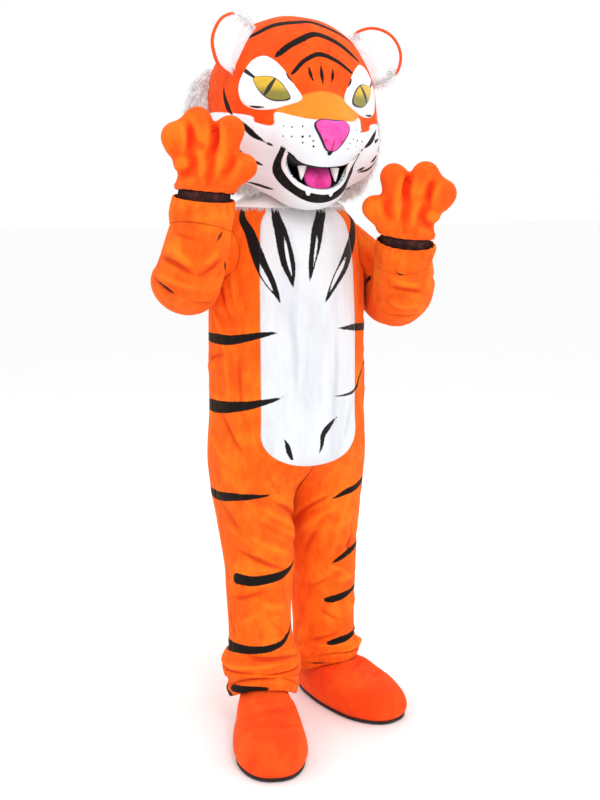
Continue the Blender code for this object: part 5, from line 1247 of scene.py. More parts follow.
def mitt_plush():
    finish = Finish("mitt_plush", 0.90, 0.12, (1.0, 0.45, 0.12))
    colour = plush_colour(finish, MITT_ORANGE, ORANGE_LIGHT, ORANGE)
    # Painted shade in the troughs of the mitts' creases, painted highlight on their ridges
    colour = painted_fold_shading(finish, colour, ORANGE_LIGHT, MITT_FOLD_SHADE, 0.0130)
    pile(finish, 0.0007)
    return finish.done(colour)


def shoe_plush():
    finish = Finish("shoe_plush", 0.86, 0.12, (1.0, 0.40, 0.15))
    colour = plush_colour(finish, SHOE_RED, SHOE_LIGHT, SHOE_DEEP, 0.14)
    # Painted shade in the folds' troughs, painted highlight on their ridges
    colour = painted_fold_shading(finish, colour, SHOE_LIGHT, SHOE_FOLD_SHADE)
    pile(finish, 0.0007)
    return finish.done(colour)


def head_plush():
    finish = Finish("head_plush", 0.92, 0.10, (1.0, 0.60, 0.35))
    colour = plush_colour(finish, CROWN_ORANGE, ORANGE, CROWN_DEEP)
    bridge = plush_colour(finish, BRIDGE_ORANGE, BRIDGE_LIGHT, ORANGE_LIGHT)
    colour = finish.mix(finish.ramp(finish.kept("bridge"), 0.004, -0.004), colour, bridge)
    white = finish.mix(finish.ramp(finish.noise(9, 3), 0.42, 0.70, 0.0, 0.5), FACE_WHITE, CHEEK_SHADE)
    white = finish.mix(finish.ramp(finish.kept("hollow"), 0.0002, 0.004, 0.0, 0.5), white, WHITE_SHADE)
    rough = finish.sum(finish.noise(300, 3, 0.6), 0.5, "SUBTRACT")
    edge = finish.sum(finish.kept("white"), finish.sum(rough, 0.0022, "MULTIPLY"))
    colour = finish.mix(finish.ramp(edge, 0.0012, -0.0012), colour, white)
    pile(finish)
    return finish.done(marked(finish, colour))


def ear_plush(name, inner):
    finish = Finish(name, 0.92, 0.35)
    if inner:
        # Painted shade in soft lilac-grey patches over the white
        colour = finish.mix(finish.ramp(finish.noise(40, 3), 0.4, 0.7, 0.0, 0.4), WHITE, LILAC_SHADE)
    else:
        colour = plush_colour(finish, CROWN_ORANGE, ORANGE, CROWN_DEEP)
        colour = finish.mix(finish.ramp(finish.kept("white"), 0.000, 0.004), colour, WHITE)
    pile(finish)
    return finish.done(colour)


def long_fur():
    finish = Finish("long_fur", 0.80, 1.0, specular=0.3)
    colour = finish.mix(finish.ramp(finish.noise(120, 3), 0.40, 0.75, 0.0, 0.45), FUR_WHITE, WHITE)
    finish.raise_by(finish.noise(500, 3, 0.7), 0.0008, 0.8)
    return finish.done(colour)


def eye_white():
    finish = Finish("eye_white", 0.55, 0.15, specular=0.4)
    colour = finish.mix(finish.ramp(finish.noise(60, 3), 0.4, 0.8, 0.0, 0.25), (0.93, 0.93, 0.95), WHITE_SHADE)
    finish.raise_by(finish.noise(420, 2), 0.0003, 0.5)
    return finish.done(marked(finish, colour, fuzz=0.0010, sheer=0.0004))


def iris_gold():
    finish = Finish("iris_gold", 0.28, specular=0.5)
    colour = finish.mix(finish.ramp(finish.kept("high"), 0.012, 0.034), IRIS_OLIVE, IRIS_GOLD)
    colour = finish.mix(finish.ramp(finish.noise(130, 4), 0.45, 0.8, 0.0, 0.5), colour, IRIS_OLIVE)
    colour = marked(finish, colour, fuzz=0.0006, sheer=0.0004)
    colour = finish.mix(finish.ramp(finish.kept("rim"), -0.0042, -0.0032), colour, INK)
    finish.shader.inputs["Coat Weight"].default_value = 0.35
    finish.shader.inputs["Coat Roughness"].default_value = 0.15
    finish.raise_by(finish.noise(300, 2), 0.0002, 0.3)
    return finish.done(colour)


def nose_felt():
    finish = Finish("nose_felt", 0.65, 0.30, (1.0, 0.6, 0.8), 0.35)
    colour = finish.mix(finish.ramp(finish.noise(26, 3), 0.40, 0.70), PINK, PINK_LIGHT)
    # Painted shade: the pink turns deeper in the nose's crease and nostril dips, by their depth
    colour = finish.mix(finish.ramp(finish.kept("hollow"), 0.0002, 0.0030, 0.0, 0.8), colour, PINK_DEEP)
    colour = finish.mix(finish.ramp(finish.kept("rim"), -0.0078, -0.0064), colour, INK)
    finish.raise_by(finish.noise(700, 3, 0.7), 0.0004, 0.7)
    return finish.done(colour)


def tongue_felt():
    finish = Finish("tongue_felt", 0.75, 0.30, (1.0, 0.6, 0.8), 0.3)
    colour = finish.mix(finish.ramp(finish.noise(30, 3), 0.40, 0.70), PINK, PINK_DEEP)
    finish.raise_by(finish.noise(600, 3, 0.7), 0.0005, 0.7)
    return finish.done(colour)


def dark_felt(name="dark_felt"):
    finish = Finish(name, 0.95, 0.10, specular=0.1)
    colour = finish.mix(finish.ramp(finish.noise(60, 4), 0.4, 0.7), (0.006, 0.005, 0.005), (0.020, 0.015, 0.014))
    finish.raise_by(finish.noise(500, 3, 0.7), 0.0006, 0.8)
    return finish.done(colour)


def tooth_felt():
    finish = Finish("tooth_felt", 0.60, 0.10, specular=0.35)
    colour = finish.mix(finish.ramp(finish.noise(90, 3), 0.45, 0.75, 0.0, 0.4), (0.90, 0.89, 0.87), WHITE_SHADE)
    finish.raise_by(finish.noise(500, 2), 0.0003, 0.6)
    return finish.done(colour)


# The wrist band's finish: near black, partly the mitt's dark lining and partly painted shadow in the gap at the mitt's
# hem
def band_knit():
    finish = Finish("band_knit", 0.85, 0.15, (0.6, 0.3, 0.3))
    colour = finish.mix(finish.ramp(finish.noise(60, 4), 0.40, 0.70), (0.026, 0.008, 0.008), (0.075, 0.022, 0.018))
    finish.raise_by(finish.noise(900, 2), 0.0004, 0.8)
    return finish.done(colour)


def sole_rubber():
    finish = Finish("sole_rubber", 0.72, specular=0.35)
    colour = finish.mix(finish.ramp(finish.noise(45, 4), 0.40, 0.70), (0.020, 0.010, 0.009), (0.050, 0.026, 0.022))
    finish.raise_by(finish.noise(350, 3), 0.0004, 0.6)
    return finish.done(colour)


def zip_finish():
    finish = Finish("zip_cloth", 0.80, 0.10)
    weave = finish.tree.nodes.new("ShaderNodeTexWave")
    weave.inputs["Scale"].default_value = 260
    weave.bands_direction = "DIAGONAL"
    finish.link(finish.place, weave.inputs["Vector"])
    colour = finish.mix(finish.ramp(weave.outputs["Fac"], 0.2, 0.8), (0.52, 0.12, 0.012), (0.70, 0.19, 0.02))
    finish.raise_by(weave.outputs["Fac"], 0.0003, 0.7)
    return finish.done(colour)


def zip_metal():
    finish = Finish("zip_metal", 0.35, specular=0.5)
    finish.shader.inputs["Metallic"].default_value = 0.9
    finish.raise_by(finish.noise(400, 2), 0.0001, 0.4)
    return finish.done(finish.mix(finish.ramp(finish.noise(90, 3), 0.4, 0.7), (0.50, 0.45, 0.38), (0.32, 0.28, 0.22)))


# The suit


BODY_COLUMNS = 46
ROW_STEP = 0.0052


def spaced(start, end, step):
    count = max(1, int(round(abs(end - start) / step)))
    return np.linspace(start, end, count + 1)[1:]


def body_heights(side):
    """The heights of the rows of a body panel, from the neck down, close together at the armhole."""
    turn = np.linspace(0, np.pi, 29)
    armhole = ARMHOLE_HEIGHT + ARMHOLE_HALF_HEIGHT * np.cos(turn)
    turn = np.linspace(0, np.pi / 2, 22)[1:]
    belly = BELLY_ROUND_HEIGHT - (BELLY_ROUND_HEIGHT - BELLY_TIP_HEIGHT) * np.sin(turn)
    top = TORSO[0].height
    parts = [
        [top], spaced(top, armhole[0] + ROW_STEP, ROW_STEP), armhole,
        spaced(armhole[-1], BELLY_ROUND_HEIGHT, ROW_STEP), belly,
        spaced(BELLY_TIP_HEIGHT, LEGS[side][-1].height, ROW_STEP),
    ]
    return np.concatenate([np.asarray(part, float) for part in parts])


def zip_share(height):
    return np.where(height > ZIP_BOTTOM_HEIGHT, ZIP_HALF_WIDTH / HALF_GIRTH, 0.0)


def make_suit():
    gap = DRAWN_SEAM / HALF_GIRTH / 2
    ink = stripe_lines(SUIT_STRIPES)
    finish = suit_plush()
    for side in (RIGHT, LEFT):
        heights = body_heights(side)
        lifts = hem_lifts(side)
        name = SIDE_NAME[side]
        fronts = (lambda h: belly_share(h) + gap,
                  lambda h: 0.5 - armhole_gap(h) - gap)
        backs = (lambda h: 0.5 + armhole_gap(h) + gap, lambda h: 1 - zip_share(h) - gap)
        for panel, (start, end) in (("front", fronts), ("back", backs)):
            rows, hollow = suit_rows(side, start, end, heights, BODY_COLUMNS, lifts)
            made = cloth(f"{panel}_panel_{name}", rows, middle=(side * 0.10, 0, -0.55), hollow=hollow)
            keep(made, "mark", nearest_mark(places(made), ink))
            thicken(made, 0.002)
            settle(made, [f"{panel}_{name}"], finish)
            declare_cloth(rows)
    make_belly(ink)
    make_zip()


def make_belly(ink):
    gap = DRAWN_SEAM / HALF_GIRTH / 2
    heights = body_heights(RIGHT)
    heights = heights[heights > BELLY_TIP_HEIGHT + 0.0002]
    step = np.linspace(-1, 1, 73)
    share = np.abs(step)[None, :] * (belly_share(heights) - gap)[:, None]
    height = np.repeat(heights[:, None], len(step), axis=1)
    rows, hollow = [], []
    for side in (RIGHT, LEFT):
        point = suit_point(side, share, height)
        edge = (1 - np.abs(step))[None, :] * belly_share(heights)[:, None] * HALF_GIRTH
        point = point - suit_normal(side, share, height) * (SEAM_DIP * np.exp(-((edge / 0.0045) ** 2)))[..., None]
        rows.append(point)
        hollow.append(-crease_depth(side, share, height))
    left = step > 0
    points = np.where(left[None, :, None], rows[1], rows[0])
    points[:, len(step) // 2, 0] = 0
    points[..., 2] -= SHOULDER_HEIGHT
    hollow = np.where(left[None, :], hollow[1], hollow[0])
    made = cloth("belly_panel", points, middle=(0, 0.1, -0.35), hollow=hollow)
    keep(made, "mark", nearest_mark(places(made), ink))
    keep(made, "slit", nearest_mark(places(made), stripe_lines(CHEST_SLITS)) + SLIT_DRAWN_IN)
    thicken(made, 0.002)
    settle(made, ["belly"], belly_plush())
    declare_cloth(points)


ZIP_PITCH = 0.0050
ZIP_TOOTH = (0.0016, 0.0011, 0.0014)
SLIDER_HEIGHT = 1.392


def make_zip():
    """The zip in the back seam: its tape, two rows of teeth, and the slider with its puller."""
    heights = np.arange(TORSO[0].height, ZIP_BOTTOM_HEIGHT, -0.005)
    step = np.linspace(-1, 1, 13)
    rows = np.array([[back_place(across * (ZIP_HALF_WIDTH - SEAM), height, -0.0008) for across in step]
                     for height in heights])
    tape = cloth("zip_tape_back", rows, middle=(0, 0, -0.3))
    thicken(tape, 0.0012)
    settle(tape, ["back_zip"], zip_finish())
    metal = zip_metal()
    form = bmesh.new()
    count = int((SLIDER_HEIGHT - ZIP_BOTTOM_HEIGHT - 0.006) / ZIP_PITCH)
    for k in range(count):
        height = ZIP_BOTTOM_HEIGHT + 0.004 + k * ZIP_PITCH
        for side in (RIGHT, LEFT):
            place = back_place(side * 0.0009, height + (ZIP_PITCH / 2 if side == LEFT else 0), 0.0009)
            made = bmesh.ops.create_cube(form, size=1)["verts"]
            bmesh.ops.scale(form, vec=[2 * size for size in ZIP_TOOTH], verts=made)
            bmesh.ops.translate(form, vec=place, verts=made)
    add_form("zip_teeth", form, metal)
    form = bmesh.new()
    place = Vector(back_place(0, SLIDER_HEIGHT, 0.0030))
    for size, drop, out in (((0.0090, 0.0032, 0.0110), 0, 0), ((0.0040, 0.0016, 0.0240), -0.0160, 0.0012)):
        made = bmesh.ops.create_cube(form, size=1)["verts"]
        bmesh.ops.scale(form, vec=size, verts=made)
        bmesh.ops.translate(form, vec=place + Vector((0, out, drop)), verts=made)
    bmesh.ops.bevel(form, geom=list(form.edges), offset=0.0006, segments=2, affect="EDGES")
    add_form("zip_slider", form, metal)


def back_place(across, height, lift):
    """A place on the back's middle line, out by lift."""
    side = LEFT if across > 0 else RIGHT
    share, high = np.array([1 - abs(across) / HALF_GIRTH]), np.array([float(height)])
    point = suit_point(side, share, high)[0] + suit_normal(side, share, high)[0] * lift
    return (across if abs(across) < ZIP_HALF_WIDTH else point[0], point[1], point[2] - SHOULDER_HEIGHT)


def add_form(name, form, finish, nodes=(), smooth=False):
    bmesh.ops.recalc_face_normals(form, faces=form.faces)
    mesh = bpy.data.meshes.new(name)
    form.to_mesh(mesh)
    form.free()
    if smooth:
        mesh.shade_smooth()
    made = bpy.data.objects.new(name, mesh)
    bpy.context.scene.collection.objects.link(made)
    settle(made, nodes, finish)
    return made


# Sleeves and cuffs, on the rings of their solids


SLEEVE_COLUMNS, SLEEVE_STEPS = 12, 10
SLEEVE_FINE = 9


def curve_frames(points, steps):
    """Points and radii along a smooth curve through a sleeve's points."""
    keys = np.linspace(0, 1, len(points))
    table = np.array([(p.x, p.y, p.height, p.radius) for p in points])
    tangents = np.gradient(table, keys, axis=0)
    found = []
    for i in range(steps + 1):
        at = i / steps
        k = min(int(at * (len(keys) - 1)), len(keys) - 2)
        span = keys[k + 1] - keys[k]
        u = (at - keys[k]) / span
        found.append(
            (2 * u**3 - 3 * u**2 + 1) * table[k]
            + (u**3 - 2 * u**2 + u) * span * tangents[k]
            + (3 * u**2 - 2 * u**3) * table[k + 1]
            + (u**3 - u**2) * span * tangents[k + 1]
        )
    return [(Vector(row[:3]), float(row[3])) for row in found]


def armhole_ring(side, columns):
    turn = 2 * np.pi * np.arange(columns) / columns
    height = ARMHOLE_HEIGHT + ARMHOLE_HALF_HEIGHT * np.cos(turn)
    ring = suit_point(side, 0.5 - ARMHOLE_SHARE * np.sin(turn), height)
    return [Vector(p) for p in ring + unit(ring.mean(axis=0) - ring) * DRAWN_SEAM]


def clear_of_torso(point, margin):
    a, b = float(TORSO_WIDTH(point.z)) + margin, float(TORSO_DEPTH(point.z)) + margin
    share = math.hypot(point.x / a, point.y / b)
    if share < 1:
        point.x /= share
        point.y /= share
    return point


def roll_depth(side, way, turn):
    total = 0.0
    for roll in SLEEVE_ROLLS:
        if roll.side == side:
            offset = (turn - roll.turn + 0.5) % 1 - 0.5
            across = (way - roll.way - roll.twist * offset) / roll.width
            away = offset / roll.reach
            total += roll.depth * math.exp(-across * across - away * away * 2)
    return total


def tube_frames(path, side):
    frames = []
    outward = Vector((0, 0, 1))
    for i, (centre, radius) in enumerate(path):
        run = (path[min(i + 1, len(path) - 1)][0] - path[max(i - 1, 0)][0]).normalized()
        outward = (outward - run * outward.dot(run)).normalized()
        frames.append((centre, outward.copy(), run.cross(outward) * side, run, radius))
    return frames


def sleeve_grid(side):
    """Rings of the sleeve's outside, from the armhole to the cuff, as its solid has them."""
    columns, steps = SLEEVE_COLUMNS, SLEEVE_STEPS
    path = curve_frames(SLEEVES[side], steps)
    frames = tube_frames(path, side)
    hole = armhole_ring(side, columns)
    crease = ELBOW_CREASE[side]
    crease_run = frames[2][3].cross(frames[-3][3]).normalized()
    grid = []
    for i, (centre, outward, front, run, radius) in enumerate(frames):
        way = i / steps
        to_crease = crease - centre
        to_crease -= run * to_crease.dot(run)
        to_crease -= crease_run * to_crease.dot(crease_run)
        limits = [to_crease]
        bend = bend_centre(path, i)
        if bend is not None:
            limits.append(bend - centre)
        ring = []
        for j in range(columns):
            turn = 2 * math.pi * j / columns
            away = outward * math.cos(turn) + front * math.sin(turn)
            spot = away * (radius + roll_depth(side, way, j / columns) * float(smooth(way, 0.0, 0.2)))
            for limit in limits:
                toward = limit.normalized()
                spot -= toward * max(0.0, spot.dot(toward) - (limit.length - ELBOW_GAP))
            if i == 0:
                ring.append(hole[j])
            else:
                point = hole[j].lerp(centre + spot, float(smooth(way, -0.03, 0.28)))
                ring.append(clear_of_torso(point, 0.010))
        grid.append(ring)
    for _ in range(SLEEVE_PASSES):
        middle = [
            [clear_of_torso((a + 2 * b + c) / 4, 0.010) for a, b, c in zip(*rings)]
            for rings in zip(grid, grid[1:], grid[2:])
        ]
        grid = [grid[0]] + middle + [grid[-1]]
    return grid, frames


def bend_centre(path, i):
    if not 0 < i < len(path) - 1:
        return None
    a, b, c = (Vector(path[k][0]) for k in (i - 1, i, i + 1))
    ab, cb = a - b, c - b
    turn = ab.cross(cb)
    if turn.length < 1e-7:
        return None
    offset = (turn.cross(ab) * cb.length_squared + cb.cross(turn) * ab.length_squared) / (
        2 * turn.length_squared
    )
    return b + offset if offset.length < 0.25 else None


def finer(grid, down, across):
    """A closed tube's rings, with down and across times as many places on smooth curves."""
    rings = np.array([[tuple(p) for p in ring] for ring in grid])
    rings = np.array([through(ring, across, closed=True) for ring in rings])
    return through(rings.reshape(len(rings), -1), down).reshape(-1, rings.shape[1], 3)


def creased(points, normals, creases, offset=(0, 0, 0)):
    """How far each point moves out for creases that run between two places on a piece."""
    total = np.zeros(len(points))
    for k, crease in enumerate(creases):
        start, end = np.array(crease.start) + offset, np.array(crease.end) + offset
        run = end - start
        length = np.linalg.norm(run)
        share = np.clip((points - start) @ run / length**2, -0.2, 1.2)
        bow = 0.07 * length * np.sin(np.pi * np.clip(share, 0, 1)) * (-1 if k % 2 else 1)
        foot = start + share[:, None] * run
        gap = points - foot
        gap = gap - normals * (gap * normals).sum(axis=1)[:, None] * 0.85
        sidewise = (gap * unit(np.cross(normals, run))).sum(axis=1) - bow
        reach = np.abs((points - foot) @ (run / length))
        fade = np.exp(-(((share - 0.5) / 0.44) ** 4)) * np.exp(-((reach / 0.02) ** 2))
        far = np.linalg.norm(points - foot, axis=1) < 0.075
        shape = np.exp(-((sidewise / crease.width) ** 2))
        shoulder = np.exp(-(((np.abs(sidewise) - 2.2 * crease.width) / (1.3 * crease.width)) ** 2))
        total += np.where(far, crease.depth * fade * (shape - 0.33 * shoulder), 0)
    return total


def make_sleeve(side, finish):
    grid, frames = sleeve_grid(side)
    name = SIDE_NAME[side]
    rows = finer(grid, SLEEVE_FINE, 8)
    hole = np.array([tuple(p) for p in armhole_ring(side, rows.shape[1])])
    near = smooth(np.arange(len(rows)) / SLEEVE_FINE, 1.0, 0.0)[:, None, None]
    rows = rows + (hole - rows[0])[None] * near
    seams = np.zeros(rows.shape[:2])
    across = np.arange(rows.shape[1])
    for middle in (0, rows.shape[1] // 2, rows.shape[1]):
        seams += -SEAM_DIP * np.exp(-(((across - middle) / 0.8) ** 2))[None, :]
    rim = np.minimum(np.arange(len(rows)), len(rows) - 1 - np.arange(len(rows)))
    seams += (-SEAM_DIP * np.exp(-((rim / 0.8) ** 2)))[:, None]
    rows[..., 2] -= SHOULDER_HEIGHT
    centre = rows[len(rows) // 2].mean(axis=0)
    made = cloth(f"sleeve_{name}", rows, wraps=True, hollow=-seams)
    face_out_of_line(made, rows.mean(axis=1))
    points, normals = places(made), normals_of(made)
    depth = creased(points, normals, SLEEVE_CREASES[side], (0, 0, -SHOULDER_HEIGHT))
    end = np.linalg.norm(points - rows[-1].mean(axis=0), axis=1)
    seam = attribute(made, "hollow")
    put(made, points + normals * (depth * smooth(end, 0.080, 0.100) - seam)[:, None])
    keep(made, "hollow", seam - depth)
    keep(made, "mark", nearest_mark(places(made), sleeve_marks(side)))
    thicken(made, 0.002)
    settle(made, [f"sleeve_front_{name}", f"sleeve_back_{name}"], finish)
    declare_cloth(rows, wraps=True)
    make_cuff(side, rows[-1], frames[-1], finish)
    return centre


def attribute(made, name):
    found = np.zeros(len(made.data.vertices), np.float32)
    made.data.attributes[name].data.foreach_get("value", found)
    return found.astype(float)


def face_out_of_line(made, line):
    """Turns a tube's faces away from its centre line."""
    mesh = made.data
    mesh.update()
    count = len(mesh.polygons)
    normals, centres = np.zeros(count * 3), np.zeros(count * 3)
    mesh.polygons.foreach_get("normal", normals)
    mesh.polygons.foreach_get("center", centres)
    centres = centres.reshape(-1, 3)
    gaps = np.linalg.norm(centres[:, None, :] - line[None, :, :], axis=2)
    away = centres - line[gaps.argmin(axis=1)]
    if (away * normals.reshape(-1, 3)).sum() < 0:
        mesh.flip_normals()
        mesh.update()


def sleeve_marks(side):
    lines = []
    for mark in SLEEVE_MARKS[side].values():
        line = through(mark, 6)
        line[:, 2] -= SHOULDER_HEIGHT
        lines.append(line)
    return lines


def make_cuff(side, first, last_frame, finish):
    """The cuff: a plain band of plush, drawn in at the wrist band."""
    centre, outward, front, run, radius = last_frame
    centre = np.array(centre) - (0, 0, SHOULDER_HEIGHT)
    run = np.array(run)
    up = np.array(HAND_UP[side].normalized())
    target = np.array(hand_frame(side).translation)
    flat = first - centre
    flat = flat - (flat @ up)[:, None] * up
    start = first + run * DRAWN_SEAM
    end = target + unit(flat) * CUFF_RADIUS
    rows, hollow = [], []
    turn = 2 * np.pi * np.arange(len(first)) / len(first)
    for share in np.linspace(0, 1, 25):
        gathers = 0.0022 * share**2 * np.sin(17 * turn + 2.0 * np.sin(2 * turn)) * (1 - 0.4 * np.sin(3 * turn))
        edge = SEAM_DIP * (np.exp(-((share / 0.03) ** 2)) + np.exp(-(((1 - share) / 0.03) ** 2)))
        soft = 0.0018 * np.sin(3 * turn + 4 * share) * math.sin(math.pi * share)
        swell = 0.004 * math.sin(math.pi * share) + gathers + soft - edge
        rows.append(start + (end - start) * share + unit(flat) * swell[:, None])
        hollow.append(-(gathers + soft))
    name = SIDE_NAME[side]
    rows = np.array(rows)
    made = cloth(f"cuff_cloth_{name}", rows, wraps=True, hollow=np.array(hollow))
    face_out_of_line(made, rows.mean(axis=1))
    keep(made, "mark", nearest_mark(places(made), sleeve_marks(side)))
    thicken(made, 0.002)
    settle(made, [f"cuff_{name}"], finish)
    declare_cloth(rows, wraps=True)


# Wrist bands and mitts


def wrist(side):
    last = SLEEVES[side][-1]
    end = Vector((last.x, last.y, last.height - SHOULDER_HEIGHT))
    return end + HAND_UP[side].normalized() * (CUFF_LENGTH[side] + SEAM * 3)


def hand_frame(side):
    """Turns the mitt's frame to the costume's, at the wrist."""
    up = HAND_UP[side].normalized()
    palm = PALM_FACES[side]
    palm = (palm - up * palm.dot(up)).normalized()
    thumb = up.cross(palm) * -side
    turn = Matrix((thumb, -palm, up)).transposed().to_4x4()
    return Matrix.Translation(wrist(side)) @ turn


def transformed(points, frame):
    matrix = np.array(frame)
    return points @ matrix[:3, :3].T + matrix[:3, 3]


BAND_RIBS = 56


def make_band(side, finish):
    """The dark band at the wrist, ribbed and lightly gathered: near black partly for the mitt's dark lining and partly
    as painted shadow in the gap at the mitt's hem.
    """
    table = (BAND_END[side],) + BAND_RINGS
    height_of = np.array([row.height for row in table])
    turn = 2 * np.pi * np.arange(BAND_RIBS * 6) / (BAND_RIBS * 6)
    rows = []
    for height in np.linspace(height_of[0], height_of[-1], 28):
        radius = np.interp(height, height_of, [row.radius for row in table])
        ribs = 0.0011 * np.cos(BAND_RIBS * turn) + 0.0007 * np.sin(5 * turn + 60 * height)
        around = radius - 0.0008 + ribs
        rows.append(np.stack([around * np.cos(turn), around * np.sin(turn), np.full(len(turn), height)], axis=-1))
    name = SIDE_NAME[side]
    rows = transformed(np.array(rows), hand_frame(side))
    made = cloth(f"elastic_band_{name}", rows, wraps=True)
    face_out_of_line(made, rows.mean(axis=1))
    thicken(made, 0.0015)
    settle(made, [f"wrist_band_{name}"], finish)


def mitt_form(name):
    """A puffy mitt as one closed surface: a palm, a wrist, three fingers and a thumb blended together."""
    bpy.ops.object.select_all(action="DESELECT")
    bpy.ops.object.metaball_add(type="ELLIPSOID", radius=0.01)
    holder = bpy.context.object
    holder.name = name
    balls = holder.data
    balls.elements.remove(balls.elements[0])
    balls.resolution = 0.0028
    balls.render_resolution = 0.0028
    balls.threshold = 0.6

    def lump(x, y, z, radius, stretch=(1, 1, 1)):
        element = balls.elements.new(type="ELLIPSOID")
        element.co = (x, y, z)
        element.radius = radius / METABALL_SHARE
        element.size_x, element.size_y, element.size_z = stretch

    lump(-0.004, 0.004, 0.066, 0.048, (1.24, 0.72, 1.0))
    for step in range(3):
        lump(0, 0, -0.040 + 0.030 * step, 0.070, (1.0, 0.94, 0.5))
    for finger in FINGERS:
        for step in range(3):
            share = step / 2
            lump(
                finger.root_x + (finger.tip_x - finger.root_x) * share,
                finger.tip_y * share * share,
                finger.root_z + (finger.tip_z - finger.root_z) * share,
                finger.radius * (0.70 + 0.21 * share),
            )
    holder.location = (0, 0, 0)
    bpy.ops.object.convert(target="MESH")
    return bpy.context.object


def make_mitt(side, finish):
    name = SIDE_NAME[side]
    made = mitt_form(f"mitt_{name}_cloth")
    made.name = f"mitt_cloth_{name}"
    form = bmesh.new()
    form.from_mesh(made.data)
    everything = list(form.verts) + list(form.edges) + list(form.faces)
    bmesh.ops.bisect_plane(
        form, geom=everything, dist=1e-5, plane_co=(0, 0, MITT_HEM_RISE),
        plane_no=Vector((0, -MITT_HEM_SLOPE, -1)).normalized(), clear_outer=True,
    )
    bmesh.ops.smooth_vert(form, verts=form.verts, factor=0.5, use_axis_x=True, use_axis_y=True, use_axis_z=True)
    form.to_mesh(made.data)
    form.free()
    made.data.transform(Matrix.Identity(4))
    face_out(made, (0, 0, 0.07))
    points, normals = places(made), normals_of(made)
    creases = [
        SleeveCrease((c.x0, 0, c.z0), (c.x1, 0, c.z1), c.width, c.depth) for c in MITT_CREASES
    ]
    depth = np.zeros(len(points))
    for crease, own in zip(creases, MITT_CREASES):
        on_side = points[:, 1] * own.y > -0.004
        level = points.copy()
        level[:, 1] = 0
        flat_normal = np.tile((0.0, float(own.y), 0.0), (len(points), 1))
        depth += np.where(on_side, creased(level, flat_normal, [crease]), 0)
    seam = -0.0016 * np.exp(-((points[:, 1] / 0.0022) ** 2))
    hem = points[:, 2] - (MITT_HEM_RISE - MITT_HEM_SLOPE * points[:, 1])
    turned = 0.0022 * np.exp(-(((hem - 0.010) / 0.004) ** 2)) - 0.0024 * np.exp(-((hem / 0.004) ** 2))
    put(made, points + normals * (depth + seam + turned)[:, None])
    keep(made, "hollow", -(depth + 0.6 * seam))
    made.data.transform(hand_frame(side))
    if side == LEFT:
        made.data.flip_normals()
    made.data.shade_smooth()
    thicken(made, 0.002)
    settle(made, [f"mitt_palm_{name}", f"mitt_back_{name}"], finish)


# Shoe covers


def shoe_outline(turn):
    """The sole's outline at an angle, 0 at the toe: a wide round toe and a narrower heel."""
    middle = (SHOE_TOE - SHOE_HEEL) / 2
    half_length = (SHOE_TOE + SHOE_HEEL) / 2
    forward, x = np.cos(turn), np.sin(turn)
    y = -middle - half_length * np.sign(forward) * np.abs(forward) ** 0.86
    width = HEEL_HALF_WIDTH + (TOE_HALF_WIDTH - HEEL_HALF_WIDTH) * smooth(forward, -0.9, 0.55)
    return np.stack([width * np.sign(x) * np.abs(x) ** 0.80, y], axis=-1)


def shoe_frame(side):
    turn = Matrix.Rotation(SHOE_TURN[side], 4, "Z")
    place = Matrix.Translation(ANKLE[side] - Vector((0, 0, SHOULDER_HEIGHT)))
    return place @ turn @ Matrix.Translation((0, -SHOE_AHEAD[side], 0))


SHOE_COLUMNS = 132
# Soft wrinkles on the shoe's instep: distance from the toe, width and depth
ShoeFold = namedtuple("ShoeFold", "y across width depth")
SHOE_FOLDS = (
    ShoeFold(-0.190, 0.035, 0.008, -0.0030),
    ShoeFold(-0.165, -0.020, 0.010, 0.0024),
    ShoeFold(-0.135, 0.015, 0.008, -0.0030),
    ShoeFold(-0.105, -0.030, 0.009, -0.0026),
    ShoeFold(-0.080, 0.030, 0.009, 0.0022),
    ShoeFold(0.010, 0.040, 0.008, -0.0024),
    ShoeFold(0.030, -0.045, 0.008, -0.0024),
)


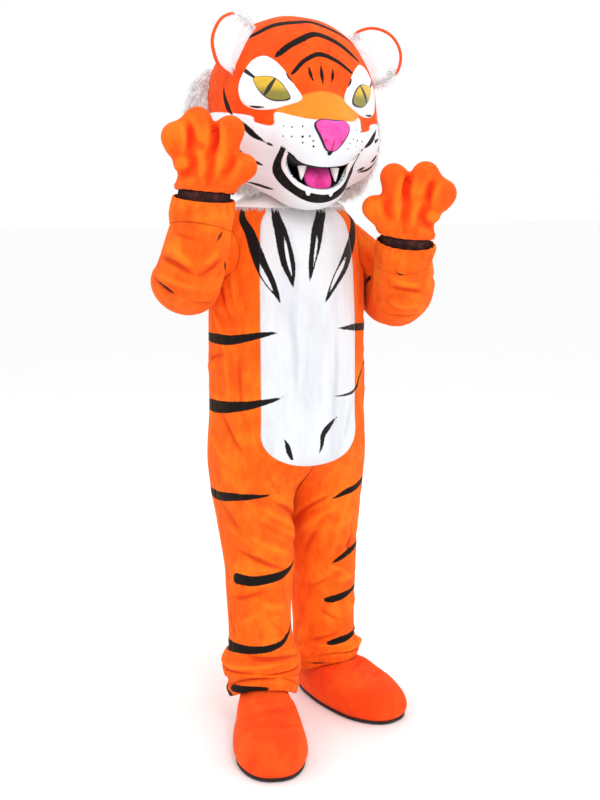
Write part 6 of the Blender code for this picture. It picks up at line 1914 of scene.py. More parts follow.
def make_shoe(side, finish, rubber):
    name = SIDE_NAME[side]
    turn = 2 * np.pi * np.arange(SHOE_COLUMNS) / SHOE_COLUMNS
    outline = shoe_outline(turn)
    out = np.stack([np.sin(turn), -np.cos(turn)], axis=-1)
    table = through([(ring.height, ring.inward, ring.swell) for ring in SHOE_RINGS], 7)
    rows, hollow = [], []
    for height, inward, swell in table:
        flat = outline + (out * ANKLE_HOLE - outline) * inward + out * swell
        rise = 0.010 * np.exp(-(((flat[:, 1] + 0.11) / 0.05) ** 2)) * smooth(inward, 0.2, 0.5)
        soft = 0.0016 * np.sin(5 * turn + 30 * height) * smooth(inward, 0.0, 0.2)
        folds = np.zeros(len(turn))
        for fold in SHOE_FOLDS:
            line = flat[:, 1] - fold.y - 0.25 * (flat[:, 0] - fold.across)
            away = (flat[:, 0] - fold.across) / 0.045
            folds += fold.depth * np.exp(-((line / fold.width) ** 2) - away**2)
        folds = folds * smooth(inward, 0.02, 0.15)
        tuck = 0.0026 * math.exp(-(((height - SHOE_RINGS[0].height) / 0.0035) ** 2))
        flat = flat - out * tuck + out * folds[:, None] * 0.4
        high = height + rise + soft + folds
        rows.append(np.stack([flat[:, 0], flat[:, 1], high], axis=-1))
        hollow.append(-folds - 0.4 * soft)
    rows = transformed(np.array(rows), shoe_frame(side))
    made = cloth(f"shoe_cover_{name}", rows, wraps=True, hollow=np.array(hollow))
    middle = shoe_frame(side) @ Vector((0, -0.10, 0.03))
    face_out(made, middle)
    thicken(made, 0.002)
    settle(made, [f"shoe_upper_{name}"], finish)
    middle_y = -(SHOE_TOE - SHOE_HEEL) / 2
    layers = []
    for height, grow in ((0.0, 0.02), (0.0, 0.5), (0.0, 0.955), (0.0008, 0.966), (0.003, 0.997), (0.006, 1.0),
                         (0.0088, 1.0), (0.0100, 0.995), (0.0100, 0.90)):
        x, y = outline[:, 0] * grow, middle_y + (outline[:, 1] - middle_y) * grow
        layers.append(np.stack([x, y, np.full(len(x), height)], axis=-1))
    layers = transformed(np.array(layers), shoe_frame(side))
    sole = cloth(f"sole_edge_{name}", layers, wraps=True)
    face_out(sole, shoe_frame(side) @ Vector((0, middle_y, 0.005)))
    settle(sole, [f"sole_{name}"], rubber)


# The head, in its own frame


def head_frame():
    turn = Matrix.Rotation(HEAD_TURN, 4, "Z")
    roll = Matrix.Rotation(HEAD_ROLL, 4, "Y")
    return Matrix.Translation(HEAD_CENTRE - Vector((0, 0, SHOULDER_HEIGHT))) @ turn @ roll


def head_depth(points):
    """Signed distance to the head's blended balls, negative inside."""
    total = np.zeros(len(points))
    for ball in HEAD_BALLS:
        for flip in (1, -1) if ball.mirrored else (1,):
            centre = np.array((ball.x * flip, ball.y, ball.z))
            size = np.array((ball.across, ball.deep, ball.tall))
            scaled = (points - centre) / size
            distance = (np.sqrt((scaled * scaled).sum(axis=1)) - 1) * size.min()
            total += np.exp(-distance / HEAD_BLEND)
    return -HEAD_BLEND * np.log(total)


def head_hit(starts, directions, reach):
    """Where lines from far outside first meet the head, as distances along them."""
    steps = np.linspace(0, reach, 40)
    low, high = np.zeros(len(starts)), np.full(len(starts), float(reach))
    found = np.zeros(len(starts), bool)
    for before, after in zip(steps[:-1], steps[1:]):
        inside = ~found & (head_depth(starts + directions * after) < 0)
        low[inside], high[inside] = before, after
        found |= inside
    for _ in range(13):
        middle = (low + high) / 2
        hit = head_depth(starts + directions * middle[:, None]) < 0
        high = np.where(hit & found, middle, high)
        low = np.where(hit | ~found, low, middle)
    return high


def head_star(directions):
    distance = head_hit(directions * 0.5, -directions, 0.5)
    return directions * (0.5 - distance)[:, None]


def head_front(spots):
    """Places on the front of the head, from places seen from the front."""
    spots = np.asarray(spots, float)
    starts = np.stack([spots[:, 0], np.full(len(spots), -0.6), spots[:, 1]], axis=-1)
    directions = np.tile((0.0, 1.0, 0.0), (len(spots), 1))
    return starts + directions * head_hit(starts, directions, 0.6)[:, None]


def head_round(spots):
    """Places on the head, from turns off the front in degrees and heights."""
    spots = np.asarray(spots, float)
    turn = np.radians(spots[:, 0])
    away = np.stack([np.sin(turn), -np.cos(turn), np.zeros(len(spots))], axis=-1)
    starts = away * 0.5 + spots[:, 1:2] * (0, 0, 1)
    return starts - away * head_hit(starts, -away, 0.5)[:, None]


def head_normals(points):
    shift = 0.002 * np.eye(3)
    return unit(np.stack([head_depth(points + s) - head_depth(points - s) for s in shift], axis=-1))


def head_lines(table, mirrored=False):
    lines = []
    for mark in table.values():
        fine = through(mark, 7)
        for flip in (1, -1) if mirrored else (1,):
            turned = fine * (flip, 1, 1)
            lines.append(np.column_stack([head_round(turned[:, :2]), fine[:, 2]]))
    return lines


HEAD_ROWS, HEAD_COLUMNS = 176, 280
HEAD_WALL = 0.008
# Seams of the head's cover, as outlines seen from the front: each is a shallow groove
HEAD_SEAM_DEPTH = 0.0016
CROWN_PILE = 0.008


def make_head():
    """The head's plush cover in one piece: crown, cheeks, muzzle and jaw, open at the mouth and neck."""
    i = np.arange(HEAD_ROWS + 1)
    polar = np.maximum(NECK_HOLE_ANGLE * i / HEAD_ROWS, 0.004)[:, None]
    even = 2 * np.pi * np.arange(HEAD_COLUMNS) / HEAD_COLUMNS
    turn = (even - 0.36 * np.sin(even))[None, :]
    directions = np.stack([
        np.sin(polar) * np.sin(turn), -np.sin(polar) * np.cos(turn), np.cos(polar) * np.ones_like(turn),
    ], axis=-1)
    rows = head_star(directions.reshape(-1, 3)).reshape(directions.shape)
    made = cloth("head_cover", rows, wraps=True, middle=(0, 0, 0))
    mouth = through(MOUTH_OUTLINE, 8, closed=True)
    cut_mouth(made, mouth)
    points = places(made)
    normals = head_normals(points)
    seen = points[:, (0, 2)]
    front = points[:, 1] < -0.06
    white = np.maximum(to_outline(seen, through(WHITE_OUTLINE, 6, closed=True)), points[:, 1] - FACE_BACK)
    bridge = np.where(front, to_outline(seen, through(BRIDGE_OUTLINE, 6, closed=True)), 0.05)
    lines = head_lines(HEAD_MARKS) + head_lines(CHEEK_MARKS, True) + head_lines(LEFT_CHEEK_MARKS)
    marks = nearest_mark(points, lines)
    seam = -HEAD_SEAM_DEPTH * np.exp(-((white / 0.0030) ** 2))
    middle = np.where(front & (points[:, 2] < -0.125) & (points[:, 2] > -0.165), points[:, 0], 0.05)
    parting = -0.0012 * np.exp(-((middle / 0.0035) ** 2))
    middle_back = np.where(points[:, 1] > 0.05, points[:, 0], 0.05)
    back_seam = -HEAD_SEAM_DEPTH * np.exp(-((middle_back / 0.0030) ** 2))
    hairs = fur_swell(points) + CROWN_PILE * smooth(points[:, 2], 0.110, 0.200)
    put(made, points + normals * (seam + parting + back_seam + hairs)[:, None])
    keep(made, "hollow", -(seam + parting + back_seam) * 1.5)
    keep(made, "white", white)
    keep(made, "bridge", bridge)
    keep(made, "mark", marks)
    made.data.transform(head_frame())
    add_rims(made, HEAD_WALL)
    made.data.shade_smooth()
    settle(made, ["head_crown", "muzzle_cheeks", "lower_jaw"], head_plush())


def fur_swell(points):
    """A gentle unevenness of the padding under the cover."""
    x, y, z = points.T
    return (
        0.0012 * np.sin(23 * x + 9 * z + 1.0) * np.sin(19 * y - 13 * z)
        + 0.0008 * np.sin(51 * x - 37 * y) * np.sin(43 * z + 1.7)
    )


def make_whisker_dots(finish):
    """The inked dots at the roots of the whiskers, each a small felt disc."""
    spots = np.array([(x * flip, z) for x, z, radius in WHISKER_DOTS for flip in (1, -1)])
    sizes = [radius for x, z, radius in WHISKER_DOTS for flip in (1, -1)]
    base = head_front(spots)
    normals = head_normals(base)
    form = bmesh.new()
    for place, normal, radius in zip(base, normals, sizes):
        made = bmesh.ops.create_uvsphere(form, u_segments=12, v_segments=6, radius=1)["verts"]
        turn = Vector(normal).to_track_quat("Z", "Y").to_matrix().to_4x4()
        shape = Matrix.Translation(place) @ turn @ Matrix.Diagonal((1.5 * radius, 1.5 * radius, 0.0012, 1))
        bmesh.ops.transform(form, matrix=head_frame() @ shape, verts=made)
    add_form("whisker_dots", form, finish, smooth=True)


def cut_mouth(made, outline):
    """Takes out the faces inside the mouth and brings the edge that is left onto its outline."""
    form = bmesh.new()
    form.from_mesh(made.data)
    form.verts.ensure_lookup_table()
    points = np.array([v.co[:] for v in form.verts])
    away = np.where(points[:, 1] < -0.10, to_outline(points[:, (0, 2)], outline), 1.0)
    inside = away < 0
    edge = set()
    for vert in form.verts:
        if inside[vert.index] and any(not inside[e.other_vert(vert).index] for e in vert.link_edges):
            edge.add(vert.index)
    edge = sorted(edge)
    foot = head_front(outline_foot(points[edge][:, (0, 2)], outline))
    for index, place in zip(edge, foot):
        form.verts[index].co = place
    on_edge = set(edge)
    gone = [
        face for face in form.faces
        if any(inside[v.index] and v.index not in on_edge for v in face.verts)
        or all(v.index in on_edge for v in face.verts)
    ]
    bmesh.ops.delete(form, geom=gone, context="FACES")
    form.to_mesh(made.data)
    form.free()


def add_rims(made, depth):
    """Turns each open edge inwards, so that the cover has a thick, rounded lip there."""
    form = bmesh.new()
    form.from_mesh(made.data)
    form.normal_update()
    for step, (inwards, along) in enumerate(((0.25, 0.10), (0.35, -0.02), (0.40, -0.06))):
        edges = [edge for edge in form.edges if edge.is_boundary]
        old = {vert for edge in edges for vert in edge.verts}
        normals = {vert: vert.normal.copy() for vert in old} if step == 0 else carried
        new = bmesh.ops.extrude_edge_only(form, edges=edges)["geom"]
        fresh = [item for item in new if isinstance(item, bmesh.types.BMVert)]
        carried = {}
        tree = {tuple(round(c, 6) for c in vert.co): vert for vert in old}
        for vert in fresh:
            source = tree[tuple(round(c, 6) for c in vert.co)]
            carried[vert] = normals[source]
        for vert in fresh:
            vert.co = vert.co - carried[vert] * depth * inwards
    form.to_mesh(made.data)
    form.free()


def disc(name, outline, middle, rings, place_of, lift, thickness, dome, lines=()):
    """A domed patch on the face, from its middle to its outline, with a turned-in edge."""
    share = np.linspace(0, 1, rings + 1)[1:]
    flat = [middle + (outline - middle) * s for s in share]
    rows = np.array([np.tile(middle, (len(outline), 1))] + flat)
    base = place_of(rows.reshape(-1, 2)).reshape(rows.shape[0], -1, 3)
    normals = head_normals(base.reshape(-1, 3)).reshape(base.shape)
    inward = np.concatenate([[0], share])[:, None]
    edge = 0.0022 * np.clip((inward - 0.90) / 0.10, 0, 1) ** 2
    raised = lift + thickness + dome * (1 - inward**2) - edge
    points = base + normals * raised[..., None]
    skirt = base[-1] + normals[-1] * (lift - 0.002)
    points = np.concatenate([points, skirt[None]])
    marks = nearest_mark(base.reshape(-1, 3), lines).reshape(base.shape[:2])
    marks = np.concatenate([marks, marks[-1:]])
    high = np.concatenate([base[..., 2], base[-1:, :, 2]])
    made = cloth(name, points, wraps=True, rim=rim_of(points), mark=marks, high=high)
    face_out(made, (0, 0, 0))
    return made


def rim_of(points):
    """Distance to the patch's outline, negative inside, for each of its places."""
    edge = points[-2]
    gap = np.linalg.norm(points[:-1] - edge[None], axis=2)
    return -np.concatenate([gap, np.zeros((1, points.shape[1]))])


def make_eye(side, white_finish, iris_finish):
    """A felt eye: a white patch with inked ticks at its edge, and a gold iris with a slit pupil."""
    name = SIDE_NAME[side]
    parts = (
        ("eye_white", "white_plush", EYE_OUTLINE, EYE_TICKS, -0.003, 0.0055, 0.003, white_finish),
        ("iris", "eye_gold", IRIS_OUTLINE, {"pupil": PUPIL}, 0.0065, 0.0012, 0.0025, iris_finish),
    )
    for part, slot, outline, marks, lift, thickness, dome, finish in parts:
        edge = through(outline, 10, closed=True) * (side, 1)
        lines = []
        for mark in marks.values():
            fine = through(mark, 7)
            lines.append(np.column_stack([head_round(fine[:, :2] * (side, 1)), fine[:, 2]]))
        middle = edge.mean(axis=0)
        made = disc(f"{part}_patch_{name}", edge, middle, 30, head_round, lift, thickness, dome, lines)
        finish_patch(made, f"{part}_{name}", finish)


def finish_patch(made, node, finish):
    made.data.transform(head_frame())
    made.data.shade_smooth()
    settle(made, [node], finish)


def make_nose(finish):
    outline = through(NOSE_OUTLINE, 9, closed=True)
    middle = np.array((0.0, -0.078))
    made = disc("nose_patch", outline, middle, 40, head_front, -0.003, 0.006, 0.009)
    points = places(made)
    normals = head_normals(points)
    low = smooth(points[:, 2], -0.088, -0.108)
    crease = -0.0035 * np.exp(-((points[:, 0] / 0.0026) ** 2)) * low
    nostril = np.zeros(len(points))
    for flip in (1, -1):
        place = head_front([(flip * 0.021, -0.099)])[0]
        gap = np.linalg.norm((points - place)[:, (0, 2)], axis=1)
        nostril -= 0.0026 * np.exp(-((gap / 0.0055) ** 2))
    depth = crease + nostril
    put(made, points + normals * depth[:, None])
    keep(made, "hollow", -depth)
    finish_patch(made, "nose", finish)
    philtrum(dark_felt("philtrum_felt"))


def philtrum(finish):
    """The black tip under the nose."""
    line = through([(0, -0.114, 0.0030), (0, -0.120, 0.0060), (0, -0.127, 0.0062), (0, -0.132, 0.0030)], 8)
    base = head_front(line[:, :2])
    normals = head_normals(base)
    across = np.linspace(-1, 1, 7)
    rows = base[:, None, :] + across[None, :, None] * line[:, 2][:, None, None] * np.array((1.0, 0, 0))
    rows = rows + normals[:, None, :] * (0.0010 - 0.0012 * across**2)[None, :, None]
    made = cloth("philtrum", rows, middle=(0, 0.3, 0))
    made.data.transform(head_frame())
    settle(made, [], finish)


def lower_u(width, top, bottom, count):
    turn = np.pi * np.arange(count + 1) / count
    return np.stack([-width * np.cos(turn), top + (bottom - top) * np.sin(turn) ** 0.9], axis=-1)


def make_lip(felt, gum):
    """The black lip round the lower half of the mouth, and the white gum inside it."""
    count = 150
    inside, outside = lower_u(0.0975, -0.120, -0.2265, count), lower_u(0.119, -0.106, -0.2480, count)
    gum_in = lower_u(0.0905, -0.131, -0.2175, count)
    share = np.arange(count + 1)[:, None] / count
    closing = smooth(share, 0.86, 0.96) + 0.62 * smooth(share, 0.16, 0.0)
    outside = outside + (inside - outside) * closing * 0.95
    gum_in = gum_in + (np.array((0.0, -0.170)) - gum_in) * 0.24 * smooth(share, 0.80, 0.97)
    notch = np.zeros(count + 1)
    for at, size in ((0.395, 0.0095), (0.600, 0.0085)):
        notch += size * np.exp(-(((np.arange(count + 1) / count - at) / 0.020) ** 4))
    across = np.linspace(0, 1, 9)
    for name, slot, first, second, lift, finish, node in (
        ("lip_patch", "black_felt", inside, outside, 0.0022, felt, ["lip_band"]),
        ("gum_patch", "white_plush", gum_in, inside, 0.0016, gum, []),
    ):
        rows = first[None] + (second - first)[None] * across[:, None, None]
        base = head_front(rows.reshape(-1, 2)).reshape(*rows.shape[:2], 3)
        normals = head_normals(base.reshape(-1, 3)).reshape(base.shape)
        dome = lift * (1 - (2 * across - 1) ** 4) + 0.0004
        points = base + normals * dome[:, None, None]
        if slot == "white_plush":
            points[..., 2] += notch[None, :] * across[:, None] ** 3 * -1
        made = cloth(name, points, middle=(0, 0, 0))
        made.data.transform(head_frame())
        settle(made, node, finish)


def make_fang(side, finish):
    """An upper fang: a soft felt tooth hanging behind the lip."""
    root = head_front([(side * 0.044, -0.172)])[0]
    place = Matrix.Translation((root[0], root[1] + 0.022, -0.1765)) @ Matrix.Rotation(-0.1, 4, "X")
    rows = []
    turn = 2 * np.pi * np.arange(32) / 32
    for share in np.linspace(0, 1, 24):
        radius = 0.0112 * (1 - share) ** 0.72 + 0.0003
        bend = side * 0.002 * share * share
        rows.append(np.stack([radius * np.cos(turn) + bend, radius * np.sin(turn),
                              np.full(len(turn), 0.017 - 0.034 * share)], axis=-1))
    made = cloth(f"tooth_{SIDE_NAME[side]}", transformed(np.array(rows), place), wraps=True)
    face_out(made, place.translation)
    made.data.transform(head_frame())
    settle(made, [f"fang_{SIDE_NAME[side]}"], finish)


def make_tongue(finish):
    """A flat rounded tongue with a groove down its middle."""
    front = head_front([(0, -0.19)])[0]
    place = Matrix.Translation((0.0, front[1] + 0.036, -0.1830)) @ Matrix.Rotation(1.05, 4, "X")
    polar = np.linspace(0.02, np.pi - 0.02, 40)[:, None]
    turn = (2 * np.pi * np.arange(64) / 64)[None, :]
    x, y = (np.sin(polar) * np.sign(form(turn)) * np.abs(form(turn)) ** 0.72 for form in (np.cos, np.sin))
    z = np.cos(polar) * np.ones_like(turn)
    groove = 0.22 * np.exp(-((x / 0.16) ** 2)) * np.clip(z, 0, 1) * smooth(y, 0.9, -0.4)
    points = np.stack([0.036 * x, 0.038 * y, 0.016 * (z - groove)], axis=-1)
    made = cloth("tongue_cloth", transformed(points, place), wraps=True)
    face_out(made, place.translation)
    made.data.transform(head_frame())
    settle(made, ["tongue"], finish)


def make_ear(side, fur):
    """A round ear: a padded orange back with a rolled rim, and a white dished front."""
    name = SIDE_NAME[side]
    turn = Matrix.Rotation(-side * EAR_TURN, 4, "Z") @ Matrix.Rotation(side * EAR_LEAN, 4, "Y")
    place = head_frame() @ Matrix.Translation((side * EAR_CENTRE.x, EAR_CENTRE.y, EAR_CENTRE.z)) @ turn
    around = 2 * np.pi * np.arange(96) / 96
    for piece, slot, profile, finish in (
        ("ear_back", "orange_plush",
         [(0.0, 0.024), (0.30, 0.0228), (0.60, 0.0190), (0.85, 0.0125), (0.97, 0.0050), (1.0, 0.0),
          (0.985, -0.0035), (0.95, -0.0050), (0.915, -0.0030), (0.90, 0.002)],
         ear_plush(f"ear_back_plush_{name}", False)),
        ("ear_front", "white_plush",
         [(0.0, -0.0085), (0.30, -0.0080), (0.60, -0.0066), (0.80, -0.0050), (0.90, -0.0020), (0.925, 0.001)],
         ear_plush(f"ear_front_plush_{name}", True)),
    ):
        fine = through(profile, 5)
        rows = []
        for out, deep in fine:
            out = max(out, 1e-4)
            ripple = 0.0010 * np.sin(7 * around + 3 * out) * out
            rows.append(np.stack([EAR_HALF_WIDTH * out * np.sin(around), deep + ripple,
                                  EAR_HALF_HEIGHT * out * np.cos(around)], axis=-1))
        grid = np.array(rows)
        across = np.degrees((around[None, :] - EAR_RIM_MIDDLE[side] + np.pi) % (2 * np.pi) - np.pi)
        turned = np.maximum(np.abs(across) - EAR_RIM_REACH, 0) * 0.001
        white = np.where(grid[..., 1] < 0.0100, turned, 0.0) - 0.002
        made = cloth(f"{piece}_cloth_{name}", transformed(grid, place), wraps=True, white=white)
        away = 1 if piece == "ear_back" else -1
        face_out(made, place @ Vector((0, -0.05 * away, 0)))
        trim_to_head(made)
        settle(made, [f"{piece}_{name}"], finish)
    make_ear_tufts(side, place, fur)


def make_ear_tufts(side, place, finish):
    """The white fur inside an ear, which hangs over its rim where that isn't orange."""
    chance = np.random.default_rng(40 + side)
    around = chance.uniform(0, 2 * np.pi, EAR_TUFTS)
    out = chance.uniform(0.30, 0.97, EAR_TUFTS) ** 0.7
    across = np.degrees((around - EAR_RIM_MIDDLE[side] + np.pi) % (2 * np.pi) - np.pi)
    free = smooth(np.abs(across), EAR_RIM_REACH - 10, EAR_RIM_REACH + 16)
    out = np.minimum(out, 0.84 + 0.13 * free)
    roots = np.stack([EAR_HALF_WIDTH * out * np.sin(around), -0.0085 + 0.009 * out**3,
                      EAR_HALF_HEIGHT * out * np.cos(around)], axis=-1)
    spread = chance.normal(0, 0.25, (EAR_TUFTS, 3))
    directions = np.stack([np.sin(around), np.full(EAR_TUFTS, -0.30), np.cos(around)], axis=-1) + spread
    length = chance.uniform(0.006, 0.015, EAR_TUFTS) * (0.55 + 0.45 * free)
    length = np.minimum(length, 0.004 + (0.93 + 0.20 * free - out) * EAR_HALF_WIDTH)
    roots = transformed(roots, place)
    back = np.array(head_frame().inverted())
    outside = (head_depth(roots @ back[:3, :3].T + back[:3, 3]) > 0.001) & (free > 0.04) & (out > 0.66)
    directions = unit(directions) @ np.array(place.to_3x3()).T
    locks(
        f"ear_tufts_{SIDE_NAME[side]}", roots[outside], directions[outside], length[outside],
        chance.uniform(0.0005, 0.0012, outside.sum()), np.array((0.0, 0.0, -0.15)), [], finish,
    )


def trim_to_head(made):
    """Takes out what lies well inside the head."""
    form = bmesh.new()
    form.from_mesh(made.data)
    back = head_frame().inverted()
    points = np.array([(back @ v.co)[:] for v in form.verts])
    deep = head_depth(points) < -0.005
    form.verts.ensure_lookup_table()
    bmesh.ops.delete(form, geom=[form.verts[i] for i in np.flatnonzero(deep)], context="VERTS")
    form.to_mesh(made.data)
    form.free()


# Long white fur: locks of hair set on a soft base


def locks(name, roots, directions, lengths, radius, droop, nodes, finish, base=None):
    """Tapered three-sided locks, each bent over by its droop, with the base they grow from."""
    roots, directions = np.asarray(roots), unit(np.asarray(directions))
    count = len(roots)
    steps = np.linspace(0, 1, 4)
    side = unit(np.cross(directions, np.tile((0.31, 0.17, 0.93), (count, 1))))
    other = np.cross(directions, side)
    spine = []
    for at in steps:
        place = roots + directions * (lengths * at)[:, None] + droop * (lengths * at * at)[:, None]
        spine.append(place)
    points, faces = [], []
    thick = (1.0, 0.85, 0.50, 0.0)
    for k, (centre, wide) in enumerate(zip(spine, thick)):
        for corner in range(3 if k < 3 else 1):
            turn = 2 * math.pi * corner / 3
            out = side * math.cos(turn) + other * math.sin(turn)
            points.append(centre + out * radius[:, None] * wide)
    points = np.stack(points, axis=1)
    own = []
    for k in range(2):
        for c in range(3):
            d = (c + 1) % 3
            own.append((3 * k + c, 3 * k + d, 3 * k + 3 + d, 3 * k + 3 + c))
    for c in range(3):
        own.append((6 + c, 6 + (c + 1) % 3, 9))
    flat = points.reshape(-1, 3)
    for lock in range(count):
        start = lock * 10
        faces.extend(tuple(start + index for index in face) for face in own)
    mesh = bpy.data.meshes.new(name)
    mesh.from_pydata(flat.tolist(), [], faces)
    if base is not None:
        form = bmesh.new()
        form.from_mesh(mesh)
        form.from_mesh(base.data)
        form.to_mesh(mesh)
        form.free()
        bpy.data.objects.remove(base)
    mesh.shade_smooth()
    made = bpy.data.objects.new(name, mesh)
    bpy.context.scene.collection.objects.link(made)
    settle(made, nodes, finish)
    return made


RUFF_LOCKS = 9000
NECK_LOCKS = 9000
NECK_BASE_END = 1.372


def ruff_values(at):
    keyed = namedtuple("Keyed", "at value")
    found = {}
    for field in RuffPoint._fields:
        rows = [keyed(i / (len(RUFF) - 1), getattr(p, field)) for i, p in enumerate(RUFF)]
        found[field] = column(rows, "at", "value")(at)
    return found


def make_ruff(side, finish, seed):
    """The long fur at a cheek: a soft crescent whose locks sweep back and down."""
    chance = np.random.default_rng(seed)
    at = np.linspace(0, 1, 49)
    value = ruff_values(at)
    points = np.stack([value["x"], value["y"], value["z"]], axis=-1)
    run = unit(np.gradient(points, axis=0))
    away = unit(points)
    away = unit(away - run * (away * run).sum(axis=1)[:, None])
    across = np.cross(run, away)
    turn = 2 * np.pi * np.arange(40) / 40
    shrink = 0.80

    def ring_place(k, angle):
        wide = value["half_width"][k][..., None] * shrink
        tall = value["standing"][k][..., None] * shrink
        return points[k] + across[k] * wide * np.cos(angle)[..., None] + away[k] * tall * np.sin(angle)[..., None]

    rows = np.array([ring_place(np.full(len(turn), k), turn) for k in range(len(at))])
    rows = rows * (side, 1, 1)
    base = cloth(f"ruff_base_{SIDE_NAME[side]}", rows, wraps=True)
    face_out_of_line(base, rows.mean(axis=1))
    weight = value["half_width"] / value["half_width"].sum()
    k = chance.choice(len(at), RUFF_LOCKS, p=weight)
    angle = chance.uniform(0, 2 * np.pi, RUFF_LOCKS)
    roots = ring_place(k, angle)
    out = across[k] * np.cos(angle)[:, None] + away[k] * np.sin(angle)[:, None]
    spread = chance.normal(0, 0.16, (RUFF_LOCKS, 3))
    along_run = chance.uniform(0.25, 1.05, RUFF_LOCKS)[:, None]
    directions = out * 0.42 + run[k] * along_run + spread + np.array((0.10, 0.10, -0.15))
    outside = head_depth(roots) > -0.004
    length = chance.uniform(0.016, 0.034, RUFF_LOCKS) * (0.55 + 0.45 * value["half_width"][k] / 0.048)
    flip = np.array((side, 1, 1))
    base.data.transform(head_frame())
    turned = np.array(head_frame().to_3x3())
    locks(
        f"ruff_fur_{SIDE_NAME[side]}",
        transformed(roots[outside] * flip, head_frame()),
        (directions[outside] * flip) @ turned.T,
        length[outside],
        chance.uniform(0.0005, 0.0013, outside.sum()),
        np.array((0.0, 0.05, -0.22)),
        [f"cheek_ruff_{SIDE_NAME[side]}"], finish, base,
    )


def make_neck_fur(finish):
    """The fur skirt of the head, which stands round the suit's neck."""
    chance = np.random.default_rng(71)
    table = np.array([(1.412, 0.0133), (1.398, 0.002), (1.374, 0.0), (1.345, 0.0)])
    fine = through(table, 7)
    count = 160
    turn = 2 * np.pi * np.arange(count) / count
    rows, normals = [], []
    for height, raised in fine:
        lower = 0.016 * np.maximum(0.0, np.cos(turn)) * smooth(height, 1.374, 1.345)
        share = np.abs(np.arctan2(np.sin(turn), np.cos(turn))) / np.pi
        tall = height - lower
        point = np.where((np.sin(turn) >= 0)[:, None], suit_point(LEFT, share, tall), suit_point(RIGHT, share, tall))
        normal = np.where((np.sin(turn) >= 0)[:, None], suit_normal(LEFT, share, tall), suit_normal(RIGHT, share, tall))
        point[:, 2] += raised - SHOULDER_HEIGHT
        rows.append(point + normal * (NECK_FUR_LIFT + 0.003))
        normals.append(normal)
    rows, normals = np.array(rows), np.array(normals)
    short = fine[:, 0] > NECK_BASE_END
    base = cloth("neck_base", rows[short], wraps=True, middle=(0, 0, -0.1))
    thicken(base, 0.0025)
    i = chance.integers(0, int(short.sum()), NECK_LOCKS)
    j = chance.integers(0, count, NECK_LOCKS)
    roots, out = rows[i, j], normals[i, j]
    spread = chance.normal(0, 0.12, (NECK_LOCKS, 3))
    directions = out * 0.24 + np.array((0, 0, -1.0)) + spread
    locks(
        "neck_fur_locks", roots, directions, chance.uniform(0.006, 0.016, NECK_LOCKS),
        chance.uniform(0.0005, 0.0012, NECK_LOCKS), np.array((0.0, 0.0, -0.10)),
        ["neck_fur"], finish, base,
    )


# Light, floor and camera


CAMERA_TURN = math.radians(-26.8)
CAMERA_REACH = 3.2
CAMERA_HEIGHT = 1.42
FOCAL_PIXELS = 1172
PHOTO_HEIGHT = 800
AIM_DOWN = math.atan((400 - 191) / FOCAL_PIXELS)
AIM_LEFT = math.atan((300 - 287) / FOCAL_PIXELS)


def make_camera():
    ahead = Vector((-math.sin(CAMERA_TURN), math.cos(CAMERA_TURN), 0))
    right = Vector((math.cos(CAMERA_TURN), math.sin(CAMERA_TURN), 0))
    level = ahead * math.cos(AIM_LEFT) + right * math.sin(AIM_LEFT)
    look = level * math.cos(AIM_DOWN) + Vector((0, 0, -math.sin(AIM_DOWN)))
    lens = bpy.data.cameras.new("camera")
    lens.sensor_fit = "VERTICAL"
    lens.sensor_height = 36
    lens.lens = 36 * FOCAL_PIXELS / PHOTO_HEIGHT
    camera = bpy.data.objects.new("camera", lens)
    camera.location = -ahead * CAMERA_REACH + Vector((0, 0, CAMERA_HEIGHT - SHOULDER_HEIGHT))
    camera.rotation_euler = look.to_track_quat("-Z", "Y").to_euler()
    bpy.context.scene.collection.objects.link(camera)
    bpy.context.scene.camera = camera


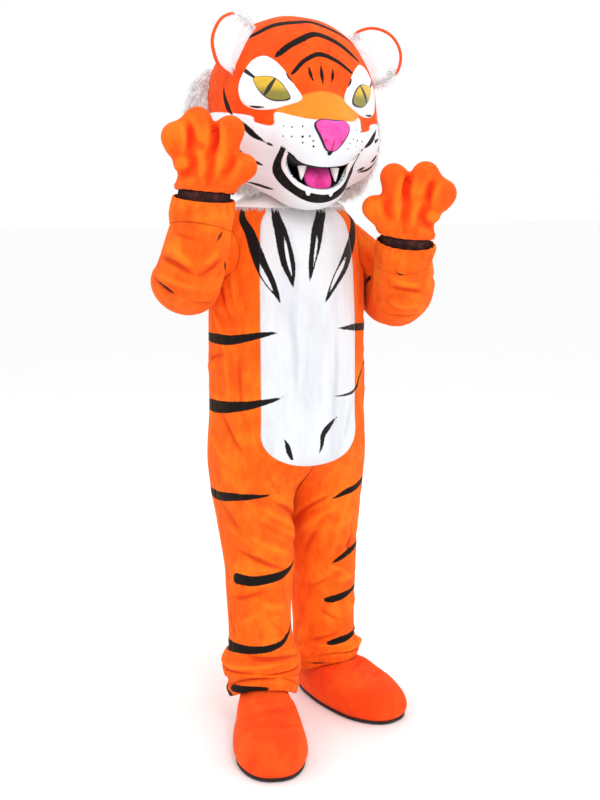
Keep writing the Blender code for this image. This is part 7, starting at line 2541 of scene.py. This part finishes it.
def make_floor():
    bpy.ops.object.select_all(action="DESELECT")
    bpy.ops.mesh.primitive_plane_add(size=80, location=(0, 0, -SHOULDER_HEIGHT))
    floor = bpy.context.object
    floor.name = "floor"
    finish = Finish("floor_finish", 0.85, specular=0.1)
    colour = finish.mix(finish.ramp(finish.noise(3, 3), 0.4, 0.6, 0.0, 0.3), (0.97, 0.97, 0.97), (0.95, 0.95, 0.95))
    floor.data.materials.append(finish.done(colour))


Lamp = namedtuple("Lamp", "name x y z size power")
LAMPS = (
    Lamp("key", -0.6, -3.0, 2.0, 1.1, 32),
    Lamp("fill", 2.4, -2.4, 0.6, 2.2, 4),
    Lamp("top", 0.2, -0.4, 2.6, 1.6, 13),
    Lamp("rim", 1.6, 2.6, 1.6, 1.4, 14),
    Lamp("rim_right", -2.0, 2.2, 1.2, 1.4, 12),
)


def make_lights():
    for lamp in LAMPS:
        light = bpy.data.lights.new(lamp.name, "AREA")
        light.energy = lamp.power
        light.size = lamp.size
        made = bpy.data.objects.new(lamp.name, light)
        made.location = (lamp.x, lamp.y, lamp.z)
        aim = Vector((0, 0, -0.45)) - made.location
        made.rotation_euler = aim.to_track_quat("-Z", "Y").to_euler()
        bpy.context.scene.collection.objects.link(made)
    world = bpy.data.worlds.new("studio")
    world.use_nodes = True
    backdrop = world.node_tree.nodes["Background"]
    backdrop.inputs["Color"].default_value = (1.0, 1.0, 1.0, 1)
    backdrop.inputs["Strength"].default_value = 1.0
    bpy.context.scene.world = world


bpy.context.scene.view_settings.view_transform = "Standard"
make_camera()
make_floor()
make_lights()
make_suit()
plush = suit_plush()
mitts = mitt_plush()
shoes = shoe_plush()
band = band_knit()
rubber = sole_rubber()
fur = long_fur()
eye_felt, iris_felt, tooth = eye_white(), iris_gold(), tooth_felt()
for side in (RIGHT, LEFT):
    make_sleeve(side, plush)
    make_band(side, band)
    make_mitt(side, mitts)
    make_shoe(side, shoes, rubber)
    make_eye(side, eye_felt, iris_felt)
    make_fang(side, tooth)
    make_ear(side, fur)
    make_ruff(side, fur, 20 + side)
make_head()
make_whisker_dots(dark_felt("dot_felt"))
make_nose(nose_felt())
make_lip(dark_felt("lip_felt"), tooth)
make_tongue(tongue_felt())
make_neck_fur(fur)
cup = bpy.data.objects["mouth_cup"]
cup.material_slots[0].material = dark_felt("mouth_felt")
